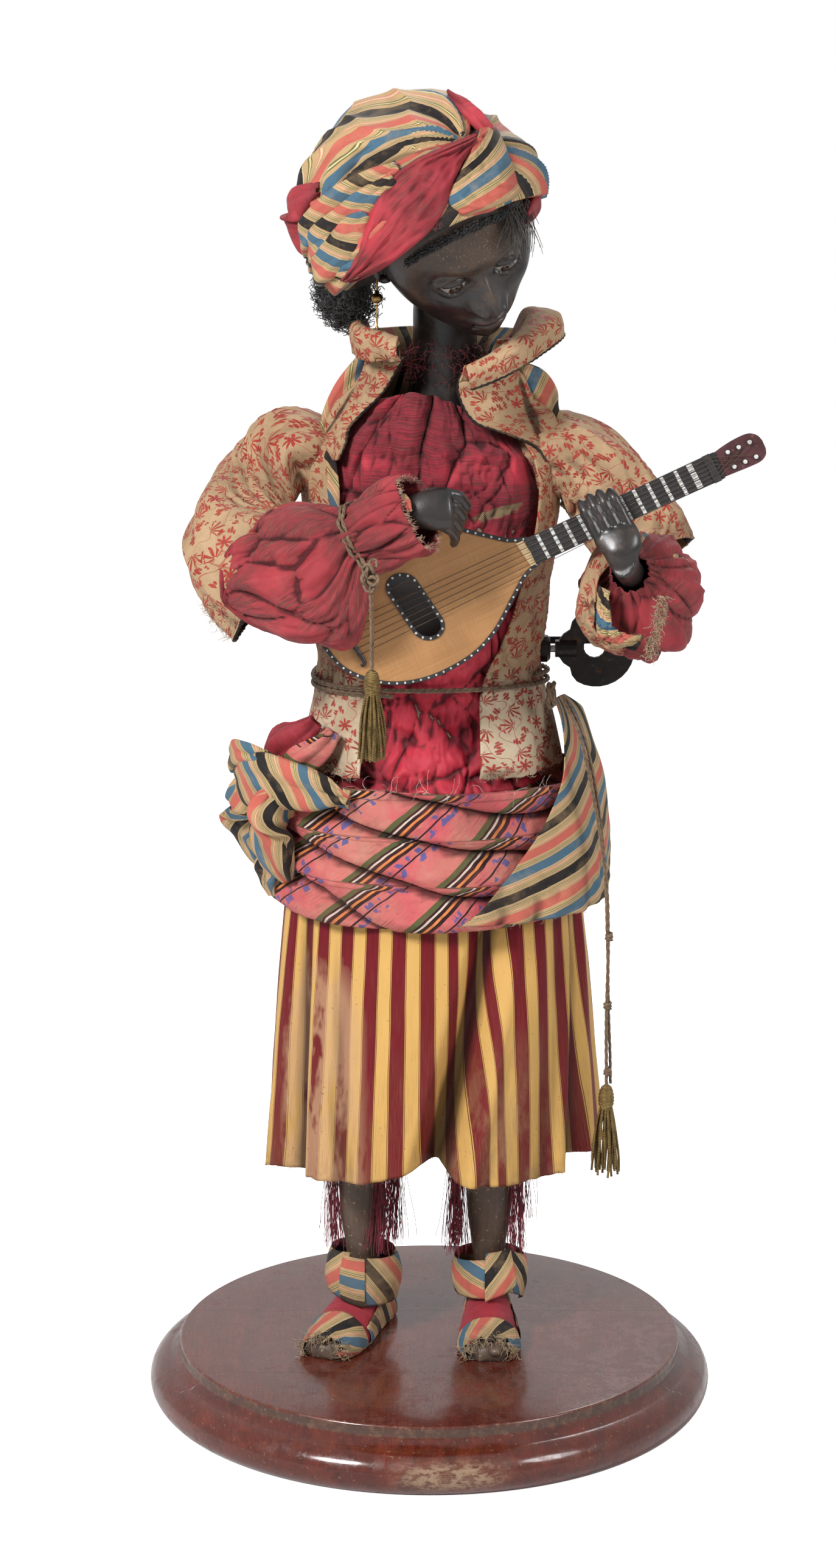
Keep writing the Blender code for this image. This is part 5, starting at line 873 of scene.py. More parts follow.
floss_look = thread_look("red_floss", (0.34, 0.030, 0.055), (0.12, 0.010, 0.022))
for index, (top, foot, lowest, strands) in enumerate(SKEINS):
    spin = random.Random(40 + index)
    chains = []
    for _ in range(strands):
        spread = (spin.gauss(0, 0.0032), spin.gauss(0, 0.0030))
        fan = (spin.gauss(0, 0.0042), spin.gauss(0, 0.0040))
        end_z = lowest + abs(spin.gauss(0, 0.008))
        phase, sway = spin.uniform(0, 6.28), spin.uniform(0.0004, 0.0016)
        chain = []
        for step in range(15):
            part = step / 14
            x = top[0] + (foot[0] - top[0]) * part + spread[0] * (1 - part) + fan[0] * part
            y = top[1] + (foot[1] - top[1]) * part + spread[1] * (1 - part) + fan[1] * part
            wave = sway * math.sin(part * 7.0 + phase) * part
            chain.append((x + wave, y + wave * math.cos(phase), 0.176 + (end_z - 0.176) * part))
        chains.append(chain)
    skein = threads_piece(f"floss_{index}", chains, 0.00016, 4, floss_look)
    set_on(skein, "root")

# Trousers: one wide tube of striped satin that hangs over both legs in deep folds to an uneven hem.
# The satin is burgundy and straw gold. Its lower left side has bleached, and the hem is worn.


def body_point(turn, half_x, half_y, z, centre_x=0.0025):
    return (centre_x + half_x * math.sin(turn), 0.012 - half_y * math.cos(turn), z)


TROUSER_FOLDS = ((30, 2, 8, -0.0260), (44, 20, 13, 0.0060), (-8, -16, 14, 0.0050), (-36, -34, 8, -0.0030),
                 (-61, -60, 7, -0.0120), (-80, -76, 10, 0.0040), (62, 40, 9, -0.0035), (80, 62, 8, -0.0110),
                 (100, 92, 12, 0.0030), (128, 124, 10, -0.0060), (180, 180, 12, -0.0110),
                 (205, 210, 12, 0.0030), (232, 236, 10, -0.0060))
TROUSER_HEM = ((-180, 0.158), (-140, 0.156), (-104, 0.152), (-90, 0.148), (-79, 0.1495), (-70, 0.153),
               (-45, 0.1535), (-25, 0.157), (-6, 0.167), (2, 0.169), (7, 0.160), (20, 0.1575), (42, 0.156),
               (56, 0.157), (62, 0.163), (75, 0.161), (92, 0.162), (120, 0.158), (180, 0.158))


def trouser_row(z, columns, top=0.36):
    drop = max((top - z) / 0.204, 0.0)
    half_x, half_y = 0.0860 + 0.0160 * drop ** 0.8, 0.0640 + 0.0170 * drop ** 0.8
    row = []
    for column in range(columns):
        degrees = -180 + 360 * column / columns
        reach = 0.0
        for top_turn, hem_turn, width, depth in TROUSER_FOLDS:
            line = top_turn + (hem_turn - top_turn) * drop
            away = (degrees - line + 180) % 360 - 180
            reach += depth * (0.10 + 0.90 * drop ** 0.8) * math.exp(-(away / width) ** 2)
            reach += abs(depth) * 0.16 * drop * math.exp(-((abs(away) - width * 1.25) / (width * 0.42)) ** 2)
        overlap = (degrees - (28 + (3 - 28) * drop) + 180) % 360 - 180
        reach += 0.0062 * (0.2 + drop) * math.exp(-((overlap - 8) / 4.5) ** 2)
        fine = noise.noise(Vector((degrees * 0.09, z * 9.0, 4.0)))
        small = noise.noise(Vector((degrees * 0.26, z * 26.0, 9.0)))
        reach += 0.0016 * fine * (0.4 + drop) + 0.0005 * small
        turn = math.radians(degrees)
        row.append(body_point(turn, half_x + reach, half_y + reach, z))
    return row


def trouser_satin():
    made = Finish("trouser_satin", (0.4, 0.1, 0.1), 0.3, Specular_IOR_Level=0.13)
    u = made.split(made.cloth())[0]
    place = made.place()
    x, y, z = made.split(place)
    drift = (made.noise(place, 20.0, 2.0) - 0.5) * 0.0014
    bands = [(8.7, (0.150, 0.0035, 0.0130)), (0.45, (0.60, 0.38, 0.10)), (0.35, (0.09, 0.01, 0.01)),
             (7.9, (0.660, 0.390, 0.120)), (0.35, (0.09, 0.01, 0.01)), (0.45, (0.60, 0.38, 0.10))]
    colour = made.stripes(u + drift, 0.0182, bands)
    low = z.above(0.235, 0.075).flipped()
    cloud = made.noise(made.scaled(place, 1.0, 1.0, 0.55), 26.0, 4.0, 0.62)
    brown = made.mix(0.42, colour, (0.24, 0.125, 0.050))
    colour = made.mix(cloud.above(0.46, 0.13) * low * 0.50, colour, brown)
    left_side = (x * -1.0).above(0.047, 0.016) * (x * -1.0).above(0.089, 0.008).math("SUBTRACT", 1.0).size()
    wear = made.noise(made.scaled(place, 1.0, 1.0, 0.4), 34.0, 4.0, 0.65).above(0.44, 0.10)
    strip = left_side * wear * z.above(0.285, 0.03).flipped() * y.above(-0.01, 0.01).flipped()
    colour = made.mix(strip.above(0.35, 0.15) * 0.55, colour, (0.58, 0.35, 0.20))
    right_patch = x.above(0.008, 0.012) * x.above(0.072, 0.012).flipped()
    right_wear = made.noise(made.scaled(place, 1.4, 1.0, 0.5), 46.0, 5.0, 0.7).above(0.52, 0.07)
    right_wear = right_wear * right_patch * z.above(0.215, 0.045).flipped()
    colour = made.mix(right_wear * 0.5, colour, (0.36, 0.22, 0.11))
    streak = made.noise(made.scaled(made.cloth(), 2600.0, 46.0), 1.0, 3.0, 0.6)
    colour = made.mix(streak.above(0.60, 0.08) * low * 0.5, colour, (0.20, 0.10, 0.055))
    shine = streak.above(0.50, 0.2) * 0.06
    colour = made.mix(shine * 0.5, colour, (0.70, 0.50, 0.28))
    hem = made.noise(place, 130.0, 4.0, 0.7).above(0.5, 0.1) * z.above(0.156, 0.010).flipped()
    colour = made.mix(hem * 0.6, colour, (0.13, 0.075, 0.045))
    specks = made.noise(place, 620.0, 2.0).above(0.725, 0.015)
    colour = made.mix(specks * 0.7, colour, (0.09, 0.03, 0.02))
    made.set("Base Color", made.fold_shaded(colour))
    made.set("Roughness", made.blend(low * cloud.above(0.45, 0.2), 0.36, 0.60))
    made.raise_by(streak, 0.00010)
    made.raise_by(made.noise(made.scaled(place, 1.0, 1.0, 0.35), 75.0, 3.0, 0.6), 0.0012)
    return made.done()


satin_look = trouser_satin()
TROUSER_COLUMNS = 340
hem_at = np.interp(-180 + 360 * np.arange(TROUSER_COLUMNS) / TROUSER_COLUMNS,
                   [row[0] for row in TROUSER_HEM], [row[1] for row in TROUSER_HEM])
trouser_rows = []
for level in np.linspace(0.0, 1.0, 104):
    base_row = trouser_row(0.362 - 0.215 * level, TROUSER_COLUMNS)
    lowest = []
    for column, point in enumerate(base_row):
        ripple = 0.0010 * noise.noise(Vector((column * 0.235, 3.0, 1.0)))
        z = 0.362 + (hem_at[column] + ripple - 0.362) * level
        lowest.append((point[0], point[1], z))
    trouser_rows.append(lowest)
trouser_coords = arc_coords(trouser_rows, 0.0, (0.0048, 0.0), True)
trousers = sheet_piece("trousers_satin", trouser_rows, trouser_coords, [satin_look], 0.0007, True)
set_on(trousers, "root", "trousers")
flat_size([row + row[:1] for row in trouser_rows])
spin = random.Random(77)
hem_starts = []
for _ in range(420):
    column = spin.randrange(TROUSER_COLUMNS)
    x, y, z = trouser_rows[-1][column]
    hem_starts.append(((x, y, z + 0.0006), (spin.uniform(-0.7, 0.7), spin.uniform(-0.3, 0.2), -1.0)))
hem_fray = frayed_threads("trouser_fray", hem_starts, 5, 0.0042, 0.00014,
                          thread_look("hem_threads", (0.30, 0.17, 0.09), (0.12, 0.03, 0.02)), 0.5, 0.35, 7)
set_on(hem_fray, "root")

# Hip wrap: a length of salmon-pink handwoven silk, swathed round the hips in three sagging folds.
# Groups of woven stripes cross it on the slant, with dabs of blue weft beside each group.


def pink_weave():
    made = Finish("pink_weave", (0.7, 0.2, 0.2), 0.55, Sheen_Weight=0.04, Sheen_Roughness=0.4,
                  Specular_IOR_Level=0.2)
    u, v, _ = made.split(made.cloth())
    place = made.place()
    fade = made.noise(place, 27.0, 3.0, 0.6)
    colour = made.mix(fade.above(0.50, 0.16), (0.70, 0.115, 0.140), (0.66, 0.215, 0.175))
    tan = made.noise(place, 60.0, 3.0, 0.6)
    colour = made.mix(tan.above(0.60, 0.10) * 0.5, colour, (0.62, 0.33, 0.23))
    drift = (made.noise(place, 46.0, 2.0) - 0.5) * 0.0010
    across = u + drift
    part = (across * (1.0 / 0.0400)).fract()
    lines = ((0.000, 0.083, (0.105, 0.120, 0.045)), (0.083, 0.118, (0.030, 0.008, 0.010)),
             (0.118, 0.148, (0.78, 0.66, 0.56)), (0.148, 0.203, (0.022, 0.008, 0.009)),
             (0.203, 0.243, (0.80, 0.265, 0.080)), (0.243, 0.298, (0.022, 0.008, 0.009)),
             (0.430, 0.457, (0.016, 0.010, 0.016)))
    for low, high, tint in lines:
        inside = part.above(low) * part.above(high).flipped()
        colour = made.mix(inside, colour, tint)
    dabs = made.noise(made.scaled(made.cloth(), 95.0, 190.0), 1.0, 1.0, 0.5).above(0.555, 0.02)
    near = part.above(0.335) * part.above(0.420).flipped()
    far = part.above(0.468) * part.above(0.570).flipped()
    colour = made.mix(dabs * near.largest(far) * 0.88, colour, (0.060, 0.110, 0.330))
    threads = made.noise(made.scaled(made.cloth(), 3300.0, 60.0), 1.0, 3.0, 0.65)
    bald = made.noise(place, 38.0, 3.0, 0.6).above(0.47, 0.09)
    colour = made.mix(threads.above(0.56, 0.05) * bald * 0.55, colour, (0.30, 0.060, 0.055))
    colour = made.mix(threads.above(0.66, 0.03) * bald * 0.6, colour, (0.10, 0.030, 0.030))
    soil = made.noise(place, 19.0, 4.0, 0.65)
    colour = made.mix(soil.above(0.60, 0.12) * 0.25, colour, (0.28, 0.12, 0.09))
    made.set("Base Color", made.fold_shaded(colour, (0.020, 0.004, 0.006)))
    made.set("Roughness", made.blend(fade, 0.45, 0.68))
    weave_bump(made, u, v, 0.00050, 0.00007)
    made.raise_by(threads, 0.00018)
    made.raise_by(made.noise(place, 110.0, 4.0, 0.65), 0.0013)
    return made.done()


pink_look = pink_weave()


WRAP_COLUMNS, WRAP_LEVELS, WRAP_FOLDS = 260, 88, 3
wrap_rows = []
for part in np.linspace(0.0, 1.0, WRAP_LEVELS):
    row = []
    for column in range(WRAP_COLUMNS):
        turn = math.radians(-180 + 360 * column / WRAP_COLUMNS)
        height = 0.326 + 0.075 * part
        scaled = part * WRAP_FOLDS + 0.50 * math.sin(turn + 0.3) + 0.30 * math.sin(2.0 * turn + 1.0) - 0.15
        scaled += 0.35 * noise.noise(Vector((math.cos(turn) * 1.5, math.sin(turn) * 1.5, part * 2.0 + 5.0)))
        fold = scaled - math.floor(scaled)
        swell = 0.0086 * math.sin(math.pi * fold ** 0.62) ** 0.7
        small = 0.0011 * noise.noise(Vector((turn * 8.0 + part * 5.0, part * 13.0 - turn * 3.0, 2.0)))
        small += 0.0006 * noise.noise(Vector((turn * 21.0, part * 32.0, 7.0)))
        half_x = 0.0955 - 0.0080 * part + swell + small
        half_y = 0.0770 - 0.0080 * part + swell + small
        dip = -0.005 * math.cos(turn) * (1.0 - part)
        if part < 0.08:
            half_x -= 0.004 * (1 - part / 0.08) ** 2
            half_y -= 0.004 * (1 - part / 0.08) ** 2
        hang = -0.0045 * max(0.0, math.cos(turn + 0.35)) * (1.0 - part)
        row.append(body_point(turn, half_x, half_y, height + dip + hang))
    wrap_rows.append(row)
wrap_coords = arc_coords(wrap_rows, math.radians(47), (0.0200, 0.0), True)
for row_at, part in enumerate(np.linspace(0.0, 1.0, WRAP_LEVELS)):
    wrap_coords[row_at] += np.array([0.0115, 0.004]) * math.floor(part * WRAP_FOLDS)
hip_wrap = sheet_piece("hip_wrap_silk", wrap_rows, wrap_coords, [pink_look], 0.0008, True)
set_on(hip_wrap, "root", "hip_wrap")
flat_size([row + row[:1] for row in wrap_rows])
spin = random.Random(31)
loose = []
for _ in range(34):
    column = spin.randrange(78, 165)
    x, y, z = wrap_rows[-1][column]
    loose.append(((x, y - 0.0006, z), (spin.uniform(-1.0, 1.0), -0.4, spin.uniform(-0.1, 0.9))))
white_thread = thread_look("pale_threads", (0.78, 0.70, 0.60), (0.42, 0.33, 0.25))
wisps = frayed_threads("hip_wisps", loose, 8, 0.016, 0.00014, white_thread, 0.2, 0.4, 12)
set_on(wisps, "root")
frayed_end = []
for _ in range(90):
    at = body_point(math.radians(spin.uniform(-80, -72)), 0.0960, 0.0790, 0.336 + spin.uniform(0, 0.012))
    frayed_end.append((at, (-0.25, -0.2, -1.0)))
pink_threads = thread_look("pink_threads", (0.46, 0.05, 0.075), (0.20, 0.02, 0.03))
pink_fray = frayed_threads("hip_fray", frayed_end, 9, 0.022, 0.00015, pink_threads, 0.8, 0.25, 10)
set_on(pink_fray, "root")

# Side drape and bunch: one striped taffeta shawl. It hangs in a point from the belt over the left hip,
# and its other end is tucked up and bunched at the right hip in soft rolls with the stripes bent round.
shawl_look = striped_silk("shawl_silk", 0.22)
DRAPE_COLUMNS = 130
drape_rows = []
for level in np.linspace(0.0, 1.0, 90):
    z = 0.3310 + 0.1170 * level
    low_turn, high_turn = 8 + 60 * level ** 0.85, 150 - 42 * level ** 0.8 - 26 * max(0.0, level - 0.7) / 0.3
    squeeze = 0.0275 * min(level, 1.0) ** 2.6
    row = []
    for part in np.linspace(0.0, 1.0, DRAPE_COLUMNS):
        turn = math.radians(low_turn + (high_turn - low_turn) * part)
        fold = 0.0030 * math.sin(7.5 * turn + 2.4 * level + 0.8 * math.sin(4 * level)) * (0.4 + 0.6 * level)
        fold += 0.0022 * noise.noise(Vector((turn * 4.0 + level, level * 3.0, 3.0)))
        crumple = 0.0026 * max(0.0, 1.0 - level * 3.0) * noise.noise(Vector((turn * 9.0, level * 11.0, 6.0)))
        reach = 0.0015 + fold + crumple
        half_x, half_y = 0.1070 - squeeze + reach, 0.0890 - 0.0230 * min(level, 1.0) ** 2.6 + reach
        height = z - 0.008 * math.cos(turn) * (1 - level) - 0.0040 * math.sin(math.pi * part) * (1 - level)
        row.append(body_point(turn, half_x, half_y, height))
    drape_rows.append(row)
drape_coords = arc_coords(drape_rows, math.radians(60), (0.0120, 0.0))
drape = sheet_piece("side_drape_silk", drape_rows, drape_coords, [shawl_look], 0.0007)
set_on(drape, "root", "side_drape")
spin = random.Random(15)
drape_edge = []
for _ in range(120):
    column = spin.randrange(DRAPE_COLUMNS)
    x, y, z = drape_rows[0][column]
    drape_edge.append(((x, y, z + 0.0004), (spin.uniform(-0.8, 0.8), -0.3, -1.0)))
drape_fray = frayed_threads("drape_fray", drape_edge, 17, 0.005, 0.00012, tan_thread, 0.5, 0.4, 7)
set_on(drape_fray, "root")


def bunch_roll(path, widths, turn, shift, looks, name, twist=0.0, folds=3, depth=0.0020, sides=72, count=110,
               flat=0.62):
    """A soft roll of cloth round a curved path. The cloth's coordinates follow the path."""
    line = smooth_line([(*point, half) for point, half in zip(path, widths)], count)
    centres, half = line[:, :3], line[:, 3]
    along = np.gradient(centres, axis=0)
    along /= np.linalg.norm(along, axis=1)[:, None]
    side = np.array((0.0, -0.3, 1.0)) - (along @ np.array((0.0, -0.3, 1.0)))[:, None] * along
    side /= np.linalg.norm(side, axis=1)[:, None]
    over = np.cross(along, side)
    rows = []
    for step in range(count):
        row = []
        for column in range(sides):
            angle = 2 * math.pi * column / sides + twist * step / count
            ripple = depth * math.sin(folds * angle + 5.0 * step / count + 1.2 * math.sin(0.05 * step))
            swirl = Vector((math.cos(angle) * 2.4, math.sin(angle) * 2.4, step * 0.06 + turn))
            ripple += depth * 0.8 * noise.noise(swirl)
            size = half[step] + ripple
            offset = side[step] * (size * math.cos(angle)) + over[step] * (size * flat * math.sin(angle))
            row.append(tuple(centres[step] + offset))
        rows.append(row)
    coords = arc_coords(rows, turn, shift, True)
    return rows, sheet_piece(name, rows, coords, looks, 0.0006, True)


def round_hip(*stops):
    return [body_point(math.radians(turn), half, half - 0.0185, z) for turn, half, z in stops]


bunch_rows, bunch = bunch_roll(
    round_hip((-30, 0.1020, 0.396), (-42, 0.1060, 0.400), (-56, 0.1090, 0.403), (-70, 0.1130, 0.401),
              (-82, 0.1160, 0.396), (-90, 0.1150, 0.392)),
    [0.0035, 0.0110, 0.0160, 0.0175, 0.0130, 0.0040], 1.05, (0.010, 0.0), [shawl_look], "bunch_silk", 1.2, 3,
    0.0024)
set_on(bunch, "root", "side_bunch")
flat_size([row + row[:1] for row in bunch_rows])
BUNCH_ROLLS = (
    ("bunch_tip", round_hip((-56, 0.1130, 0.414), (-68, 0.1190, 0.416), (-80, 0.1210, 0.412),
                            (-90, 0.1200, 0.404),
                            (-96, 0.1150, 0.394)), [0.0030, 0.0070, 0.0085, 0.0080, 0.0030], 0.7, (0.043, 0),
     "striped_silk", 0.6),
    ("bunch_low", round_hip((-58, 0.1100, 0.394), (-61, 0.1130, 0.380), (-62, 0.1110, 0.364),
                            (-60, 0.1070, 0.350),
                            (-58, 0.1040, 0.340)), [0.0090, 0.0150, 0.0150, 0.0100, 0.0030], 0.25, (0.018, 0),
     "striped_silk", 0.3),
    ("bunch_side", round_hip((-78, 0.1140, 0.394), (-82, 0.1150, 0.378), (-84, 0.1120, 0.362),
                             (-82, 0.1080, 0.350),
                             (-80, 0.1040, 0.342)), [0.0100, 0.0155, 0.0145, 0.0090, 0.0030], 0.25,
                             (0.034, 0),
     "striped_silk", 0.3),
    ("bunch_tail", round_hip((-68, 0.1080, 0.366), (-70, 0.1070, 0.350), (-72, 0.1050, 0.336),
                             (-72, 0.1030, 0.326)),
     [0.0060, 0.0085, 0.0070, 0.0025], 0.2, (0.030, 0), "striped_silk", 0.2),
    ("bunch_crimson", round_hip((-74, 0.1020, 0.410), (-66, 0.1010, 0.420), (-58, 0.0970, 0.428),
                                (-52, 0.0900, 0.438)), [0.0060, 0.0110, 0.0105, 0.0040], 0.1, (0.0, 0),
     "red_silk", 0.5),
    ("bunch_green", round_hip((-62, 0.1040, 0.406), (-54, 0.1010, 0.414), (-46, 0.0950, 0.424),
                              (-42, 0.0900, 0.434)),
     [0.0050, 0.0080, 0.0070, 0.0030], 1.0, (0.012, 0), "pink_weave", 0.2),
)
crimson_look = red_silk("crimson_silk", 0.35)
ROLL_LOOKS = {"striped_silk": shawl_look, "red_silk": crimson_look, "pink_weave": pink_look}
for name, path, widths, turn, shift, slot, twist in BUNCH_ROLLS:
    rows, roll = bunch_roll(path, widths, turn, shift, [ROLL_LOOKS[slot]], name, twist, 4, 0.0017, 56, 60)
    set_on(roll, "root")
    flat_size([row + row[:1] for row in rows])

# Belt and cords: dark brown twisted silk. The belt goes nearly twice round the waist to a coiled knot
# at the left hip, where a doubled cord hangs down the side, and a shorter cord hangs from the right wrist.


def cord_look():
    made = Finish("twisted_cord", (0.2, 0.12, 0.07), 0.6, Sheen_Weight=0.15, Specular_IOR_Level=0.3)
    u, v, _ = made.split(made.cloth())
    fine = (v * (2 * math.pi / 0.0042) + u * 2400.0).sine()
    dust = made.noise(made.place(), 120.0, 4.0, 0.6)
    colour = made.mix(dust.above(0.5, 0.2), (0.085, 0.048, 0.028), (0.235, 0.150, 0.085))
    made.set("Base Color", made.mix(fine.above(0.2, 0.4) * 0.35, colour, (0.33, 0.22, 0.13)))
    made.raise_by(fine, 0.00015)
    return made.done()


twine_look = cord_look()


def rope(name, path, diameter, look, strands=3, pitch=0.0060, sides=12):
    """A laid cord along a path: its strands show as ridges that wind round it. Returns it and its path."""
    path = np.asarray([tuple(point) for point in path], float)
    gaps = np.linalg.norm(np.diff(path, axis=0), axis=1)
    at = np.concatenate([[0.0], np.cumsum(gaps)])
    count = max(int(at[-1] / (pitch / 7.0)), 8)
    even = np.linspace(0.0, at[-1], count)
    line = np.stack([np.interp(even, at, path[:, axis]) for axis in range(3)], axis=1)
    along = np.gradient(line, axis=0)
    along /= np.linalg.norm(along, axis=1)[:, None]
    side = np.cross(along[0], (0.31, 0.17, 0.93))
    points, coords = [], []
    for step in range(count):
        side = side - along[step] * (side @ along[step])
        side /= np.linalg.norm(side)
        over = np.cross(along[step], side)
        for corner in range(sides):
            turn = 2 * math.pi * corner / sides
            wave = math.cos(strands * turn - strands * 2 * math.pi * even[step] / (pitch * strands))
            radius = diameter / 2 * (0.93 + 0.17 * wave)
            points.append(line[step] + side * radius * math.cos(turn) + over * radius * math.sin(turn))
            coords.append((turn * diameter / 2, even[step]))
    faces = grid_faces(count, sides, True)
    faces += [tuple(range(sides - 1, -1, -1)), tuple(range((count - 1) * sides, count * sides))]
    return mesh_piece(name, points, faces, look, coords=coords), line


BELT_CLEAR = 0.0018 + 0.0016 + 0.0012
belt_path = []
for step in range(33 * 4 - 3):
    turn = math.radians(62 + 5 * step)
    wave = 0.0012 * math.sin(turn * 2.0 + 0.5 * step / 33)
    room = BELT_CLEAR + 0.0004 * math.sin(turn * 5)
    z = 0.4600 + 0.00432 * (0.5 - step / 72) + wave
    belt_path.append((math.sin(turn) * (0.0670 + room), 0.012 - math.cos(turn) * (0.0530 + room), z))
belt, belt_line = rope("belt_cord_twisted", belt_path, 0.0030, twine_look)
set_on(belt, "root", "belt_cord")
knot_path = []
for step in range(90):
    turn = 2 * math.pi * 2.6 * step / 89
    radius = 0.0062 - 0.0018 * step / 89 + 0.0008 * math.sin(turn * 1.7)
    knot_path.append((0.0728 + 0.0018 * math.sin(turn * 1.3), -0.0285 + radius * 0.55 * math.cos(turn),
                      0.4535 + radius * 1.15 * math.sin(turn)))
knot, _ = rope("belt_knot", knot_path, 0.0028, twine_look)
set_on(knot, "root")

SIDE_ROUTE = ((0.0800, -0.0300, 0.4520), (0.0900, -0.0430, 0.4300), (0.0990, -0.0500, 0.3900),
              (0.1060, -0.0480, 0.3450), (0.1080, -0.0440, 0.3000), (0.1075, -0.0420, 0.2550),
              (0.1080, -0.0420, 0.2135))
side_path = smooth_line(SIDE_ROUTE, 90)
side_cord, side_line = rope("side_cord_twisted", side_path, 0.0022, twine_look)
set_on(side_cord, "root", "side_cord")
second_path = [(x + 0.0016 * math.sin(index * 0.09) + 0.0010, y + 0.0026, z)
               for index, (x, y, z) in enumerate(side_path)]
second_cord, second_line = rope("side_cord_second", second_path, 0.0019, twine_look)
set_on(second_cord, "root")
WRIST_ROUTE = ((-0.0345, -0.1335, 0.5480), (-0.0340, -0.1360, 0.5340), (-0.0335, -0.1355, 0.5120),
               (-0.0335, -0.1350, 0.4895))
wrist_cord, wrist_line = rope("wrist_cord_twisted", smooth_line(WRIST_ROUTE, 40), 0.0024, twine_look)
set_on(wrist_cord, "forearm_right", "wrist_cord")

# Tassels: a ribbed head bound in gold thread over a skirt of twisted bullion strands, now tarnished.


def bullion():
    made = Finish("gold_bullion", (0.4, 0.28, 0.1), 0.42, Metallic=0.55, Specular_IOR_Level=0.4)
    place = made.place()
    x, _, z = made.split(place)
    coils = (z * (2 * math.pi / 0.0010) + x * 900.0).sine()
    tarnish = made.noise(place, 170.0, 4.0, 0.65)
    colour = made.mix(tarnish.above(0.48, 0.2), (0.17, 0.105, 0.035), (0.50, 0.34, 0.125))
    colour = made.mix(coils.above(-0.1, 0.6) * -0.55 + 0.55, colour, (0.060, 0.038, 0.018))
    made.set("Base Color", colour)
    made.raise_by(coils, 0.0003)
    return made.done()


bullion_look = bullion()


def tassel(name, top, length, radius, body, node, strands, seed):
    """A bound head with a ring of ribs, and strands that hang from under it."""
    spin = random.Random(seed)
    head = length * 0.27
    profile = [(0.0, 0.0), (0.0014, -0.0003), (0.0030, -0.0016), (0.0040, -0.0042)]
    for step in range(9):
        z = -0.0052 - (head - 0.0068) * step / 8
        profile.append((0.0039 + 0.00042 * (step % 2) + 0.0005 * math.sin(math.pi * step / 8), z))
    profile += [(0.0034, -head), (0.0, -head - 0.0004)]
    cap = lathe(f"{name}_head", profile, 30, bullion_look, top)
    for vertex in cap.data.vertices:
        turn = math.atan2(vertex.co.y - top[1], vertex.co.x - top[0])
        swell = 1.0 + 0.055 * math.cos(12 * turn)
        vertex.co.x = top[0] + (vertex.co.x - top[0]) * swell
        vertex.co.y = top[1] + (vertex.co.y - top[1]) * swell
    chains = []
    for index in range(strands):
        turn = 2.4 * index
        start = 0.0036 * math.sqrt((index + 0.5) / strands)
        end = radius * math.sqrt((index + 0.5) / strands) * 1.05
        drop = (length - head) * spin.uniform(0.90, 1.03)
        lean, phase = spin.uniform(-0.0010, 0.0010), spin.uniform(0, 6.28)
        chain = []
        for step in range(22):
            part = step / 21
            reach = start + (end - start) * (1 - (1 - part) ** 2.2)
            bend = 0.0007 * math.sin(5.0 * part + phase) * part
            chain.append((top[0] + reach * math.cos(turn) + lean * part + bend,
                          top[1] + reach * math.sin(turn) + bend * 0.5, top[2] - head + 0.0006 - drop * part))
        chains.append(chain)
    skirt = threads_piece(f"{name}_strands", chains, 0.00078, 7, bullion_look)
    for piece in (cap, skirt):
        set_on(piece, body)
    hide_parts(node)
    return cap, skirt


side_parts = tassel("side_tassel_gold", (side_line[-1][0], side_line[-1][1], side_line[-1][2] + 0.0003),
                    0.0570, 0.0085, "root", "side_tassel", 26, 5)
wrist_parts = tassel("wrist_tassel_gold", (wrist_line[-1][0], wrist_line[-1][1], wrist_line[-1][2] + 0.0003),
                     0.0540, 0.0080, "forearm_right", "wrist_tassel", 24, 6)
for index, (at, size) in enumerate(((0.62, 0.0026), (0.80, 0.0028), (0.97, 0.0024))):
    centre = side_line[int(at * (len(side_line) - 1))]
    loop = [(centre[0] + 0.0006 + size * 0.6 * math.cos(4.4 * part * math.pi),
             centre[1] + 0.0010 + size * math.sin(4.4 * part * math.pi), centre[2] + 0.0040 * (part - 0.5))
            for part in np.linspace(0, 1, 40)]
    bead, _ = rope(f"side_knot_{index}", loop, 0.0021, twine_look)
    set_on(bead, "root")

# Blouse: crimson silk gathered over the chest and the belly, puffed between its two rows of gathers.
# The silk has split into bare crosswise threads, and the ground of tan gauze shows at one hole.
TORSO = ((0.4003, 0.056, 0.042), (0.430, 0.057, 0.0435), (0.470, 0.058, 0.0445), (0.530, 0.064, 0.046),
         (0.575, 0.0675, 0.045), (0.598, 0.063, 0.039), (0.610, 0.048, 0.031), (0.6165, 0.026, 0.023))


def level_sizes(table, z):
    return [float(np.interp(z, [row[0] for row in table], [row[column] for row in table]))
            for column in range(1, len(table[0]))]


def step_up(value, low, high):
    part = min(max((value - low) / (high - low), 0.0), 1.0)
    return part * part * (3 - 2 * part)


def ridge(x, y, seed):
    """Sharp-crested folds from 0 to 1."""
    value = noise.noise(Vector((x, y, seed)))
    return (1.0 - min(abs(value) * 2.6, 1.0)) ** 1.6


def puffs(x, y, z):
    """Swollen cells from 0 at their creases to 1 in their middles."""
    near = noise.voronoi(Vector((x, y, z)))[0]
    return min((near[1] - near[0]) * 1.5, 1.0) ** 0.55


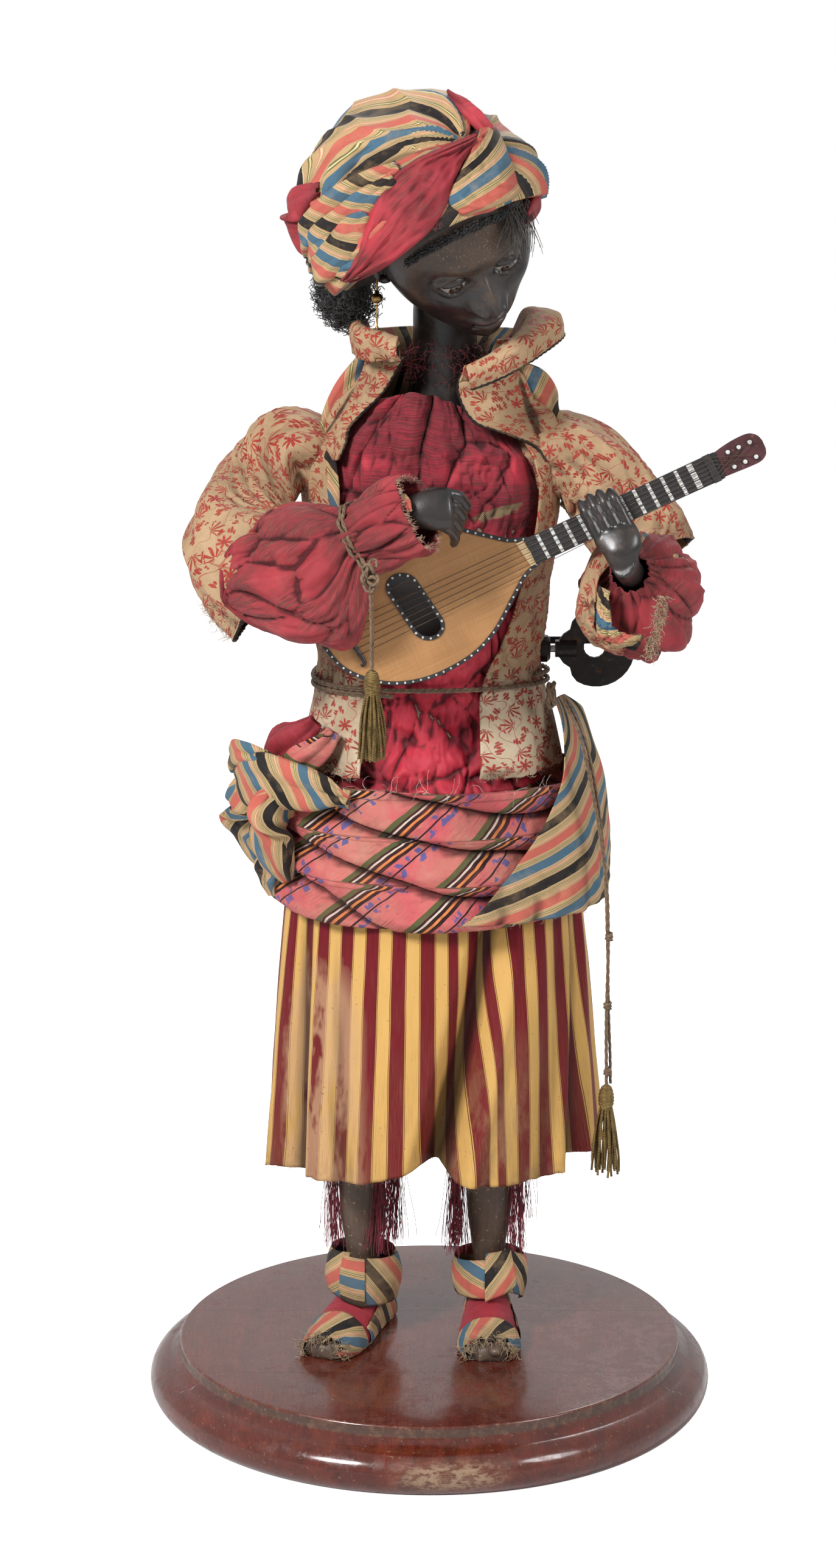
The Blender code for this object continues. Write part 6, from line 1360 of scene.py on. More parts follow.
def blouse_silk():
    made = Finish("blouse_silk", (0.4, 0.03, 0.06), 0.45, Sheen_Weight=0.12, Sheen_Roughness=0.35,
                  Specular_IOR_Level=0.3)
    u, v, _ = made.split(made.cloth())
    place = made.place()
    x, _, z = made.split(place)
    large = made.noise(place, 26.0, 4.0, 0.6)
    colour = made.mix(large.above(0.5, 0.2), (0.38, 0.014, 0.034), (0.64, 0.048, 0.075))
    threads = made.noise(made.scaled(made.cloth(), 26.0, 1900.0), 1.0, 4.0, 0.68, 0.25)
    worn = made.noise(place, 19.0, 3.0, 0.55) + z.above(0.520, 0.03) * 0.14
    bald = worn.above(0.53, 0.07)
    colour = made.mix(bald * 0.6, colour, (0.190, 0.020, 0.032))
    colour = made.mix(threads.above(0.50, 0.05) * bald * 0.8, colour, (0.062, 0.013, 0.018))
    colour = made.mix(threads.above(0.62, 0.03) * bald * 0.6, colour, (0.34, 0.17, 0.10))
    hole_x, hole_z = (x - 0.040) * (1 / 0.019), (z - 0.5640 - (x - 0.040) * 0.25) * (1 / 0.0042)
    edge = made.noise(made.scaled(place, 1.0, 1.0, 3.0), 190.0, 4.0, 0.7) * 1.6 - 0.3
    hole = (hole_x * hole_x + hole_z * hole_z + edge).above(1.1, 0.12).flipped()
    mesh = (x * 5200.0).sine() * (z * 5200.0).sine()
    gauze = made.mix(mesh.above(0.0, 0.4), (0.14, 0.085, 0.045), (0.46, 0.33, 0.18))
    colour = made.mix(hole, colour, gauze)
    soil = made.noise(place, 120.0, 4.0, 0.7).above(0.64, 0.05) * z.above(0.560, 0.03)
    colour = made.mix(soil * 0.6, colour, (0.11, 0.045, 0.040))
    made.set("Base Color", made.fold_shaded(colour, (0.020, 0.002, 0.004)))
    made.set("Roughness", made.blend(bald, 0.36, 0.75))
    made.raise_by(threads * bald, 0.0005)
    made.raise_by(mesh * hole, 0.0003)
    weave_bump(made, u, v, 0.00045, 0.00004)
    made.raise_by(made.noise(place, 115.0, 3.0, 0.6), 0.0004)
    return made.done()


blouse_look = blouse_silk()
blouse_rows = []
for level in np.linspace(0.0, 1.0, 150):
    z = 0.3960 + 0.2300 * level
    half_x, half_y = level_sizes(TORSO, min(z, 0.5980))
    half_x, half_y = half_x + 0.011 * max(0.0, 0.426 - z) / 0.03, half_y + 0.011 * max(0.0, 0.426 - z) / 0.03
    if z > 0.598:
        half_x, half_y = half_x - (z - 0.598) * 0.95, half_y - (z - 0.598) * 0.50
    near = min(abs(z - 0.5480), abs(z - 0.4360)) / 0.020
    puff = 1.0 - math.exp(-near ** 2)
    row = []
    for turn in np.linspace(math.radians(-84), math.radians(84), 220):
        gather = 0.0018 * ridge(turn * 8.0, z * 40.0 + 0.6 * math.sin(turn * 5), 1.0) * (1.15 - puff)
        bend = 0.5 * noise.noise(Vector((turn * 2.0, z * 22.0, 9.0)))
        folds = 0.0108 * puffs(turn * 1.5 + bend + z * 8.0, z * 27.0 - turn * 1.1, 4.0) * (0.35 + 0.65 * puff)
        folds += 0.0034 * puffs(turn * 3.2 - z * 14.0, z * 50.0 + turn * 2.2 + bend, 8.0)
        folds += 0.0016 * ridge(turn * 6.0 + z * 50.0, z * 60.0 - turn * 6.0, 12.0) - 0.0068
        reach = 0.0034 + 0.0030 * puff + gather + folds
        if abs(turn) > 0.7:
            reach = min(reach, 0.0038 + 0.0030 * max(0.0, 1.0 - (abs(turn) - 0.7) * 3.0))
        pinch = 0.0016 * noise.noise(Vector((turn * 7.0, z * 60.0, 3.0)))
        pull_in = 0.0080 * math.exp(-((turn + 0.25) / 0.5) ** 2) - 0.0100 * step_up(turn, 0.2, 1.2)
        pinch += pull_in * max(0.0, level - 0.8) * 5
        row.append(body_point(turn, half_x + reach, half_y + reach, z + pinch, 0.0))
    blouse_rows.append(row)
blouse = sheet_piece("blouse_silk", blouse_rows, arc_coords(blouse_rows), [blouse_look], 0.0007)
set_on(blouse, "root", "blouse")

# Jacket: tan brocade with red flower sprigs, lined with the striped taffeta. It stands open over the
# blouse, is drawn in by the belt, and ends in two frayed flaps. The collar turns down in rolled folds.


def brocade(name, ground, shade):
    made = Finish(name, ground, 0.62, Sheen_Weight=0.02, Sheen_Roughness=0.4, Specular_IOR_Level=0.14)
    cloth, place = made.cloth(), made.place()
    v, z = made.split(cloth)[1], made.split(place)[2]
    grid = made.scaled(cloth, 1 / 0.0132, 1 / 0.0132)
    wobble = made.noise(grid, 2.2, 2.0)
    grid = made.node("ShaderNodeVectorMath", {0: grid, 1: made.join(wobble * 0.16, wobble * -0.14)}, "Vector",
                     operation="ADD")

    def motifs(scale, randomness):
        fine = made.scaled(grid, scale, scale)
        cells = {"Vector": fine, "Scale": 1.0, "Randomness": randomness}
        at = made.node("ShaderNodeTexVoronoi", cells, "Position", voronoi_dimensions="2D")
        tint = made.node("ShaderNodeTexVoronoi", cells, "Color", voronoi_dimensions="2D")
        local = made.node("ShaderNodeVectorMath", {0: fine, 1: at}, "Vector", operation="SUBTRACT")
        across, along, _ = made.split(local)
        pick, spin_by, other = made.split(tint)
        radius = (across * across + along * along).math("SQRT")
        return across, along, radius, pick, spin_by, other

    across, along, radius, pick, spin_by, other = motifs(1.0, 0.55)
    angle = along.math("ARCTAN2", across) + spin_by * 6.283
    petal = (angle * 3.5).math("COSINE").size()
    is_flower = pick.above(0.12)
    is_round = pick.above(0.70)
    petal_edge = petal.power(1.5) * 0.24 + 0.085
    fan = (angle * 5.5).math("COSINE").size().power(2.6)
    fan = fan * (angle.math("COSINE") * 0.5 + 0.5).power(1.4) * 0.60
    edge = made.blend(is_round, fan + 0.035, petal_edge)
    flower = edge.math("GREATER_THAN", radius) * radius.above(0.035) * is_flower
    centre = radius.above(0.080).flipped() * is_round
    leaf_x, leaf_y, _, leaf_pick, leaf_spin, _ = motifs(2.1, 1.0)
    turn = leaf_spin * 6.283
    c, s = turn.math("COSINE"), turn.math("SINE")
    long = leaf_x * c + leaf_y * s
    thin = (leaf_y * c - leaf_x * s) + long * long * 0.4
    leaf = (long * long * (1 / 0.15) + thin * thin * (1 / 0.016)).above(1.0).flipped()
    second = thin - 0.24
    leaf_two = (long - 0.12) * (long - 0.12) * (1 / 0.040) + second * second * (1 / 0.010)
    leaf_two = leaf_two.above(1.0).flipped()
    bud_third = thin + 0.25
    leaf_three = (long + 0.10) * (long + 0.10) * (1 / 0.045) + bud_third * bud_third * (1 / 0.010)
    leaf_three = leaf_three.above(1.0).flipped()
    leaves = leaf.largest(leaf_two).largest(leaf_three)
    away = radius.above(0.40).largest(is_flower.flipped())
    leaves = leaves * away * leaf_pick.above(0.05)
    curve = made.noise(grid, 1.15, 0.0)
    stem = (curve - 0.5).size().above(0.0105).flipped()
    stem = stem * radius.above(0.16)
    ribs = (v * (2 * math.pi / 0.00055)).sine()
    threads = made.noise(made.scaled(cloth, 700.0, 3800.0), 1.0, 2.0, 0.6)
    cloud = made.noise(place, 30.0, 4.0, 0.65)
    pale = z.above(0.463, 0.008).flipped()
    base = made.mix(pale * 0.75, ground, (0.680, 0.575, 0.420))
    base = made.mix(cloud.above(0.54, 0.14) * 0.55, base, shade)
    base = made.mix(threads.above(0.55, 0.1) * 0.16, base, (0.20, 0.13, 0.08))
    red = made.mix(other, (0.30, 0.020, 0.018), (0.46, 0.045, 0.034))
    red = made.mix(threads.above(0.5, 0.1) * 0.35, red, (0.20, 0.025, 0.022))
    worn = made.noise(place, 210.0, 4.0, 0.65).above(0.64, 0.05) * -0.6 + 1.0
    colour = made.mix(stem * 0.75 * worn, base, (0.36, 0.085, 0.060))
    colour = made.mix(leaves * 0.92 * worn, colour, red)
    colour = made.mix(flower * 0.95 * worn, colour, red)
    colour = made.mix(centre * is_flower * 0.8, colour, (0.30, 0.030, 0.030))
    soil = made.noise(place, 16.0, 5.0, 0.7).above(0.60, 0.11)
    colour = made.mix(soil * 0.45, colour, (0.125, 0.085, 0.055))
    made.set("Base Color", made.fold_shaded(colour))
    made.set("Roughness", made.blend(leaves.largest(flower), 0.66, 0.46))
    made.raise_by(leaves.largest(flower), 0.00020)
    made.raise_by(ribs, 0.00004)
    made.raise_by(made.noise(place, 95.0, 3.0, 0.6), 0.0009)
    return made.done()


brocade_look = brocade("brocade_jacket", (0.520, 0.352, 0.205), (0.290, 0.180, 0.100))
lining_look = striped_silk("lining_silk", 0.3)
JACKET = ((0.4060, 0.0800, 0.0670, -31, 22), (0.4125, 0.0790, 0.0660, -31, 23),
          (0.4340, 0.0740, 0.0605, -31, 24), (0.4600, 0.0670, 0.0530, -33, 27),
          (0.4900, 0.0685, 0.0540, -38, 40), (0.5350, 0.0740, 0.0565, -44, 53),
          (0.5750, 0.0765, 0.0560, -50, 56), (0.5950, 0.0740, 0.0500, -54, 54),
          (0.6100, 0.0620, 0.0430, -60, 54), (0.6210, 0.0560, 0.0370, -66, 56),
          (0.6370, 0.0490, 0.0325, -61, 48), (0.6540, 0.0430, 0.0340, -56, 40),
          (0.6660, 0.0530, 0.0440, -50, 34))
jacket_levels = smooth_line(JACKET, 150)
jacket_rows = []
for z, half_x, half_y, left, right in jacket_levels:
    shift = 0.009 * max(0.0, (z - 0.60) / 0.066)
    row = []
    low = max(0.0, (0.4500 - z) / 0.044)
    for part in np.linspace(0.0, 1.0, 220):
        degrees = right + (360 + left - right) * part
        turn = math.radians(degrees)
        cinch = math.exp(-((z - 0.4590) / 0.010) ** 2)
        fold = 0.0016 * noise.noise(Vector((turn * 2.2, z * 26.0, 5.0)))
        fold += 0.0016 * cinch * ridge(turn * 11.0, z * 9.0, 6.0)
        fold += 0.0014 * ridge(turn * 4.0 + z * 12.0, z * 20.0 - turn * 2.0, 7.0) * (z > 0.47)
        fold += low * 0.0016 * math.sin(turn * 9.0 + 0.6)
        hem = 0.0025 * noise.noise(Vector((turn * 9.0, 1.0, 8.0))) * max(0.0, 1.0 - (z - 0.406) / 0.01)
        row.append(body_point(turn, half_x + fold + 0.0004, half_y + fold + 0.0004, z + hem, shift))
    jacket_rows.append(row)
jacket = sheet_piece("jacket_brocade", jacket_rows, arc_coords(jacket_rows), [brocade_look, lining_look],
                     0.0012)
set_on(jacket, "root", "jacket")


def on_front(x, z, proud):
    """A point in front of the jacket at a place seen from the front."""
    half_x, half_y = level_sizes([row[:3] for row in JACKET], z)
    shift = 0.009 * max(0.0, (z - 0.60) / 0.066)
    part = max(-0.985, min(0.985, (x - shift) / half_x))
    return (x, 0.012 - half_y * math.sqrt(1.0 - part * part) - proud, z)


def turned_fold(name, outer, inner, proud, roll, looks, seed, turn=0.4, columns=60, across=26,
                wave=0.0012):
    """A turned-down strip of cloth between two edge lines in the front view. It rolls up in its middle."""
    outer, inner = smooth_line(outer, columns), smooth_line(inner, columns)
    rows = []
    for column in range(columns):
        row = []
        for part in np.linspace(-0.12, 1.0, across):
            x, z = outer[column] + (inner[column] - outer[column]) * max(part, 0.0)
            rise = proud + roll * math.sin(math.pi * max(0.0, min(1.0, part * 0.9 + 0.05))) ** 0.6
            if part < 0:
                rise = proud - 0.0022
            ripple = wave * noise.noise(Vector((column * 0.13, part * 2.6, seed)))
            row.append(on_front(x, z, rise + ripple))
        rows.append(row)
    made = sheet_piece(name, rows, arc_coords(rows, turn, (seed * 0.013, 0.0)), looks, 0.0012)
    set_on(made, "root")
    return rows


def edge_piping(name, line, look, diameter=0.0020):
    made, _ = rope(name, line, diameter, look, 2, 0.0040, 10)
    set_on(made, "root")


FOLDS = (
    ("lining_right", ((-0.0380, 0.6590), (-0.0553, 0.6378), (-0.0640, 0.6190), (-0.0650, 0.6070),
                      (-0.0625, 0.5900), (-0.0597, 0.5700), (-0.0570, 0.5560)),
     ((-0.0300, 0.6590), (-0.0434, 0.6367), (-0.0540, 0.6240), (-0.0585, 0.6130), (-0.0570, 0.6000),
      (-0.0540, 0.5800), (-0.0540, 0.5560)), 0.0016, 0.0010, "lining", 2.0, 0.35),
    ("lapel_right", ((-0.0354, 0.6593), (-0.0434, 0.6387), (-0.0553, 0.6269), (-0.0619, 0.6142),
                     (-0.0618, 0.6023), (-0.0573, 0.5952)),
     ((-0.0156, 0.6555), (-0.0279, 0.6350), (-0.0401, 0.6223), (-0.0480, 0.6137), (-0.0504, 0.6047),
      (-0.0545, 0.5955)),
     0.0044, 0.0050, "brocade", 4.0, 0.9),
    ("lining_left", ((0.0545, 0.6500), (0.0680, 0.6440), (0.0756, 0.6330), (0.0774, 0.6198),
                     (0.0873, 0.5960)),
     ((0.0420, 0.6440), (0.0560, 0.6350), (0.0640, 0.6230), (0.0700, 0.6100), (0.0800, 0.5900)), 0.0020,
     0.0012, "lining", 6.0, 1.1),
    ("lapel_left", ((0.0353, 0.6500), (0.0531, 0.6450), (0.0622, 0.6280), (0.0743, 0.6180),
                    (0.0850, 0.5903), (0.0864, 0.5631)),
     ((0.0183, 0.6470), (0.0168, 0.6345), (0.0263, 0.6183), (0.0488, 0.6092), (0.0673, 0.5964),
      (0.0832, 0.5601)),
     0.0050, 0.0052, "brocade", 8.0, 0.2),
)
for name, outer, inner, proud, roll, kind, seed, turn in FOLDS:
    looks = [lining_look] if kind == "lining" else [brocade_look, lining_look]
    if name == "lapel_right":
        looks = [lining_look, brocade_look]
    slot = "striped_silk" if kind == "lining" else "brocade"
    rows = turned_fold(name, outer, inner, proud, roll, looks, seed, turn)
    if kind == "brocade":
        edge_piping(f"{name}_piping", [row[-1] for row in rows], lining_look)


def free_fold(name, edges, looks, seed, body="root", turn=0.3, count=70, across=30, curl=0.004,
              wave=0.0016):
    """A sheet between edge lines in space, smooth from each line to the next."""
    lines = np.array([smooth_line(edge, count) for edge in edges])
    rows = []
    for column in range(count):
        cross = smooth_line(lines[:, column], across)
        row = []
        for step in range(across):
            part = step / (across - 1)
            x, y, z = cross[step]
            ripple = wave * noise.noise(Vector((column * 0.10, part * 3.0, seed)))
            ripple += wave * 0.5 * noise.noise(Vector((column * 0.31, part * 8.0, seed + 2)))
            row.append((x + ripple * 0.5, y - curl * math.sin(math.pi * part) + ripple, z + ripple * 0.4))
        rows.append(row)
    made = sheet_piece(name, rows, arc_coords(rows, turn, (seed * 0.011, 0.0)), looks, 0.0012)
    set_on(made, body)
    return rows


collar_left = free_fold("collar_left", [
    [(0.0480, 0.020, 0.6630), (0.0520, -0.004, 0.6640), (0.0440, -0.026, 0.6560), (0.0300, -0.036, 0.6460),
     (0.0170, -0.040, 0.6430)],
    [(0.0560, 0.018, 0.6800), (0.0600, -0.006, 0.6800), (0.0500, -0.030, 0.6700), (0.0340, -0.040, 0.6590),
     (0.0200, -0.043, 0.6530)],
    [(0.0660, 0.012, 0.6790), (0.0760, -0.008, 0.6800), (0.0600, -0.034, 0.6690), (0.0380, -0.045, 0.6560),
     (0.0220, -0.047, 0.6480)],
    [(0.0640, 0.012, 0.6640), (0.0790, -0.010, 0.6670), (0.0610, -0.034, 0.6560), (0.0390, -0.046, 0.6450),
     (0.0240, -0.048, 0.6400)]], [lining_look, brocade_look], 3.0, turn=0.7)
free_fold("collar_right", [
    [(-0.0330, 0.016, 0.6560), (-0.0360, -0.006, 0.6560), (-0.0300, -0.022, 0.6540),
     (-0.0180, -0.030, 0.6560)],
    [(-0.0380, 0.016, 0.6740), (-0.0410, -0.008, 0.6740), (-0.0330, -0.026, 0.6720),
     (-0.0190, -0.034, 0.6690)],
    [(-0.0440, 0.014, 0.6720), (-0.0470, -0.010, 0.6710), (-0.0370, -0.030, 0.6670),
     (-0.0200, -0.037, 0.6620)],
    [(-0.0430, 0.014, 0.6580), (-0.0450, -0.010, 0.6560), (-0.0360, -0.030, 0.6540),
     (-0.0170, -0.037, 0.6550)]],
    [brocade_look, lining_look], 5.0, turn=1.0)
edge_piping("collar_left_piping", [row[-1] for row in collar_left], lining_look)
spin = random.Random(61)
starts = []
for _ in range(180):
    column = spin.randrange(220)
    x, y, z = jacket_rows[0][column]
    starts.append(((x, y, z + 0.0006), (spin.uniform(-0.7, 0.7), -0.3, -1.0)))
for x_range, z_at in (((-0.0700, -0.0440), 0.4080), ((0.0330, 0.0560), 0.4080)):
    for _ in range(160):
        at = on_front(spin.uniform(*x_range), z_at + spin.uniform(0.0, 0.004), 0.0014)
        starts.append((at, (spin.uniform(-0.7, 0.7), -0.6, -0.9)))
pale_thread = thread_look("brocade_threads", (0.62, 0.50, 0.34), (0.34, 0.25, 0.16))
peplum_fray = frayed_threads("peplum_fray", starts, 62, 0.0060, 0.00016, pale_thread, 0.4, 0.5, 8)
set_on(peplum_fray, "root")

# Jacket sleeves: wide bells of the same brocade, lined with taffeta and piped at the mouth. The right
# one hangs open behind the forearm. The left one is shorter, with its cuff turned back in a flap.


def sleeve_rows(stations, across, count, sides, fold, seed):
    """Rings round stations of (centre, direction, half across, half over), with soft folds."""
    flat = [(*centre, *Vector(direction).normalized(), a, b) for centre, direction, a, b in stations]
    line = smooth_line(flat, count)
    rows = []
    for step in range(count):
        centre, along = line[step, :3], line[step, 3:6] / np.linalg.norm(line[step, 3:6])
        side = np.asarray(across, float) - (along @ np.asarray(across, float)) * along
        side /= np.linalg.norm(side)
        over = np.cross(along, side)
        level = step / (count - 1)
        row = []
        for column in range(sides):
            angle = 2 * math.pi * column / sides
            wave = fold * math.sin(5 * angle + 1.3 * 4 * level)
            swirl = Vector((math.cos(angle) * 2.2, math.sin(angle) * 2.2, level * 5.0 + seed))
            wave += fold * 1.5 * noise.noise(swirl)
            crease = ridge(math.cos(angle) * 2.0 + level, math.sin(angle) * 2.0 + level * 4.0, seed)
            wave += fold * 1.3 * (crease - 0.3)
            row.append(tuple(centre + side * ((line[step, 6] + wave) * math.cos(angle))
                             + over * ((line[step, 7] + wave) * math.sin(angle))))
        rows.append(row)
    return rows


RIGHT_SLEEVE = (((-0.0480, 0.0110, 0.5870), (-1, 0, 0.1), 0.0150, 0.0150),
                ((-0.0690, 0.0110, 0.5935), (-1, 0, 0), 0.0222, 0.0235),
                ((-0.0880, 0.0080, 0.5945), (-0.9, -0.2, -0.35), 0.0235, 0.0235),
                ((-0.1040, -0.0100, 0.5770), (-0.45, -0.5, -0.75), 0.0235, 0.0245),
                ((-0.1120, -0.0300, 0.5570), (-0.15, -0.75, -0.65), 0.0290, 0.0290),
                ((-0.1080, -0.0470, 0.5410), (0.45, -0.60, -0.65), 0.0365, 0.0340),
                ((-0.0950, -0.0550, 0.5320), (0.88, -0.12, -0.45), 0.0420, 0.0350))
LEFT_SLEEVE = (((0.0480, 0.0110, 0.5870), (1, 0, 0.1), 0.0150, 0.0150),
               ((0.0700, 0.0100, 0.5930), (1, 0, 0), 0.0228, 0.0240),
               ((0.0840, 0.0100, 0.5915), (1, 0, -0.15), 0.025, 0.025),
               ((0.1020, 0.0080, 0.5800), (0.75, -0.05, -0.9), 0.028, 0.0265),
               ((0.1160, 0.0040, 0.5620), (0.55, -0.15, -1), 0.0285, 0.027),
               ((0.1270, -0.0010, 0.5450), (0.45, -0.30, -1), 0.030, 0.0285),
               ((0.1300, -0.0040, 0.5330), (0.40, -0.40, -1), 0.031, 0.0290))
SLEEVES = {"right": (RIGHT_SLEEVE, (0.3, 0.0, 1.0), 1.0), "left": (LEFT_SLEEVE, (0.0, 1.0, 0.0), 5.0)}
for side, (stations, across, seed) in SLEEVES.items():
    rows = sleeve_rows(stations, across, 96, 108, 0.0015, seed)
    coords = arc_coords(rows, 1.35 if side == "right" else 1.1, (0.006 * seed, 0.0), True)
    sleeve = sheet_piece(f"jacket_sleeve_{side}_brocade", rows, coords, [brocade_look, lining_look], 0.0012,
                         True)
    set_on(sleeve, "root", f"jacket_sleeve_{side}")
    flat_size([row + row[:1] for row in rows])
    if side == "right":
        edge_piping("sleeve_right_piping", rows[-1] + rows[-1][:1], lining_look, diameter=0.0026)
        spin = random.Random(70)
        starts = []
        for _ in range(130):
            column = spin.randrange(40, 59)
            point = rows[spin.randrange(84, 95)][column]
            starts.append((point, (-0.9, -0.2, spin.uniform(-0.9, 0.4))))
        fray = frayed_threads("sleeve_right_fray", starts, 71, 0.011, 0.00016, tan_thread, 0.5, 0.5, 10)
        set_on(fray, "root")

# Under-sleeves: full red silk puffs on the forearms. The right one is tied with a cord before a cuff that
# has split into threads. The left one is bunched up, with the taffeta lining and a scrap of braid showing.
ELBOW_RIGHT, WRIST_RIGHT = Vector((-0.113, -0.066, 0.522)), Vector((-0.0155, -0.121, 0.578))
ELBOW_LEFT, WRIST_LEFT = Vector((0.138, -0.008, 0.506)), Vector((0.112, -0.096, 0.543))
LUTE_AT = Vector((0.0593, -0.0820, 0.5498))
LUTE_ALONG, LUTE_ACROSS = Vector((0.9063, 0.0, 0.4226)), Vector((-0.4203, 0.1045, 0.9013))
LUTE_OUT = Vector((-0.0442, -0.9945, 0.0947))
puff_look = red_silk("puff_silk", 0.85)


def puff_rows(elbow, wrist, stations, across, count, sides, seed, twist, deep, clear=None):
    line = smooth_line(stations, count)
    along = (wrist - elbow).normalized()
    side = (Vector(across) - along * along.dot(Vector(across))).normalized()
    over = along.cross(side)
    rows = []
    for part, half, depth, sag in line:
        centre = elbow + (wrist - elbow) * part - Vector((0, 0, sag))
        row = []
        for column in range(sides):
            angle = 2 * math.pi * column / sides
            ring = (math.cos(angle) * 1.6, math.sin(angle) * 1.6)
            size = min(half / 0.036, 1.0)
            fold = deep * size * (puffs(ring[0] * 0.85, ring[1] * 0.85, part * twist * 0.45 + seed) - 0.62)
            fold += deep * 0.35 * size * (puffs(ring[0] * 1.7, ring[1] * 1.7, part * twist * 0.5 + seed + 3)
                                          - 0.62)
            fold += deep * 0.22 * (ridge(ring[0] * 1.9 + ring[1] * 0.8, ring[1] * 1.9 + part * 1.4, seed + 5)
                                   - 0.3)
            point = (centre + side * ((half + fold) * math.cos(angle))
                     + over * ((depth + fold) * math.sin(angle)))
            if clear is not None:
                out = (point - LUTE_AT).dot(LUTE_OUT)
                if out < clear:
                    point = point + LUTE_OUT * (clear - out + 0.0004 * (math.sin(angle * 9) + 1))
            row.append(tuple(point))
        rows.append(row)
    return rows


RIGHT_PUFF = ((-0.06, 0.0030, 0.0030, 0.0), (0.0, 0.0150, 0.0140, 0.0), (0.07, 0.0240, 0.0200, 0.0),
              (0.16, 0.0300, 0.0225, 0.002), (0.28, 0.0370, 0.0235, 0.007), (0.42, 0.0425, 0.0225, 0.012),
              (0.54, 0.0420, 0.0215, 0.013), (0.64, 0.0340, 0.0205, 0.009), (0.72, 0.0215, 0.0165, 0.003),
              (0.80, 0.0205, 0.0160, 0.003), (0.90, 0.0225, 0.0165, 0.003), (1.00, 0.0235, 0.0160, 0.003),
              (1.08, 0.0225, 0.0150, 0.003))
rows = puff_rows(ELBOW_RIGHT, WRIST_RIGHT, RIGHT_PUFF, (0, 0, 1), 112, 130, 11.0, 6.0, 0.0086, 0.0046)
puff = sheet_piece("under_sleeve_right_silk", rows, arc_coords(rows, 1.25, (0, 0), True), [puff_look], 0.0007,
                   True)
set_on(puff, "forearm_right", "under_sleeve_right")
flat_size([row + row[:1] for row in rows])
cuff_fray = []
spin = random.Random(81)
for _ in range(420):
    point = rows[-1][spin.randrange(130)]
    cuff_fray.append((point, (1.0, -0.2, spin.uniform(-0.3, 0.6))))
pale_red = thread_look("cuff_threads", (0.60, 0.38, 0.24), (0.24, 0.05, 0.05))
cuff_ends = frayed_threads("cuff_right_fray", cuff_fray, 82, 0.0050, 0.00018, pale_red, 0.3, 0.25, 7)
set_on(cuff_ends, "forearm_right")
tie_line = []
tie_row = rows[int(len(rows) * (0.735 + 0.06) / 1.14)]
for turn_at in np.linspace(0.0, 2.0, 300):
    column = int((turn_at % 1.0) * len(tie_row)) % len(tie_row)
    point = Vector(tie_row[column])
    centre = ELBOW_RIGHT + (WRIST_RIGHT - ELBOW_RIGHT) * 0.735
    outward = (point - centre).normalized() * 0.0010
    along = (WRIST_RIGHT - ELBOW_RIGHT).normalized() * (0.0030 * (turn_at - 1.0))
    tie_line.append(tuple(point + outward + along))
tie_line = smooth_line(tie_line[::6], 300)
tie, _ = rope("wrist_tie", tie_line, 0.0024, twine_look)
set_on(tie, "forearm_right")
bow_line = []
for step in range(150):
    turn = 2 * math.pi * 4.2 * step / 149
    size = 0.0042 + 0.0012 * math.sin(step * 0.31)
    bow_line.append((-0.0345 + size * 0.8 * math.cos(turn) + 0.0010 * math.sin(step * 0.11), -0.1365
                     + 0.0022 * math.sin(turn * 1.5), 0.5490 - 0.011 * step / 149 + size * math.sin(turn)))
bow, _ = rope("wrist_bow", bow_line, 0.0020, twine_look)
set_on(bow, "forearm_right")

LEFT_PUFF = ((-0.12, 0.0030, 0.0030, 0.0), (-0.05, 0.0135, 0.0135, 0.0), (0.04, 0.0190, 0.0190, 0.0),
             (0.14, 0.0230, 0.0230, 0.001), (0.26, 0.0290, 0.0270, 0.003), (0.38, 0.0350, 0.0330, 0.005),
             (0.50, 0.0385, 0.0360, 0.007), (0.60, 0.0375, 0.0355, 0.007), (0.70, 0.0290, 0.0280, 0.004),
             (0.78, 0.0175, 0.0170, 0.001), (0.85, 0.0122, 0.0118, 0.0))
rows = puff_rows(ELBOW_LEFT, WRIST_LEFT, LEFT_PUFF, (0, 0, 1), 104, 130, 17.0, 6.0, 0.0080)
puff_left = sheet_piece("under_sleeve_left_silk", rows, arc_coords(rows, 0.2, (0, 0), True), [puff_look],
                        0.0007, True)
set_on(puff_left, "forearm_left", "under_sleeve_left")
flat_size([row + row[:1] for row in rows])
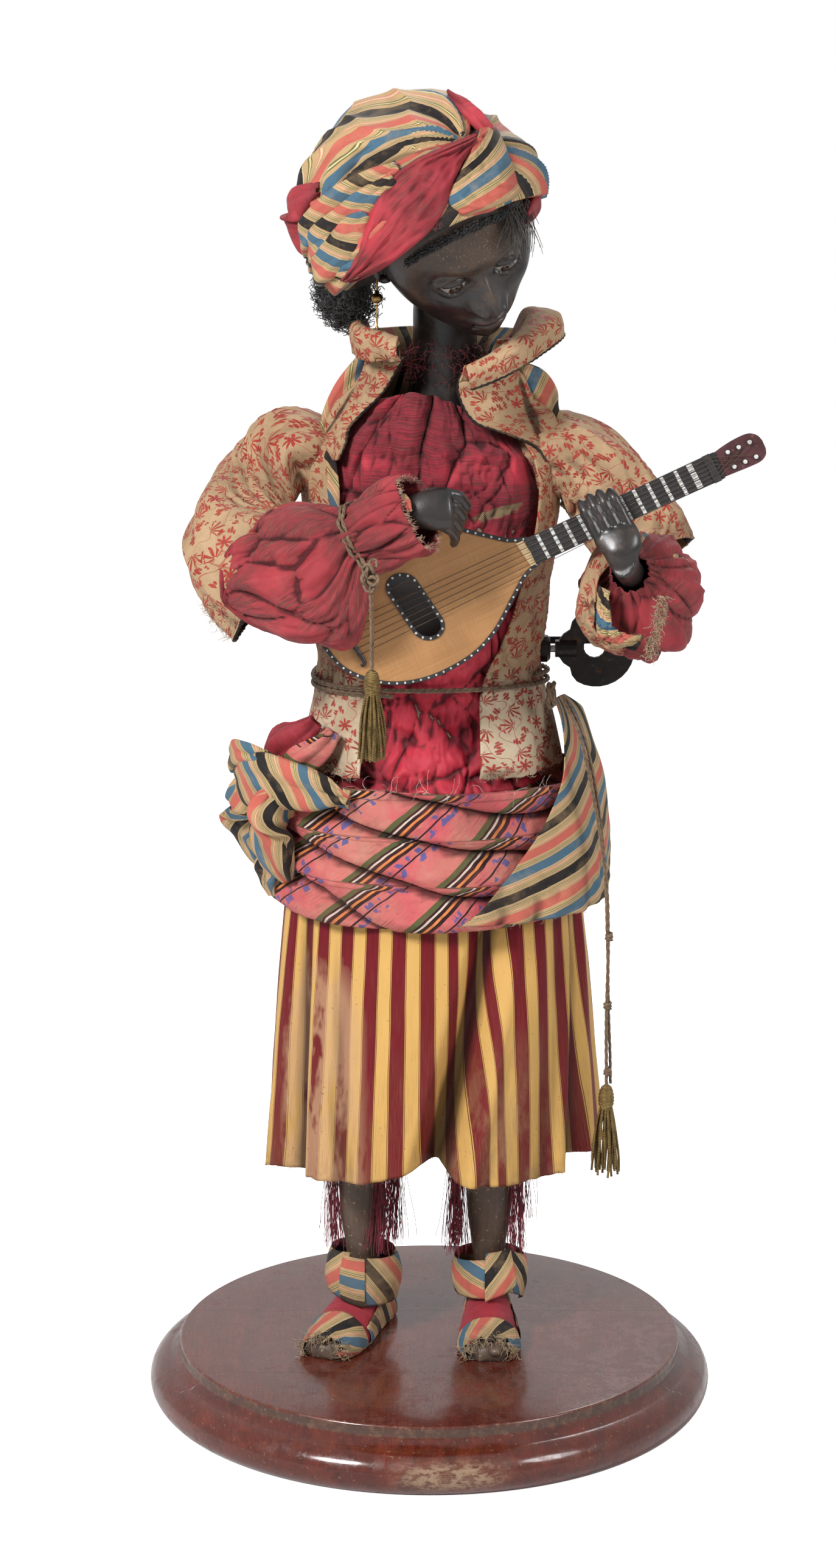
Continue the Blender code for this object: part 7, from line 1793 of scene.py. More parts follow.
CUFF_PIECES = (
    ("cuff_left_flap", [[(0.1230, -0.040, 0.5560), (0.1000, -0.058, 0.5500), (0.0900, -0.060, 0.5300),
                         (0.0880, -0.058, 0.5080), (0.0980, -0.052, 0.4900), (0.1180, -0.046, 0.4830)],
                        [(0.1160, -0.060, 0.5520), (0.0960, -0.072, 0.5440), (0.0880, -0.074, 0.5240),
                         (0.0870, -0.072, 0.5050), (0.0980, -0.068, 0.4920), (0.1140, -0.064, 0.4860)],
                        [(0.1080, -0.076, 0.5440), (0.0980, -0.084, 0.5340), (0.0960, -0.087, 0.5180),
                         (0.0960, -0.085, 0.5040), (0.1030, -0.081, 0.4960), (0.1140, -0.078, 0.4920)]],
     "brocade", 12.0),
    ("cuff_left_lining", [[(0.0980, -0.084, 0.5300), (0.0968, -0.087, 0.5160), (0.0975, -0.087, 0.5030),
                           (0.1050, -0.083, 0.4950), (0.1200, -0.080, 0.4905)],
                          [(0.1040, -0.091, 0.5280), (0.1040, -0.093, 0.5160), (0.1060, -0.093, 0.5080),
                           (0.1120, -0.090, 0.5030), (0.1240, -0.086, 0.5000)]], "lining", 14.0),
    ("cuff_left_top", [[(0.1320, -0.034, 0.5520), (0.1420, -0.040, 0.5470), (0.1530, -0.038, 0.5370)],
                       [(0.1240, -0.056, 0.5560), (0.1380, -0.060, 0.5490), (0.1520, -0.054, 0.5380)],
                       [(0.1240, -0.070, 0.5480), (0.1360, -0.072, 0.5420), (0.1500, -0.064, 0.5320)]],
                       "lining", 15.0),
)
for name, edges, kind, seed in CUFF_PIECES:
    looks = [lining_look, brocade_look] if kind == "brocade" else [lining_look]
    free_fold(name, edges, looks, seed, "forearm_left",
              0.9, curl=0.003, wave=0.0024)
braid_line = [(0.1350 - 0.0075 * part, -0.0935 + 0.001 * math.sin(part * 9), 0.5250 - 0.036 * part)
              for part in np.linspace(0.0, 1.0, 30)]
spin = random.Random(90)
starts = []
for _ in range(300):
    point = Vector(braid_line[spin.randrange(30)])
    starts.append((point + Vector((spin.uniform(-0.003, 0.003), 0.001, 0)),
                   (spin.uniform(-1, 1), -0.5, -0.6)))
braid = frayed_threads("cuff_left_braid", starts, 91, 0.0065, 0.00030, tan_thread, 0.3, 0.6, 8)
set_on(braid, "forearm_left")

# Head and neck: papier mache under black paint and varnish, rubbed brown at the brow. The face is calm and
# regular, with glass eyes under leather lids and a separate lower lip, each of which moves.
HEAD_AT = Vector((0.011, -0.033, 0.732))
HEAD_RIGHT = Vector((0.90506, 0.21441, 0.36729))
HEAD_FORWARD = Vector((0.40450, -0.70060, -0.58780)).normalized()
HEAD_UP = HEAD_FORWARD.cross(HEAD_RIGHT).normalized()


def head_point(right, forward, up):
    return HEAD_AT + HEAD_RIGHT * right + HEAD_FORWARD * forward + HEAD_UP * up


def dark_paint(name, wear):
    made = Finish(name, (0.012, 0.010, 0.010), 0.35, Coat_Weight=0.35, Coat_Roughness=0.22,
                  Specular_IOR_Level=0.45)
    place = made.place()
    soft = made.noise(place, 42.0, 4.0, 0.6)
    colour = made.mix(soft.above(0.5, 0.2), (0.0085, 0.0070, 0.0072), (0.026, 0.019, 0.017))
    rub = made.attribute("rub")
    rubbed = (made.noise(place, 75.0, 5.0, 0.72) + rub * 0.28).above(0.66, 0.12)
    colour = made.mix(rubbed * 0.55, colour, (0.105, 0.060, 0.034))
    fine = (made.noise(place, 900.0, 4.0, 0.65) + rub * 0.13).above(0.735, 0.03)
    colour = made.mix(fine * wear, colour, (0.30, 0.175, 0.095))
    red = made.attribute("tint")
    colour = made.mix(red * 0.85, colour, (0.085, 0.022, 0.017))
    made.set("Base Color", colour)
    made.set("Roughness", made.blend(rubbed, made.blend(soft, 0.28, 0.46), 0.62))
    made.raise_by(made.noise(place, 300.0, 3.0, 0.6), 0.00016)
    made.raise_by(fine * -1.0, 0.00012)
    return made.done()


head_look = dark_paint("papier_mache_paint", 0.75)


def bell(value, width):
    return math.exp(-(value / width) ** 2)


def face_depth(right, up, depth):
    """Forward depth of the face at a place on it, from the depth of the plain egg."""
    side = abs(right)
    depth -= 0.0062 * bell(side - 0.0165, 0.0110) * bell(up - 0.0030, 0.0085)
    depth += 0.0020 * bell(side - 0.0150, 0.0120) * bell(up - 0.0165, 0.0045)
    depth -= 0.0022 * bell(right, 0.0070) * bell(up - 0.0090, 0.0060)
    depth += 0.0026 * bell(side - 0.0270, 0.0110) * bell(up + 0.0090, 0.0095)
    depth -= 0.0024 * bell(side - 0.0270, 0.0090) * bell(up + 0.0300, 0.0100)
    depth += 0.0052 * bell(right, 0.0130) * bell(up + 0.0490, 0.0090)
    depth += 0.0042 * bell(right, 0.0160) * bell(up + 0.0290, 0.0110)
    depth -= 0.0022 * bell(right, 0.0120) * bell(up + 0.0400, 0.0036)
    bridge = step_up(up, 0.0110, -0.0130) * (1.0 - step_up(-up, 0.0145, 0.0198))
    narrow = 0.0038 + 0.0034 * step_up(up, 0.0050, -0.0130)
    depth += 0.0118 * bridge * bell(right, narrow)
    depth += 0.0056 * bell(side - 0.0078, 0.0032) * bell(up + 0.0152, 0.0036)
    depth -= 0.0016 * bell(side - 0.0043, 0.0017) * bell(up + 0.0190, 0.0015)
    depth -= 0.0009 * bell(right, 0.0018) * bell(up + 0.0222, 0.0030)
    width = max(0.0, 1.0 - (right / 0.0148) ** 2)
    depth += 0.0034 * bell(up + 0.0258 - 0.0006 * math.cos(right * 420), 0.0024) * width
    depth -= 0.0012 * bell(side - 0.0155, 0.0020) * bell(up + 0.0290, 0.0022)
    slot = step_up(0.0112 - side, 0.0, 0.0016) * step_up(up, -0.0400, -0.0385) * step_up(-up, 0.0272, 0.0284)
    depth -= 0.0060 * slot
    for eye in (-0.0165, 0.0165):
        across, rise = right - eye, up - 0.004
        away = math.hypot(across, rise)
        if away < 0.0120:
            bulge = 0.040 + math.sqrt(max(0.0108 ** 2 - away ** 2, 0.0))
            depth = max(depth, bulge - 0.0004) if away < 0.0108 else depth
            opening = 1.0 - (across / 0.0102) ** 2
            low, high = -0.0050 * opening, 0.0068 * opening
            if opening > 0.0 and low < rise < high:
                edge = min(rise - low, high - rise, 0.0102 - abs(across))
                depth -= 0.0042 * step_up(edge, 0.0, 0.0010)
    return depth


def head_mesh():
    columns, rows = 260, 190
    points, rubs, tints = [], [], []
    for row in range(rows):
        rise = math.radians(-89.0 + 178.0 * row / (rows - 1))
        for column in range(columns):
            part = column / columns
            turn = math.pi * (2 * part - 1)
            turn -= 0.42 * math.sin(turn)
            x, y, z = math.sin(turn) * math.cos(rise), math.cos(turn) * math.cos(rise), math.sin(rise)
            up = 0.062 * z
            jaw = step_up(-up, 0.004, 0.062)
            right = 0.0455 * x * (1.0 - 0.20 * jaw)
            square = max(0.0, 1.0 - abs(z) ** 2.8) ** (1 / 2.8)
            jowl = (square / max(math.cos(rise), 0.05) - 1.0) * step_up(y, 0.0, 0.5) * (z < 0.0)
            forward = 0.052 * y * (1.0 + jowl)
            if y > 0.0:
                front = step_up(y, 0.0, 0.35)
                forward += front * (face_depth(right, up, forward) - forward)
                forward -= 0.004 * jaw * (1 - front)
            else:
                forward *= 1.0 - 0.42 * jaw
            right += 0.0016 * math.copysign(bell(up + 0.030, 0.014) * step_up(y, 0.0, 0.5) * abs(x), x)
            points.append(tuple(head_point(right, forward, up)))
            rubs.append(step_up(y, 0.1, 0.6) * bell(up - 0.027, 0.020) * 1.1
                        + 0.5 * bell(right, 0.006) * bell(up + 0.006, 0.012))
            lips = bell(up + 0.0262, 0.0028) * max(0.0, 1.0 - (right / 0.0150) ** 2) * (y > 0)
            inside = step_up(0.0112 - abs(right), 0.0, 0.001)
            inside *= step_up(up, -0.0400, -0.0390)
            inside *= step_up(-up, 0.0276, 0.0282)
            tints.append(min(1.0, 0.35 * lips + inside * (y > 0)))
    faces = grid_faces(rows, columns, True)
    low, top = len(points), len(points) + 1
    points += [tuple(head_point(0.0, 0.004, -0.0615)), tuple(head_point(0.0, 0.0, 0.062))]
    rubs, tints = rubs + [0.0, 0.3], tints + [0.0, 0.0]
    last = (rows - 1) * columns
    for column in range(columns):
        after = (column + 1) % columns
        faces += [(after, column, low), (last + column, last + after, top)]
    made = mesh_piece("head_painted", points, faces, head_look)
    for name, values in (("rub", rubs), ("tint", tints)):
        layer = made.data.attributes.new(name, "FLOAT", "POINT")
        layer.data.foreach_set("value", np.asarray(values, np.float32))
    return made


head = head_mesh()
ears = []
for side in (-1, 1):
    helix = [head_point(side * r, f, u) for r, f, u in (
        (0.0440, 0.0040, -0.0150), (0.0455, -0.0010, -0.0190), (0.0470, -0.0060, -0.0150),
        (0.0490, -0.0100, -0.0040), (0.0490, -0.0100, 0.0060), (0.0480, -0.0050, 0.0110),
        (0.0465, 0.0010, 0.0090), (0.0450, 0.0035, 0.0010))]
    stations = [(*point, 0.0024, 0.0030) for point in helix]
    ears.append(closed_limb(f"ear_rim_{side + 1}", limb_rows(stations, 40, 14, HEAD_FORWARD), head_look))
    hollow = [(*head_point(side * 0.0445, -0.0035, u), a, b) for u, a, b in (
        (-0.0180, 0.0012, 0.0015), (-0.0120, 0.0050, 0.0022), (-0.0020, 0.0062, 0.0022),
        (0.0080, 0.0045, 0.0022), (0.0110, 0.0010, 0.0012))]
    ears.append(closed_limb(f"ear_inner_{side + 1}", limb_rows(hollow, 24, 20, HEAD_FORWARD), head_look))
for piece in (head, *ears):
    set_on(piece, "head")
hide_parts("head_shell")
neck_stations = [(0.009, 0.012 - 0.004 * part ** 2, 0.6060 + 0.0960 * part, half, half)
                 for part, half in ((0.0, 0.0300), (0.08, 0.0250), (0.18, 0.0215), (0.36, 0.0198),
                                    (0.60, 0.0192), (0.80, 0.0190), (0.93, 0.0170), (1.0, 0.0140))]
neck = closed_limb("neck_painted", limb_rows(neck_stations, 60, 48, (1, 0, 0)), head_look)
set_on(neck, "root", "neck_post")
spin = random.Random(51)
starts = []
for _ in range(240):
    turn, z = spin.uniform(-1.9, 1.9), spin.uniform(0.6380, 0.6620)
    out = 0.0205 + spin.uniform(0.0, 0.0010) + 0.25 * max(0.0, 0.645 - z)
    starts.append(((0.009 + out * math.sin(turn), 0.011 - out * math.cos(turn), z),
                   (math.sin(turn) + spin.uniform(-1, 1), -math.cos(turn), spin.uniform(-0.8, 0.5))))
scraps = frayed_threads("neck_silk_threads", starts, 52, 0.0110, 0.00030,
                        thread_look("neck_silk", (0.30, 0.030, 0.040), (0.10, 0.012, 0.016)), 0.5, 0.5, 9)
set_on(scraps, "root")
lip_stations = [(*head_point(r, f, u), a, b) for r, f, u, a, b in (
    (-0.0104, 0.0482, -0.0312, 0.0004, 0.0004), (-0.0085, 0.0496, -0.0318, 0.0014, 0.0016),
    (-0.0045, 0.0516, -0.0326, 0.0022, 0.0023), (0.0, 0.0522, -0.0329, 0.0025, 0.0025),
    (0.0045, 0.0516, -0.0326, 0.0022, 0.0023), (0.0085, 0.0496, -0.0318, 0.0014, 0.0016),
    (0.0104, 0.0482, -0.0312, 0.0004, 0.0004))]
lip = closed_limb("lower_lip_painted", limb_rows(lip_stations, 60, 24, HEAD_UP), head_look)
tint_layer = lip.data.attributes.new("tint", "FLOAT", "POINT")
tint_layer.data.foreach_set("value", np.full(len(lip.data.vertices), 0.3, np.float32))
set_on(lip, "lip", "lower_lip")


def glass_eyes():
    made = Finish("eye_glass", (0.3, 0.28, 0.24), 0.08, Coat_Weight=1.0, Coat_Roughness=0.03,
                  Specular_IOR_Level=0.6)
    away = made.attribute("away")
    place = made.place()
    rays = made.noise(made.scaled(place, 900.0, 900.0, 900.0), 1.0, 3.0, 0.6)
    white = made.mix(made.noise(place, 500.0, 3.0).above(0.5, 0.2), (0.40, 0.36, 0.29), (0.55, 0.50, 0.42))
    iris = made.mix(rays.above(0.5, 0.2), (0.014, 0.0065, 0.0035), (0.050, 0.022, 0.010))
    colour = made.mix(away.above(0.0047, 0.00012), iris, white)
    colour = made.mix(away.above(0.0022, 0.0001), (0.002, 0.002, 0.002), colour)
    rim = (away - 0.0047).size().above(0.0005, 0.0003).flipped()
    made.set("Base Color", made.mix(rim * 0.7, colour, (0.008, 0.005, 0.004)))
    return made.done()


EYE_RADIUS, LID_RADIUS = 0.0085, 0.00918
EYE_ROWS, EYE_COLUMNS = 41, 60
LID_STEPS, LID_COLUMNS = 26, 40
EYE_RIGHT, EYE_FORWARD, EYE_UP = 0.0165, 0.040, 0.004
eye_look = glass_eyes()
gaze = (HEAD_FORWARD - HEAD_UP * 0.22).normalized()
for side in (-1, 1):
    centre = head_point(side * EYE_RIGHT, EYE_FORWARD, EYE_UP)
    points, away = [], []
    for row in range(EYE_ROWS):
        rise = math.radians(-88 + 176 * row / (EYE_ROWS - 1))
        for column in range(EYE_COLUMNS):
            turn = 2 * math.pi * column / EYE_COLUMNS
            direction = (HEAD_RIGHT * (math.sin(turn) * math.cos(rise))
                         + HEAD_FORWARD * (math.cos(turn) * math.cos(rise)) + HEAD_UP * math.sin(rise))
            points.append(tuple(centre + direction * EYE_RADIUS))
            away.append(EYE_RADIUS * math.acos(max(-1.0, min(1.0, direction.dot(gaze)))))
    faces = grid_faces(EYE_ROWS, EYE_COLUMNS, True)
    faces += [tuple(range(EYE_COLUMNS - 1, -1, -1)),
              tuple(range((EYE_ROWS - 1) * EYE_COLUMNS, EYE_ROWS * EYE_COLUMNS))]
    ball = mesh_piece(f"glass_eye_{side + 1}", points, faces, eye_look)
    layer = ball.data.attributes.new("away", "FLOAT", "POINT")
    layer.data.foreach_set("value", np.asarray(away, np.float32))
    set_on(ball, "head")
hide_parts("eye_pair")
lid_look = dark_paint("lid_leather", 0.1)
for side in (-1, 1):
    centre = head_point(side * EYE_RIGHT, EYE_FORWARD, EYE_UP)
    rows = []
    for step in range(LID_STEPS):
        lift = math.radians(16 + 118 * step / (LID_STEPS - 1))
        row = []
        for column in range(LID_COLUMNS):
            spread = math.radians(-54 + 108 * column / (LID_COLUMNS - 1))
            droop = lift - math.radians(9) * (1 - math.cos(spread)) * (1 - step / (LID_STEPS - 1))
            direction = (HEAD_RIGHT * math.sin(spread)
                         + (HEAD_FORWARD * math.cos(droop) + HEAD_UP * math.sin(droop)) * math.cos(spread))
            row.append(tuple(centre + direction * (LID_RADIUS + 0.00006 * math.sin(lift * 16))))
        rows.append(row)
    lid = sheet_piece(f"eyelid_{side + 1}_leather", rows, arc_coords(rows), [lid_look], 0.0006)
    set_on(lid, "eyelids")
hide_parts("eyelid_pair")
brass_polish = Finish("gilt_brass", (0.62, 0.43, 0.17), 0.24, Metallic=1.0)
old = brass_polish.noise(brass_polish.place(), 130.0, 4.0, 0.65)
brass_tint = brass_polish.mix(old.above(0.52, 0.12), (0.60, 0.42, 0.17), (0.23, 0.135, 0.05))
brass_polish.set("Base Color", brass_tint)
brass_polish.set("Roughness", brass_polish.blend(old, 0.16, 0.42))
gilt_look = brass_polish.done()
EARRING_TOP = (-0.031247, -0.032617, 0.70247)
drop = [(0.0, 0.0), (0.0006, -0.0002), (0.0006, -0.0066), (0.0012, -0.0072), (0.0016, -0.0079),
        (0.0010, -0.0083), (0.0024, -0.0088), (0.0033, -0.0100), (0.0035, -0.0112), (0.0031, -0.0126),
        (0.0020, -0.0136), (0.0008, -0.0142), (0.0006, -0.0150), (0.0011, -0.0156), (0.0006, -0.0163),
        (0.00055, -0.0276), (0.0010, -0.0282), (0.0010, -0.0292), (0.0006, -0.0298), (0.0006, -0.0425),
        (0.0017, -0.0434), (0.0022, -0.0448), (0.0019, -0.0463), (0.0007, -0.0473), (0.0, -0.0480)]
earring = lathe("earring_gilt", drop, 28, gilt_look, EARRING_TOP)
set_on(earring, "earring", "earring")

# Hair: a tuft of black sheep's wool in tight crimped curls that shows below the turban, and a worn edge
# of it along the brow.
wool_look = thread_look("black_wool", (0.012, 0.010, 0.010), (0.005, 0.004, 0.004))
spin = random.Random(3)
curls = []
for _ in range(620):
    direction = Vector((spin.gauss(-0.35, 0.8), spin.gauss(0, 0.8), spin.gauss(-0.45, 0.8))).normalized()
    spread = Vector((direction.x * 0.0125, direction.y * 0.0150, direction.z * 0.0160))
    centre = Vector((-0.0490, 0.0060, 0.6920)) + spread
    curl, phase, turns = spin.uniform(0.0012, 0.0026), spin.uniform(0, 6.28), spin.uniform(1.4, 2.8)
    side = direction.cross(Vector((0.2, 0.5, 1.0))).normalized()
    over = direction.cross(side)
    long = spin.uniform(0.004, 0.011)
    chain = []
    for step in range(16):
        turn = phase + turns * 2 * math.pi * step / 15
        chain.append(tuple(centre + direction * (long * step / 15) + side * (curl * math.cos(turn))
                           + over * (curl * math.sin(turn))))
    curls.append(chain)
for _ in range(500):
    across = spin.uniform(-0.038, 0.030)
    forward = 0.0385 * math.sqrt(max(0.0, 1.0 - (across / 0.047) ** 2)) + spin.uniform(-0.001, 0.003)
    up = 1.40 * forward + 0.042 * across - 0.0103 + spin.uniform(-0.004, 0.001)
    forward += 0.004
    centre = head_point(across, forward, up)
    direction = (HEAD_FORWARD * 0.6 - HEAD_UP * 0.8 + HEAD_RIGHT * spin.uniform(-0.5, 0.5)).normalized()
    side = direction.cross(HEAD_RIGHT + HEAD_UP * spin.uniform(-1, 1)).normalized()
    over = direction.cross(side)
    chain = []
    for step in range(9):
        turn = spin.uniform(0, 6.28) * 0.1 + 9.0 * step / 8
        chain.append(tuple(centre + direction * (0.0030 * step / 8) + side * (0.0009 * math.cos(turn))
                           + over * (0.0009 * math.sin(turn))))
    curls.append(chain)
hair = threads_piece("hair_wool", curls, 0.00024, 3, wool_look)
set_on(hair, "head", "hair_tuft")
core_stations = [(-0.0430, 0.0, 0.7060, 0.006, 0.007), (-0.0470, 0.004, 0.6980, 0.0125, 0.0150),
                 (-0.0500, 0.008, 0.6890, 0.0125, 0.0150), (-0.0520, 0.010, 0.6810, 0.0090, 0.0110),
                 (-0.0530, 0.010, 0.6750, 0.0020, 0.0020)]
core = closed_limb("hair_core", limb_rows(core_stations, 24, 24, (1, 0, 0)), wool_look)
set_on(core, "head")

# Turban: striped taffeta and crimson silk wound round the head. The crown is one smooth sweep of stripes
# from the knot. A crimson band crosses the brow, and rolls of both silks are tucked in on either side.
TURBAN_AT = head_point(-0.012, -0.012, 0.016)
TURBAN_AXES = ((HEAD_RIGHT, 0.068), (HEAD_FORWARD, 0.072), (HEAD_UP, 0.057))
turban_silk = striped_silk("turban_silk", 0.16)
band_silk = red_silk("band_silk", 0.55)


def on_turban(x, z, proud):
    """A point on the front of the turban at a place seen from the front."""
    centre = Vector((TURBAN_AT.x, 0.0, TURBAN_AT.z))
    scale = 1.03 + proud / 0.063
    for squeeze in range(60):
        at = centre + (Vector((x, 0.0, z)) - centre) * (1.0 - 0.01 * squeeze)
        a = b = 0.0
        c = -scale * scale
        for axis, half in TURBAN_AXES:
            offset = (at.x - TURBAN_AT.x) * axis.x - TURBAN_AT.y * axis.y + (at.z - TURBAN_AT.z) * axis.z
            a += (axis.y / half) ** 2
            b += 2 * axis.y * offset / half ** 2
            c += (offset / half) ** 2
        root = b * b - 4 * a * c
        if root > 0.0:
            return (at.x, (-b - math.sqrt(root)) / (2 * a), at.z)
    return (at.x, -b / (2 * a), at.z)


STRIPE_FROM, STRIPE_TO = Vector((0.0330, -0.0800, 0.7940)), Vector((-0.0860, -0.0640, 0.6960))
stripe_axis = (STRIPE_TO - STRIPE_FROM).normalized()
stripe_out = Vector((0.0, -1.0, 0.0)) - stripe_axis * stripe_axis.dot(Vector((0.0, -1.0, 0.0)))
stripe_out.normalize()
stripe_over = stripe_out.cross(stripe_axis)


def crown_coords(point):
    """Stripes run from the knot over the crown to its lower left, like the seams of a melon."""
    offset = Vector(point) - STRIPE_FROM
    angle = math.atan2(offset.dot(stripe_over), offset.dot(stripe_out))
    return angle * 0.040 + 0.012, offset.dot(stripe_axis)


BRIM_SLOPE, BRIM_LEAN, BRIM_LOW = 1.40, 0.042, -0.0103
CROWN_SIDE, CROWN_DEPTH, CROWN_RISE = 0.068, 0.072, 0.057
brim_axis = Vector((-BRIM_LEAN * CROWN_SIDE, -BRIM_SLOPE * CROWN_DEPTH, CROWN_RISE))
brim_low = math.degrees(math.asin((BRIM_LOW - 0.016 - BRIM_SLOPE * 0.012 - BRIM_LEAN * 0.012)
                                  / brim_axis.length))
brim_axis.normalize()
brim_side = brim_axis.cross(Vector((1.0, 0.0, 0.0))).normalized()
brim_over = brim_axis.cross(brim_side)
CROWN_COLUMNS = 220
crown_rows, crown_at = [], []
for height in [*np.linspace(brim_low - 9, brim_low, 12), *np.linspace(brim_low + 1.0, 90.0, 92)]:
    tuck = max(0.0, (brim_low - height) / 9.0)
    level = math.radians(max(height, brim_low - 2.5 * tuck))
    ring, coords = [], []
    for column in range(CROWN_COLUMNS):
        bearing = 2 * math.pi * column / CROWN_COLUMNS
        local = brim_side * math.cos(bearing) + brim_over * math.sin(bearing)
        local = local * math.cos(level) + brim_axis * math.sin(level)
        right, forward, up = local.x * CROWN_SIDE, local.y * CROWN_DEPTH, local.z * CROWN_RISE
        point = TURBAN_AT + HEAD_RIGHT * right + HEAD_FORWARD * forward + HEAD_UP * up
        u, v = crown_coords(point)
        swell = 1.0 + 0.030 * math.sin(3 * bearing + 5 * level) * math.cos(level)
        swell += 0.05 * math.exp(-((height - brim_low - 6) / 16) ** 2)
        swell += (0.045 * (ridge(u * 44.0, v * 11.0, 2.0) - 0.3)
                  + 0.020 * noise.noise(Vector((u * 130.0, v * 22.0, 5.0))))
        swell += 0.034 * (ridge(u * 95.0 + v * 18.0, v * 30.0, 7.0) - 0.3)
        swell *= 1.0 - 0.20 * tuck
        ring.append(tuple(TURBAN_AT + (point - TURBAN_AT) * swell))
        coords.append((u, v))
    crown_rows.append(ring)
    crown_at.append(coords + coords[:1])
crown_rows[-1] = crown_rows[-1][:1] * CROWN_COLUMNS
sample = Vector(crown_rows[40][0])
facing = (Vector(crown_rows[40][1]) - sample).cross(Vector(crown_rows[41][0]) - sample)
if facing.dot(sample - TURBAN_AT) < 0:
    crown_rows = [ring[::-1] for ring in crown_rows]
    crown_at = [[crown_coords(point) for point in ring] + [crown_coords(ring[0])] for ring in crown_rows]
crown = sheet_piece("turban_crown", crown_rows, np.array(crown_at), [turban_silk], 0.0007, True)
set_on(crown, "head", "turban")
crown_closed = [row + row[:1] for row in crown_rows]


def turban_patch(name, edges, proud, roll, looks, seed, turn, shift, fold=0.0022, along_folds=5.0,
                 count=90, across=42):
    """A strip of cloth over the front of the turban between edge lines, tucked under at both edges."""
    lines = [smooth_line(edge, count) for edge in edges]
    rows = []
    for column in range(count):
        row = []
        cross = smooth_line([line[column] for line in lines], across)
        for step in range(across):
            part = step / (across - 1)
            rise = proud + roll * math.sin(math.pi * part) ** 0.45 - 0.003
            rise += fold * (ridge(part * along_folds + column * 0.012, column * 0.035, seed) - 0.3)
            rise += fold * 0.35 * noise.noise(Vector((part * 9.0, column * 0.16, seed + 1)))
            ends = min(column, count - 1 - column) / (count - 1)
            rise -= 0.003 * max(0.0, 1.0 - ends / 0.05)
            x, z = cross[step]
            row.append(on_turban(x, z, rise))
        rows.append(row)
    made = sheet_piece(name, rows, arc_coords(rows, turn, shift), looks, 0.0007)
    set_on(made, "head")
    return rows


BAND_UPPER = ((0.0264, 0.7886), (0.0076, 0.7818), (-0.0096, 0.7740), (-0.0233, 0.7630), (-0.0374, 0.7427),
              (-0.0505, 0.7179), (-0.0539, 0.7062))
BAND_LOWER = ((0.0284, 0.7866), (0.0221, 0.7783), (0.0158, 0.7677), (0.0082, 0.7482), (-0.0027, 0.7338),
              (-0.0268, 0.7145), (-0.0454, 0.7046))
BAND_MIDDLE = tuple(((a[0] + b[0]) / 2, (a[1] + b[1]) / 2) for a, b in zip(BAND_UPPER, BAND_LOWER))
band_rows = turban_patch("turban_band", [BAND_UPPER, BAND_MIDDLE, BAND_LOWER], 0.0035, 0.0050, [band_silk],
                         3.0, 1.4, (0, 0), 0.0034, 3.0)
turban_patch("turban_temple", [((0.0285, 0.7920), (0.0375, 0.7901), (0.0465, 0.7716), (0.0525, 0.7540)),
                               ((0.0275, 0.7890), (0.0290, 0.7800), (0.0300, 0.7640), (0.0370, 0.7490)),
                               ((0.0266, 0.7870), (0.0190, 0.7725), (0.0096, 0.7532), (0.0185, 0.7435))],
             0.0030, 0.0060, [turban_silk], 5.0, 1.45, (0.0230, 0.0), 0.0020, 1.5)


def turban_roll(name, line, widths, proud, look, turn, shift, twist):
    path = [on_turban(x, z, proud) for x, z in line]
    rows, made = bunch_roll(path, widths, turn, shift, [look], name, twist, 3, 0.0012, 56, 90, 0.7)
    set_on(made, "head")
    closed = [row + row[:1] for row in rows]


TURBAN_ROLLS = (
    ("turban_roll_a", ((-0.0182, 0.7703), (-0.0337, 0.7618), (-0.0503, 0.7522), (-0.0689, 0.7330),
                       (-0.0756, 0.7183)),
     (0.0030, 0.0068, 0.0078, 0.0078, 0.0035), 0.0010, "silk", 0.95, (0.0, 0.0), 1.0),
    ("turban_roll_b", ((-0.0203, 0.7640), (-0.0371, 0.7517), (-0.0479, 0.7423), (-0.0635, 0.7284),
                       (-0.0724, 0.7096)),
     (0.0030, 0.0068, 0.0072, 0.0075, 0.0040), 0.0020, "silk", 0.80, (0.019, 0.0), 1.6),
    ("turban_roll_c", ((-0.0354, 0.7451), (-0.0423, 0.7364), (-0.0490, 0.7271), (-0.0613, 0.7142),
                       (-0.0671, 0.7035)),
     (0.0040, 0.0085, 0.0090, 0.0095, 0.0050), 0.0015, "silk", 0.85, (0.037, 0.0), 0.8),
    ("turban_bump", ((-0.0632, 0.7562), (-0.0744, 0.7474), (-0.0787, 0.7355), (-0.0729, 0.7226),
                     (-0.0684, 0.7170)),
     (0.0030, 0.0092, 0.0110, 0.0085, 0.0030), -0.0010, "red", 0.3, (0.0, 0.0), 0.4),
    ("turban_puff", ((0.0512, 0.7675), (0.0589, 0.7594), (0.0600, 0.7483), (0.0545, 0.7401)),
     (0.0020, 0.0070, 0.0075, 0.0025), -0.0040, "red", 0.3, (0.0, 0.0), 0.4),
    ("turban_knot", ((0.0107, 0.8089), (0.0199, 0.8009), (0.0285, 0.7927), (0.0349, 0.7861)),
     (0.0020, 0.0046, 0.0048, 0.0022), 0.0010, "red", 0.6, (0.0, 0.0), 1.4),
)
for name, line, widths, proud, kind, turn, shift, twist in TURBAN_ROLLS:
    look, slot = (turban_silk, "striped_silk") if kind == "silk" else (band_silk, "red_silk")
    turban_roll(name, line, widths, proud, look, turn, shift, twist)
spin = random.Random(44)
fringe = []
for _ in range(110):
    x, z = 0.0490 + spin.uniform(-0.006, 0.008), 0.7480 + spin.uniform(-0.004, 0.004)
    fringe.append((on_turban(x, z, -0.004), (spin.uniform(-0.25, 0.35), spin.uniform(-0.4, 0.1), -1.0)))
dark_threads = thread_look("dark_fringe", (0.055, 0.038, 0.026), (0.012, 0.009, 0.008))
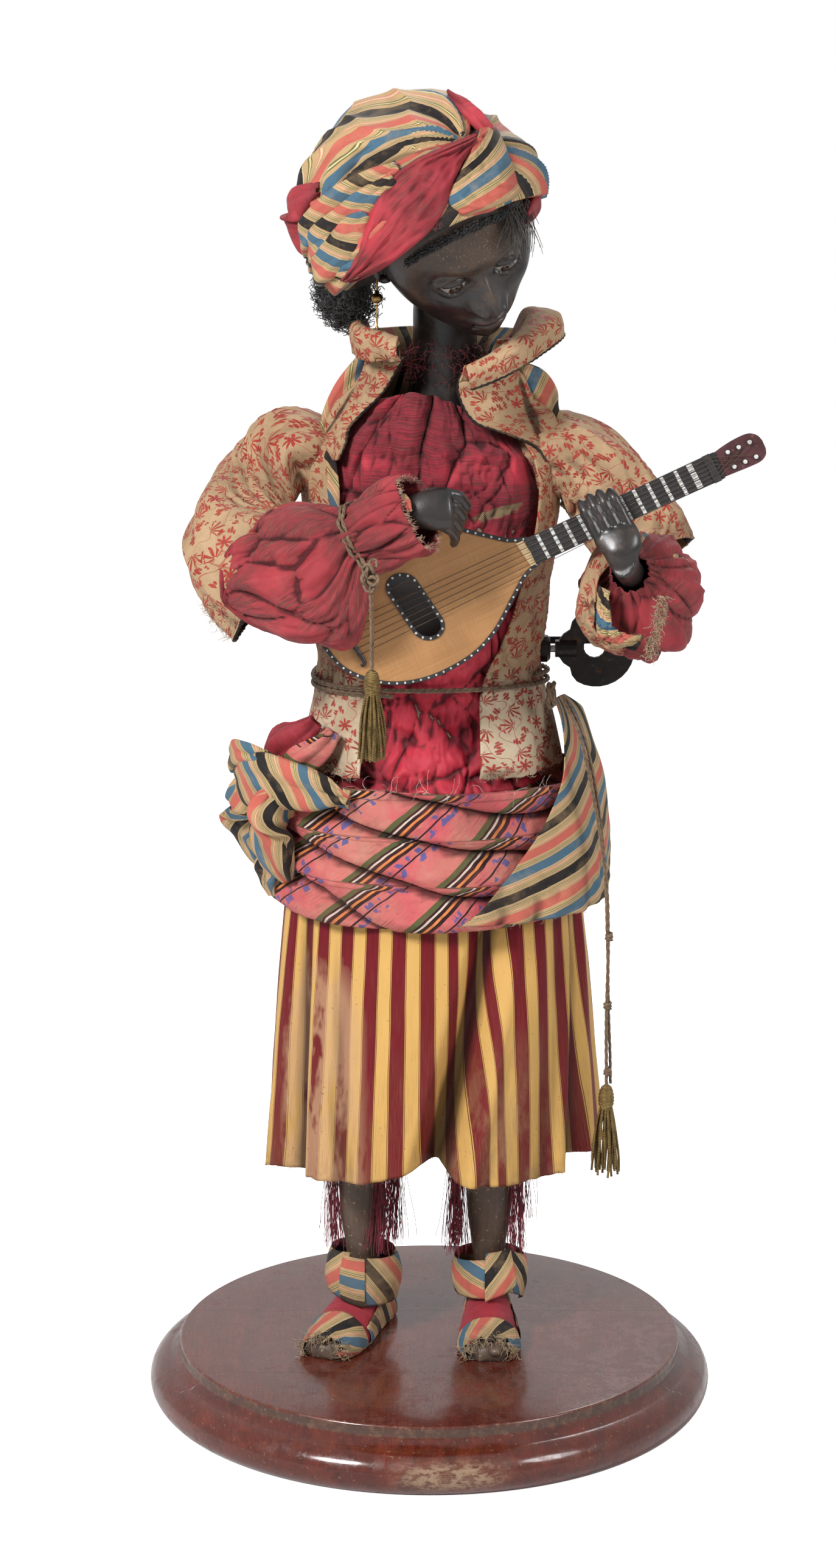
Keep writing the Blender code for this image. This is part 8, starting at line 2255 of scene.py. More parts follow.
hanging = frayed_threads("turban_fringe", fringe, 45, 0.0300, 0.00034, dark_threads, 0.8, 0.14, 12)
set_on(hanging, "head")
wisps = []
for _ in range(60):
    wisps.append((band_rows[spin.randrange(25, 57)][-1], (spin.uniform(-0.4, 0.9), -0.5, -0.8)))
band_wisps = frayed_threads("band_wisps", wisps, 46, 0.0065, 0.00014,
                            thread_look("rose_threads", (0.30, 0.05, 0.06), (0.12, 0.02, 0.03)), 0.5, 0.4, 8)
set_on(band_wisps, "head")

# Lute: a small flat-faced lute with a spruce front and a ribbed dark back. Its edge and its long sound hole
# are bound in black with pearl dots, and the black neck has pearl frets and a stained head with six pegs.
LUTE_OUTLINE = ((0.000, 0.0083), (-0.010, 0.0120), (-0.022, 0.0210), (-0.038, 0.0330), (-0.055, 0.0405),
                (-0.075, 0.0430), (-0.092, 0.0415), (-0.107, 0.0365), (-0.120, 0.0275), (-0.130, 0.0150),
                (-0.1345, 0.0))
BOWL_CENTRE, BOWL_DEPTH, BOARD_WALL = -0.072, 0.030, 0.0020
HOLE_S, HOLE_T, HOLE_HALF, HOLE_LONG, HOLE_SLANT = -0.0755, -0.001, 0.0075, 0.0125, 0.16
BRIDGE_S, NUT_S, STRING_COUNT = -0.1185, 0.1150, 6


def lute_point(s, t, out):
    return LUTE_AT + LUTE_ALONG * s + LUTE_ACROSS * t + LUTE_OUT * out


half_line = smooth_line(LUTE_OUTLINE, 110)
lute_edge = [(s, w) for s, w in half_line] + [(s, -w) for s, w in half_line[-2::-1]]
lute_edge += [(0.0, -0.0083 + 0.0166 * part) for part in np.linspace(0.1, 0.9, 9)]
lute_edge = np.array(lute_edge)


def hole_reach(angle):
    """How far the sound hole's edge lies from its centre at a bearing."""
    low, high = 0.0, 0.04
    for _ in range(30):
        reach = (low + high) / 2
        s, t = reach * math.cos(angle), reach * math.sin(angle)
        s += HOLE_SLANT * t
        away = math.hypot(s, max(abs(t) - HOLE_LONG, 0.0))
        low, high = (reach, high) if away < HOLE_HALF else (low, reach)
    return reach


def spruce_front():
    made = Finish("spruce_front", (0.46, 0.25, 0.1), 0.38, Coat_Weight=0.2, Coat_Roughness=0.3,
                  Specular_IOR_Level=0.4)
    grid = made.cloth()
    grain = made.noise(made.scaled(grid, 16.0, 1500.0), 1.0, 3.0, 0.6, 0.15)
    broad = made.noise(made.scaled(grid, 8.0, 170.0), 1.0, 2.0, 0.5)
    silk = made.noise(made.scaled(grid, 900.0, 60.0), 1.0, 2.0, 0.5)
    cloud = made.noise(made.place(), 26.0, 4.0, 0.6)
    colour = made.mix(grain.above(0.5, 0.2), (0.500, 0.265, 0.105), (0.385, 0.185, 0.068))
    colour = made.mix(broad.above(0.52, 0.2) * 0.4, colour, (0.330, 0.155, 0.055))
    colour = made.mix(silk.above(0.62, 0.1) * 0.22, colour, (0.60, 0.36, 0.17))
    colour = made.mix(cloud.above(0.56, 0.12) * 0.35, colour, (0.30, 0.135, 0.048))
    marks = made.noise(made.place(), 260.0, 3.0, 0.6).above(0.74, 0.02)
    colour = made.mix(marks * 0.5, colour, (0.10, 0.05, 0.025))
    made.set("Base Color", colour)
    made.set("Roughness", made.blend(cloud, 0.34, 0.52))
    made.raise_by(grain, 0.00006)
    return made.done()


def black_wood(name, colour=(0.014, 0.013, 0.014), bare=(0.09, 0.06, 0.045)):
    made = Finish(name, colour, 0.36, Specular_IOR_Level=0.45)
    place = made.place()
    soft = made.noise(place, 60.0, 4.0, 0.6)
    streak = made.noise(made.node("ShaderNodeMapping",
                                  {"Vector": place, "Rotation": (0.0, math.radians(25), 0.0),
                                                        "Scale": (30.0, 900.0, 900.0)}), 1.0, 3.0, 0.6)
    rub = made.noise(place, 330.0, 3.0, 0.65).above(0.66, 0.04)
    base = made.mix(soft.above(0.5, 0.2), colour, tuple(2.2 * part for part in colour))
    made.set("Base Color", made.mix(rub * 0.6, base, bare))
    made.set("Roughness", made.blend(soft, 0.26, 0.50))
    made.raise_by(streak, 0.00008)
    return made.done()


def pearl():
    made = Finish("pearl", (0.72, 0.70, 0.64), 0.22, Coat_Weight=0.5, Coat_Roughness=0.1,
                  Specular_IOR_Level=0.6)
    place = made.place()
    layer = made.noise(place, 900.0, 3.0, 0.6, 1.0)
    colour = made.mix(layer.above(0.5, 0.2), (0.76, 0.74, 0.68), (0.50, 0.52, 0.53))
    grime = made.noise(place, 260.0, 3.0, 0.6).above(0.58, 0.1)
    made.set("Base Color", made.mix(grime * 0.5, colour, (0.22, 0.19, 0.15)))
    made.raise_by(layer, 0.00005)
    return made.done()


spruce_look, ebony_look, pearl_look = spruce_front(), black_wood("ebonised_wood"), pearl()
board_rows, board_at = [], []
bearing = [math.atan2(t - HOLE_T, s - HOLE_S) for s, t in lute_edge]
for out in (0.0, -BOARD_WALL):
    steps = np.linspace(0.0, 1.0, 14)
    for part in steps if out == 0.0 else steps[::-1]:
        ring, at = [], []
        for (s, t), angle in zip(lute_edge, bearing):
            reach = hole_reach(angle)
            inner_s, inner_t = HOLE_S + reach * math.cos(angle), HOLE_T + reach * math.sin(angle)
            here_s, here_t = inner_s + (s - inner_s) * part, inner_t + (t - inner_t) * part
            ring.append(tuple(lute_point(here_s, here_t, out)))
            at.append((here_s, here_t))
        board_rows.append(ring)
        board_at.append(at)
board_rows.append(board_rows[0])
board_at.append(board_at[0])
edge_count = len(lute_edge)
board = mesh_piece("lute_front", np.array(board_rows).reshape(-1, 3),
                   grid_faces(len(board_rows), edge_count, True),
                   spruce_look, smooth=False, coords=np.array(board_at).reshape(-1, 2), closed_up=True)
set_on(board, "root", "lute_soundboard")


def back_ribs():
    made = Finish("lute_back", (0.1, 0.04, 0.02), 0.3, Coat_Weight=0.4, Coat_Roughness=0.2)
    v = made.split(made.cloth())[1]
    rib = (v * (11.0 / math.pi)).fract()
    joint = (rib - 0.5).size().above(0.465, 0.012)
    wood = made.noise(made.scaled(made.cloth(), 40.0, 60.0), 1.0, 4.0, 0.6, 0.6)
    odd = ((v * (5.5 / math.pi)).fract()).above(0.5)
    light = made.mix(wood.above(0.5, 0.2), (0.150, 0.060, 0.028), (0.085, 0.030, 0.016))
    dark = made.mix(wood.above(0.5, 0.2), (0.060, 0.022, 0.014), (0.032, 0.013, 0.010))
    colour = made.mix(odd, light, dark)
    made.set("Base Color", made.mix(joint, colour, (0.55, 0.42, 0.24)))
    made.set("Roughness", made.blend(wood, 0.22, 0.42))
    made.raise_by(joint * -1.0, 0.0001)
    return made.done()


bowl_rows, bowl_at = [], []
for inset in (0.0, 0.0015):
    steps = np.linspace(0.0, 90.0, 26)
    for degrees in steps if inset == 0.0 else steps[::-1]:
        share, depth = math.cos(math.radians(degrees)), math.sin(math.radians(degrees))
        ring, at = [], []
        for s, t in lute_edge:
            shrink = 1.0 - inset / 0.043
            here_s = BOWL_CENTRE + (s - BOWL_CENTRE) * share * shrink
            here_t = t * share * shrink
            out = -BOARD_WALL - 0.0003 - (BOWL_DEPTH - inset) * depth
            ring.append(tuple(lute_point(here_s, here_t, out)))
            at.append((here_s, math.atan2(-out, here_t if abs(here_t) > 1e-9 else 1e-9)))
        bowl_rows.append(ring)
        bowl_at.append(at)
bowl_rows.append(bowl_rows[0])
bowl_at.append(bowl_at[0])
bowl = mesh_piece("lute_back", np.array(bowl_rows).reshape(-1, 3),
                  grid_faces(len(bowl_rows), edge_count, True),
                  back_ribs(), coords=np.array(bowl_at).reshape(-1, 2), closed_up=True)
set_on(bowl, "root", "lute_bowl")


def binding(name, line, profile, look):
    """A flat band round a closed line of (s, t), with a section of (outward, out) points."""
    line = np.asarray(line)
    along = np.roll(line, -1, axis=0) - np.roll(line, 1, axis=0)
    along /= np.linalg.norm(along, axis=1)[:, None]
    normal = np.stack([along[:, 1], -along[:, 0]], axis=1)
    if ((line - line.mean(0)) * normal).sum() < 0:
        normal = -normal
    rows = []
    for outward, out in (*profile, profile[0]):
        rows.append([tuple(lute_point(*(line[i] + normal[i] * outward), out)) for i in range(len(line))])
    made = mesh_piece(name, np.array(rows).reshape(-1, 3), grid_faces(len(rows), len(line), True), look,
                      smooth=False, closed_up=True)
    set_on(made, "root")
    return line, normal


def inlaid_dots(name, line, spacing, radius, depth, look, seed):
    """Small discs set along a line at even steps, made with geometry nodes and then turned into a mesh."""
    tree = bpy.data.node_groups.new(name + "_setting", "GeometryNodeTree")
    face = tree.interface
    face.new_socket("Geometry", in_out="INPUT", socket_type="NodeSocketGeometry")
    inputs = {}
    for label, value in (("Spacing", spacing), ("Radius", radius), ("Depth", depth)):
        inputs[label] = (face.new_socket(label, in_out="INPUT", socket_type="NodeSocketFloat"), value)
    face.new_socket("Geometry", in_out="OUTPUT", socket_type="NodeSocketGeometry")
    given, made_out = tree.nodes.new("NodeGroupInput"), tree.nodes.new("NodeGroupOutput")
    path = tree.nodes.new("GeometryNodeMeshToCurve")
    even = tree.nodes.new("GeometryNodeResampleCurve")
    even.mode = "LENGTH"
    disc = tree.nodes.new("GeometryNodeMeshCylinder")
    disc.inputs["Vertices"].default_value = 10
    place = tree.nodes.new("GeometryNodeInstanceOnPoints")
    place.inputs["Rotation"].default_value = LUTE_OUT.to_track_quat("Z", "Y").to_euler()
    vary = tree.nodes.new("FunctionNodeRandomValue")
    vary.data_type = "FLOAT_VECTOR"
    vary.inputs[0].default_value = (0.82, 0.82, 1.0)
    vary.inputs[1].default_value = (1.12, 1.12, 1.0)
    vary.inputs["Seed"].default_value = seed
    solid = tree.nodes.new("GeometryNodeRealizeInstances")
    paint = tree.nodes.new("GeometryNodeSetMaterial")
    paint.inputs["Material"].default_value = look
    join = tree.links.new
    join(given.outputs["Geometry"], path.inputs[0])
    join(path.outputs[0], even.inputs["Curve"])
    join(given.outputs["Spacing"], even.inputs["Length"])
    join(given.outputs["Radius"], disc.inputs["Radius"])
    join(given.outputs["Depth"], disc.inputs["Depth"])
    join(even.outputs[0], place.inputs["Points"])
    join(disc.outputs["Mesh"], place.inputs["Instance"])
    join(vary.outputs[0], place.inputs["Scale"])
    join(place.outputs[0], solid.inputs[0])
    join(solid.outputs[0], paint.inputs["Geometry"])
    join(paint.outputs[0], made_out.inputs[0])
    wire = bpy.data.meshes.new(name + "_line")
    wire.from_pydata([tuple(point) for point in line], [(i, i + 1) for i in range(len(line) - 1)], [])
    guide = bpy.data.objects.new(name + "_line", wire)
    scene.collection.objects.link(guide)
    setting = guide.modifiers.new("setting", "NODES")
    setting.node_group = tree
    for socket, value in inputs.values():
        setting[socket.identifier] = value
    bpy.context.view_layer.update()
    mesh = bpy.data.meshes.new_from_object(guide.evaluated_get(bpy.context.evaluated_depsgraph_get()))
    bpy.data.objects.remove(guide)
    made = bpy.data.objects.new(name, mesh)
    mesh.name = name
    if not mesh.materials:
        mesh.materials.append(look)
    scene.collection.objects.link(made)
    return made


def dots_round(name, line, normal, outward, out, spacing, radius, seed, skip=None):
    points = [lute_point(*(at + side * outward), out) for at, side in zip(line, normal)]
    if skip:
        points = points[skip[0]:skip[1]]
    made = inlaid_dots(name, points, spacing, radius, 0.0006, pearl_look, seed)
    set_on(made, "root")


line, normal = binding("lute_edge_binding", lute_edge, ((0.0006, -0.0026), (0.0006, 0.0002),
                                                        (0.0002, 0.0006), (-0.0017, 0.0006),
                                                        (-0.0017, -0.0004), (-0.0002, -0.0026)),
                       ebony_look)
dots_round("lute_edge_pearls", line, normal, -0.0006, 0.0007, 0.0047, 0.00064, 5, (2, 218))
angles = np.linspace(0, 2 * math.pi, 120, endpoint=False)
hole_line = [(HOLE_S + hole_reach(a) * math.cos(a), HOLE_T + hole_reach(a) * math.sin(a)) for a in angles]
line, normal = binding("sound_hole_binding", hole_line,
                       ((-0.0002, -0.0022), (-0.0002, 0.0007), (0.0021, 0.0007), (0.0021, -0.0003),
                        (0.0006, -0.0003), (0.0006, -0.0022)),
                       ebony_look)
dots_round("sound_hole_pearls", np.vstack([line, line[:1]]), np.vstack([normal, normal[:1]]), 0.0010, 0.0008,
           0.0046, 0.00072, 6)


def neck_solid(name, stations, look):
    """A neck or head, flat in front and round behind, from (s, middle, half, front, back) stations."""
    rings = []
    for s, middle, half, front, back in smooth_line(stations, len(stations) * 8):
        ring = [lute_point(s, middle + half * side, front) for side in (1.0, 0.5, 0.0, -0.5, -1.0)]
        for step in range(1, 16):
            turn = math.pi * step / 16
            out = front - 0.0006 + (back - front + 0.0006) * math.sin(turn)
            ring.append(lute_point(s, middle - half * math.cos(turn), out))
        rings.append([tuple(point) for point in ring])
    made = closed_limb(name, np.array(rings), look)
    made.data.set_sharp_from_angle(angle=math.radians(40))
    set_on(made, "root")
    return made


neck_wood = neck_solid("lute_neck_wood", ((0.0005, 0.0, 0.0082, 0.0010, -0.0130),
                                          (0.020, 0.0, 0.0080, 0.0010, -0.0095),
                                          (0.060, 0.0, 0.0080, 0.0010, -0.0088),
                                          (0.1125, 0.0, 0.0083, 0.0010, -0.0080),
                                          (0.1190, 0.0, 0.0080, 0.0008, -0.0074)), ebony_look)
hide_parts("lute_neck")


def slab(name, s_range, half_range, out_range, look, slant=0.0):
    corners = [lute_point(s + slant * t, t, out) for out in out_range
               for s, t in ((s_range[0], half_range[0]), (s_range[1], half_range[0]),
                            (s_range[1], half_range[1]), (s_range[0], half_range[1]))]
    faces = [(0, 3, 2, 1), (4, 5, 6, 7), (0, 1, 5, 4), (1, 2, 6, 5), (2, 3, 7, 6), (3, 0, 4, 7)]
    made = mesh_piece(name, corners, faces, look, smooth=False, closed_up=True)
    round_off = made.modifiers.new("edges", "BEVEL")
    round_off.width = 0.00018
    round_off.segments = 2
    set_on(made, "root")
    return made


slab("lute_fingerboard", (-0.0012, 0.1115), (-0.0081, 0.0081), (0.0009, 0.0019), ebony_look)
holly_look = Finish("holly_wedge", (0.62, 0.44, 0.24), 0.5).done()
slab("lute_neck_point", (-0.0058, -0.0012), (-0.0078, 0.0078), (-0.0002, 0.0008), holly_look, -0.16)
FRET_PARTS = 3
spin = random.Random(12)
for fret in range(12):
    s = 0.0067 + 0.00876 * fret
    wide = 0.0021 if fret < 11 else 0.0034
    for part in range(FRET_PARTS):
        low = -0.0079 + 0.0158 * part / FRET_PARTS + spin.uniform(0.0001, 0.0004)
        high = -0.0079 + 0.0158 * (part + 1) / FRET_PARTS - spin.uniform(0.0001, 0.0004)
        slab(f"fret_{fret + 1}_{part + 1}", (s - wide / 2 + spin.uniform(-0.0001, 0.0001), s + wide / 2),
             (low, high), (0.0016, 0.0021), pearl_look, slant=-0.06)
slab("lute_nut", (0.1116, 0.1162), (-0.0086, 0.0086), (0.0004, 0.0029), ebony_look, slant=-0.04)
head_wood = black_wood("stained_head", (0.050, 0.016, 0.018), (0.20, 0.09, 0.07))
neck_solid("lute_head", ((0.1150, 0.0, 0.0074, -0.0004, -0.0070), (0.1180, 0.0, 0.0076, -0.0006, -0.0068),
                         (0.1260, 0.0006, 0.0086, -0.0012, -0.0066),
                         (0.1350, 0.0008, 0.0092, -0.0017, -0.0065),
                         (0.1415, 0.0006, 0.0088, -0.0020, -0.0064),
                         (0.1455, 0.0002, 0.0062, -0.0022, -0.0063),
                         (0.1470, 0.0, 0.0026, -0.0023, -0.0060)), head_wood)
PEG_PLACES = [(base + 0.0069 * index, t) for t, base in ((0.0046, 0.1262), (-0.0046, 0.1262))
              for index in range(3)]


def turned_pin(name, start, end, radii, look, sides=20):
    line = [(*(start + (end - start) * part), radius, radius) for part, radius in radii]
    made = closed_limb(name, limb_rows(line, len(radii) * 4, sides, LUTE_ALONG), look)
    set_on(made, "root")
    return made


for index, (s, t) in enumerate(PEG_PLACES):
    turned_pin(f"peg_{index + 1}", lute_point(s - 0.0016, t, -0.0068), lute_point(s, t, -0.0008),
               ((0.0, 0.0009), (0.2, 0.0016), (0.45, 0.0011), (0.7, 0.0013), (0.93, 0.0017), (1.0, 0.0016)),
               ebony_look)
    turned_pin(f"peg_pearl_{index + 1}", lute_point(s, t, -0.0009), lute_point(s, t, 0.0002),
               ((0.0, 0.0013), (0.5, 0.0013), (0.85, 0.0011), (1.0, 0.0004)), pearl_look)
gut = Finish("gut_strings", (0.085, 0.050, 0.028), 0.45, Specular_IOR_Level=0.4)
twist_line = gut.noise(gut.scaled(gut.place(), 300.0, 300.0, 300.0), 4.0, 2.0)
gut.set("Base Color", gut.mix(twist_line.above(0.5, 0.2), (0.110, 0.066, 0.036), (0.045, 0.028, 0.018)))
gut_look = gut.done()
strings = []
for index in range(STRING_COUNT):
    share = index / (STRING_COUNT - 1) - 0.5
    peg_s, peg_t = PEG_PLACES[(2, 1, 0, 3, 4, 5)[index]]
    points = [lute_point(BRIDGE_S, -share * -0.0200 - 0.003, 0.0026),
              lute_point(NUT_S, share * 0.0125, 0.0031),
              lute_point(NUT_S + 0.0020, share * 0.0115, 0.0024),
              lute_point(peg_s, peg_t + 0.0013 * (1 if peg_t < 0 else -1),
                                                                             -0.0004)]
    strings.append([tuple(points[0] + (points[1] - points[0]) * part) for part in np.linspace(0, 1, 12)]
                   + [tuple(point) for point in points[2:]])
cage_points, cage_faces = [], []
for chain in strings:
    rows = limb_rows([(*point, 0.00022, 0.00022) for point in chain], 60, 6, LUTE_OUT)
    first = len(cage_points)
    cage_points += [tuple(point) for point in rows.reshape(-1, 3)]
    cage_faces += [tuple(first + value for value in face) for face in grid_faces(60, 6, True)]
    cage_faces += [tuple(first + value for value in (5, 4, 3, 2, 1, 0)),
                   tuple(first + 354 + value for value in range(6))]
gut_strings = mesh_piece("lute_strings_gut", cage_points, cage_faces, gut_look)
set_on(gut_strings, "root", "lute_strings")
bridge_line = [lute_point(s, t, 0.0013) for s, t in ((-0.1232, 0.0062), (-0.1220, 0.0040),
                                                     (-0.1205, 0.0020), (-0.1185, -0.0030),
                                                     (-0.1172, -0.0100), (-0.1160, -0.0170),
                                                     (-0.1172, -0.0196), (-0.1190, -0.0188))]
bridge_half = (0.0005, 0.0009, 0.0012, 0.0014, 0.0014, 0.0012, 0.0009, 0.0005)
bridge = closed_limb("lute_bridge", limb_rows([(*point, half, 0.0012)
                                               for point, half in zip(bridge_line, bridge_half)],
                                              60, 16, LUTE_ALONG), ebony_look)
set_on(bridge, "root")

# Hands: carved wood under black paint, each cut in one piece with its wrist. The right one curls its
# fingers to pluck. The left one stops the strings. The paint is rubbed brown over the knuckles.
hand_look = dark_paint("hand_paint", 0.5)


def carved(name, limbs, voxel, rub_places, look):
    """One skin over several overlapping limbs: they are joined, remeshed and smoothed like carving."""
    points, faces = [], []
    for stations, across, sides in limbs:
        rows = limb_rows(stations, len(stations) * 7, sides, across)
        count, first = rows.shape[0], len(points)
        points += [tuple(point) for point in rows.reshape(-1, 3)]
        points += [tuple(rows[0].mean(0)), tuple(rows[-1].mean(0))]
        faces += [tuple(first + value for value in face) for face in grid_faces(count, sides, True)]
        end, last = first + count * sides, first + (count - 1) * sides
        for step in range(sides):
            after = (step + 1) % sides
            faces += [(first + after, first + step, end), (last + step, last + after, end + 1)]
    raw = mesh_piece(name + "_block", points, faces, look, closed_up=True)
    block = raw.modifiers.new("one_skin", "REMESH")
    block.mode = "VOXEL"
    block.voxel_size = voxel
    soften = raw.modifiers.new("soften", "SMOOTH")
    soften.factor = 0.5
    soften.iterations = 5
    bpy.context.view_layer.update()
    mesh = bpy.data.meshes.new_from_object(raw.evaluated_get(bpy.context.evaluated_depsgraph_get()))
    bpy.data.objects.remove(raw)
    mesh.name = name
    mesh.materials.clear()
    mesh.materials.append(look)
    mesh.shade_smooth()
    rub = np.zeros(len(mesh.vertices), np.float32)
    places = np.zeros(len(mesh.vertices) * 3, np.float32)
    mesh.vertices.foreach_get("co", places)
    places = places.reshape(-1, 3)
    for place, reach, strength in rub_places:
        away = np.linalg.norm(places - np.asarray(tuple(place), np.float32), axis=1)
        rub += strength * np.exp(-(away / reach) ** 2).astype(np.float32)
    layer = mesh.attributes.new("rub", "FLOAT", "POINT")
    layer.data.foreach_set("value", rub)
    made = bpy.data.objects.new(name, mesh)
    scene.collection.objects.link(made)
    return made


def finger_limb(points, radius, across):
    """A finger with fuller joints and a rounded tip, from its root, two joints and its tip."""
    line = smooth_line(points, 13)
    sizes = (1.02, 1.0, 0.95, 0.97, 1.05, 0.98, 0.90, 0.94, 1.0, 0.92, 0.86, 0.80, 0.62)
    stations = [(*point, radius * size, radius * size) for point, size in zip(line, sizes)]
    tip = line[-1] + (line[-1] - line[-2]) * 0.35
    return stations + [(*tip, radius * 0.25, radius * 0.25)], across, 20


def palm_limb(stations, across):
    return [(*point, half, depth) for point, half, depth in stations], across, 32


onward, fan = Vector((0.0240, -0.002, 0.003)), Vector((0.0022, 0.0015, 0.0060))
reach = WRIST_RIGHT - ELBOW_RIGHT
knuckle = WRIST_RIGHT + onward
limbs = [palm_limb([(ELBOW_RIGHT + reach * part, half, half * 0.9) for part, half in (
    (0.10, 0.0070), (0.40, 0.0085), (0.75, 0.0084), (0.97, 0.0080), (1.03, 0.0070))], (0, 0, 1)),
         palm_limb([(WRIST_RIGHT - reach * 0.06, 0.0078, 0.0064),
                    (WRIST_RIGHT + onward * 0.30, 0.0100, 0.0072),
                    (WRIST_RIGHT + onward * 0.75, 0.0124, 0.0070), (knuckle + onward * 0.10, 0.0112, 0.0052),
                    (knuckle + onward * 0.18, 0.0060, 0.0030)], fan)]
rubs = []
for index in range(4):
    root = knuckle + fan * (index - 1.5) * 0.98 - onward * 0.15
    points = [root, root + Vector((0.0078, 0.0030, -0.0024)), root + Vector((0.0122, 0.0125, -0.0090)),
              root + Vector((0.0115, 0.0225, -0.0150))]
    limbs.append(finger_limb([tuple(point) for point in points], 0.0032, LUTE_OUT))
    rubs += [(points[0] + LUTE_OUT * 0.003, 0.0030, 0.25), (points[1] + LUTE_OUT * 0.003, 0.0026, 0.45)]
thumb_at = WRIST_RIGHT + onward * 0.25 + fan * 1.1
limbs.append(finger_limb([tuple(thumb_at), tuple(thumb_at + Vector((0.008, 0.006, 0.003))),
                          tuple(thumb_at + Vector((0.015, 0.013, 0.000))),
                          tuple(thumb_at + Vector((0.0200, 0.0190, -0.006)))],
                         0.0035, LUTE_OUT))
hand_right = carved("hand_right_painted", limbs, 0.00070, rubs, hand_look)
set_on(hand_right, "forearm_right", "hand_right")
free_fold("wrist_scrap", [
    [tuple(WRIST_RIGHT + Vector((-0.006, -0.002, 0.0105))),
     tuple(WRIST_RIGHT + Vector((-0.001, -0.008, 0.0085))),
     tuple(WRIST_RIGHT + Vector((0.001, -0.0095, 0.0010)))],
    [tuple(WRIST_RIGHT + Vector((-0.002, -0.003, 0.0125))),
     tuple(WRIST_RIGHT + Vector((0.003, -0.010, 0.0100))),
     tuple(WRIST_RIGHT + Vector((0.005, -0.0115, 0.0030)))]],
    [lining_look], 23.0, "forearm_right", 1.2, 40, 16, 0.0012, 0.0008)

reach = WRIST_LEFT - ELBOW_LEFT
heel = lute_point(0.0480, -0.0175, 0.0115)
limbs = [palm_limb([(ELBOW_LEFT + reach * part, half, half * 0.9) for part, half in (
    (0.05, 0.0100), (0.40, 0.0105), (0.75, 0.0088), (0.98, 0.0082), (1.04, 0.0072))], (0, 0, 1)),
         palm_limb([(WRIST_LEFT - reach * 0.06, 0.0080, 0.0070), (WRIST_LEFT.lerp(heel, 0.5), 0.0098, 0.0072),
                    (heel, 0.0128, 0.0064), (lute_point(0.0475, -0.0085, 0.0095), 0.0126, 0.0040),
                    (lute_point(0.0475, -0.0065, 0.0092), 0.0090, 0.0022)], LUTE_ALONG)]
rubs = [(lute_point(0.0500, -0.0170, 0.0170), 0.0060, 0.55)]
for index in range(4):
    at = 0.0385 + 0.0061 * index
    long = (0.0, 0.0012, 0.0010, -0.0010)[index]
    points = [lute_point(at, -0.0115, 0.0098), lute_point(at - 0.0005, 0.0, 0.0094),
              lute_point(at - 0.0010, 0.0085, 0.0086), lute_point(at - 0.0015, 0.0150 + long, 0.0046)]
    limbs.append(finger_limb([tuple(point) for point in points], 0.0032, LUTE_ALONG))
    rubs += [(points[0] + LUTE_OUT * 0.003, 0.0028, 0.4), (points[1] + LUTE_OUT * 0.003, 0.0024, 0.3)]
thumb = [lute_point(0.0560, -0.0185, 0.0080), lute_point(0.0545, -0.0165, -0.0040),
         lute_point(0.0515, -0.0130, -0.0125), lute_point(0.0495, -0.0080, -0.0165)]
limbs.append(finger_limb([tuple(point) for point in thumb], 0.0035, LUTE_ALONG))
hand_left = carved("hand_left_painted", limbs, 0.00070, rubs, hand_look)
set_on(hand_left, "forearm_left", "hand_left")

# Key and stop lever: blackened iron that stands out behind the left side. The key is one casting with a
# three-lobed bow and a round hole, which the hand has worn to bright metal at its edges.


def iron_look(name, colour, bright):
    made = Finish(name, colour, 0.42, Metallic=0.85, Specular_IOR_Level=0.5)
    place = made.place()
    cast = made.noise(place, 240.0, 4.0, 0.65)
    patch = made.noise(place, 60.0, 4.0, 0.6)
    base = made.mix(patch.above(0.5, 0.2), colour, tuple(1.9 * part for part in colour))
    rust = made.noise(place, 130.0, 5.0, 0.7).above(0.62, 0.06)
    base = made.mix(rust * 0.6, base, (0.085, 0.036, 0.018))
    made.set("Base Color", made.mix(cast.above(0.68, 0.05) * 0.5, base, bright))
    made.set("Roughness", made.blend(patch, 0.36, 0.60))
    made.raise_by(cast, 0.00012)
    return made.done()


def metal_look(name, colour, dull, roughness=0.3):
    made = Finish(name, colour, roughness, Metallic=1.0)
    place = made.place()
    brushed = made.noise(made.scaled(place, 300.0, 2600.0, 300.0), 1.0, 3.0, 0.6)
    stain = made.noise(place, 90.0, 4.0, 0.65)
    base = made.mix(stain.above(0.55, 0.12), colour, dull)
    made.set("Base Color", made.mix(brushed.above(0.6, 0.1) * 0.2, base,
                                    tuple(0.6 * part for part in colour)))
    made.set("Roughness", made.blend(stain, roughness - 0.08, roughness + 0.22))
    made.raise_by(brushed, 0.00003)
    return made.done()


def wood_look(name, light, dark):
    made = Finish(name, light, 0.55, Specular_IOR_Level=0.35)
    place = made.place()
    grain = made.noise(made.scaled(place, 500.0, 500.0, 30.0), 1.0, 4.0, 0.6, 0.3)
    flecks = made.noise(made.scaled(place, 1500.0, 1500.0, 160.0), 1.0, 2.0, 0.6).above(0.62, 0.05)
    base = made.mix(grain.above(0.5, 0.2), light, dark)
    made.set("Base Color", made.mix(flecks * 0.5, base, tuple(0.55 * part for part in dark)))
    made.raise_by(grain, 0.0001)
    return made.done()


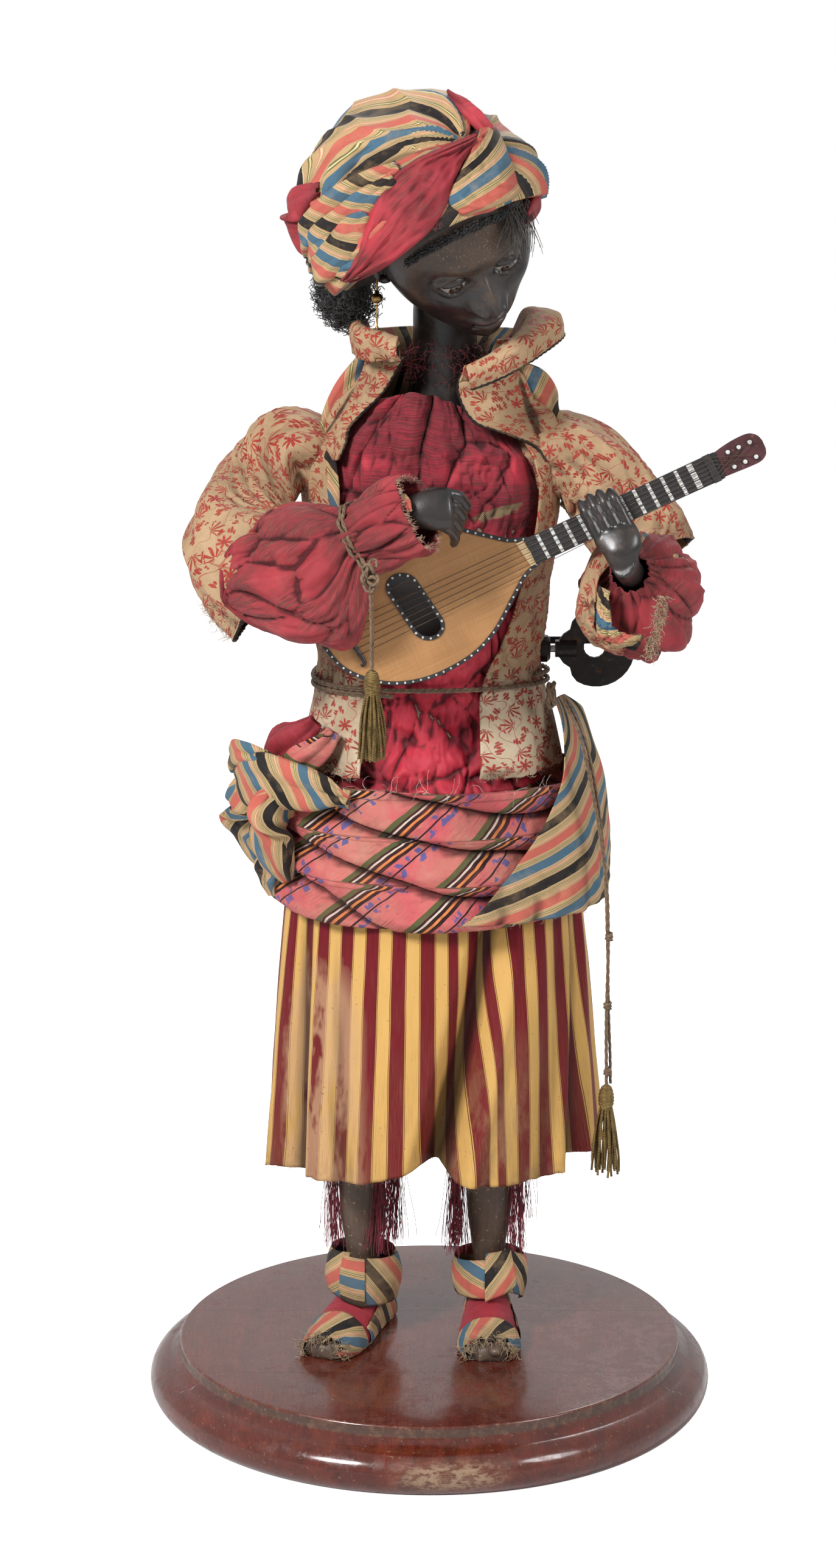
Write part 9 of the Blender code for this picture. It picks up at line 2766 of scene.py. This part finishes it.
def paper_shell():
    made = Finish("papier_mache_shell", (0.3, 0.24, 0.17), 0.8, Specular_IOR_Level=0.25)
    place = made.place()
    torn = made.cells(place, 46.0, "F1", "Distance")
    sheet = made.noise(place, 40.0, 5.0, 0.6)
    base = made.mix(sheet.above(0.5, 0.2), (0.36, 0.29, 0.20), (0.20, 0.15, 0.10))
    print_dust = made.noise(place, 700.0, 2.0, 0.5).above(0.62, 0.04)
    made.set("Base Color", made.mix(print_dust * 0.25, base, (0.07, 0.05, 0.04)))
    made.raise_by(torn, 0.0003)
    made.raise_by(sheet, 0.0004)
    return made.done()


black_iron = iron_look("black_iron", (0.016, 0.014, 0.013), (0.14, 0.12, 0.10))
clock_brass = metal_look("clock_brass", (0.60, 0.42, 0.17), (0.28, 0.18, 0.07))
clock_steel = metal_look("clock_steel", (0.42, 0.42, 0.43), (0.16, 0.14, 0.13), 0.34)
beech_look = wood_look("beech_wood", (0.44, 0.28, 0.16), (0.28, 0.165, 0.09))
shell_look = paper_shell()


def finish_node(name, look):
    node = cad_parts[name]
    node.data.materials.clear()
    node.data.materials.append(look)


for name in ("winding_key", "key_collar", "stop_lever"):
    finish_node(name, black_iron)

# Clockwork and frame: brass plates, wheels and fly on steel arbors, a beech post and arms, and a papier
# mache trunk. They are hidden in dress, and show through the openings of the trunk when it is undressed.
for name in ("movement_plate_left", "movement_plate_right", "spring_barrel", "second_wheel", "third_wheel",
             "governor_fly", "music_cylinder"):
    finish_node(name, clock_brass)
finish_node("neck_yoke", metal_look("blacked_brass", (0.030, 0.022, 0.016), (0.010, 0.008, 0.007), 0.5))
for name in ("winding_arbor", "ratchet_wheel", "click", "mainspring", "camshaft", "music_comb", "head_lever",
             "strum_lever"):
    finish_node(name, clock_steel)
for name in ("pelvis_block", "upper_arm_left", "upper_arm_right"):
    finish_node(name, beech_look)
for name in ("torso_front_shell", "torso_back_cover"):
    finish_node(name, shell_look)
for name in ("foot_bolt_left", "foot_bolt_right"):
    finish_node(name, black_iron)
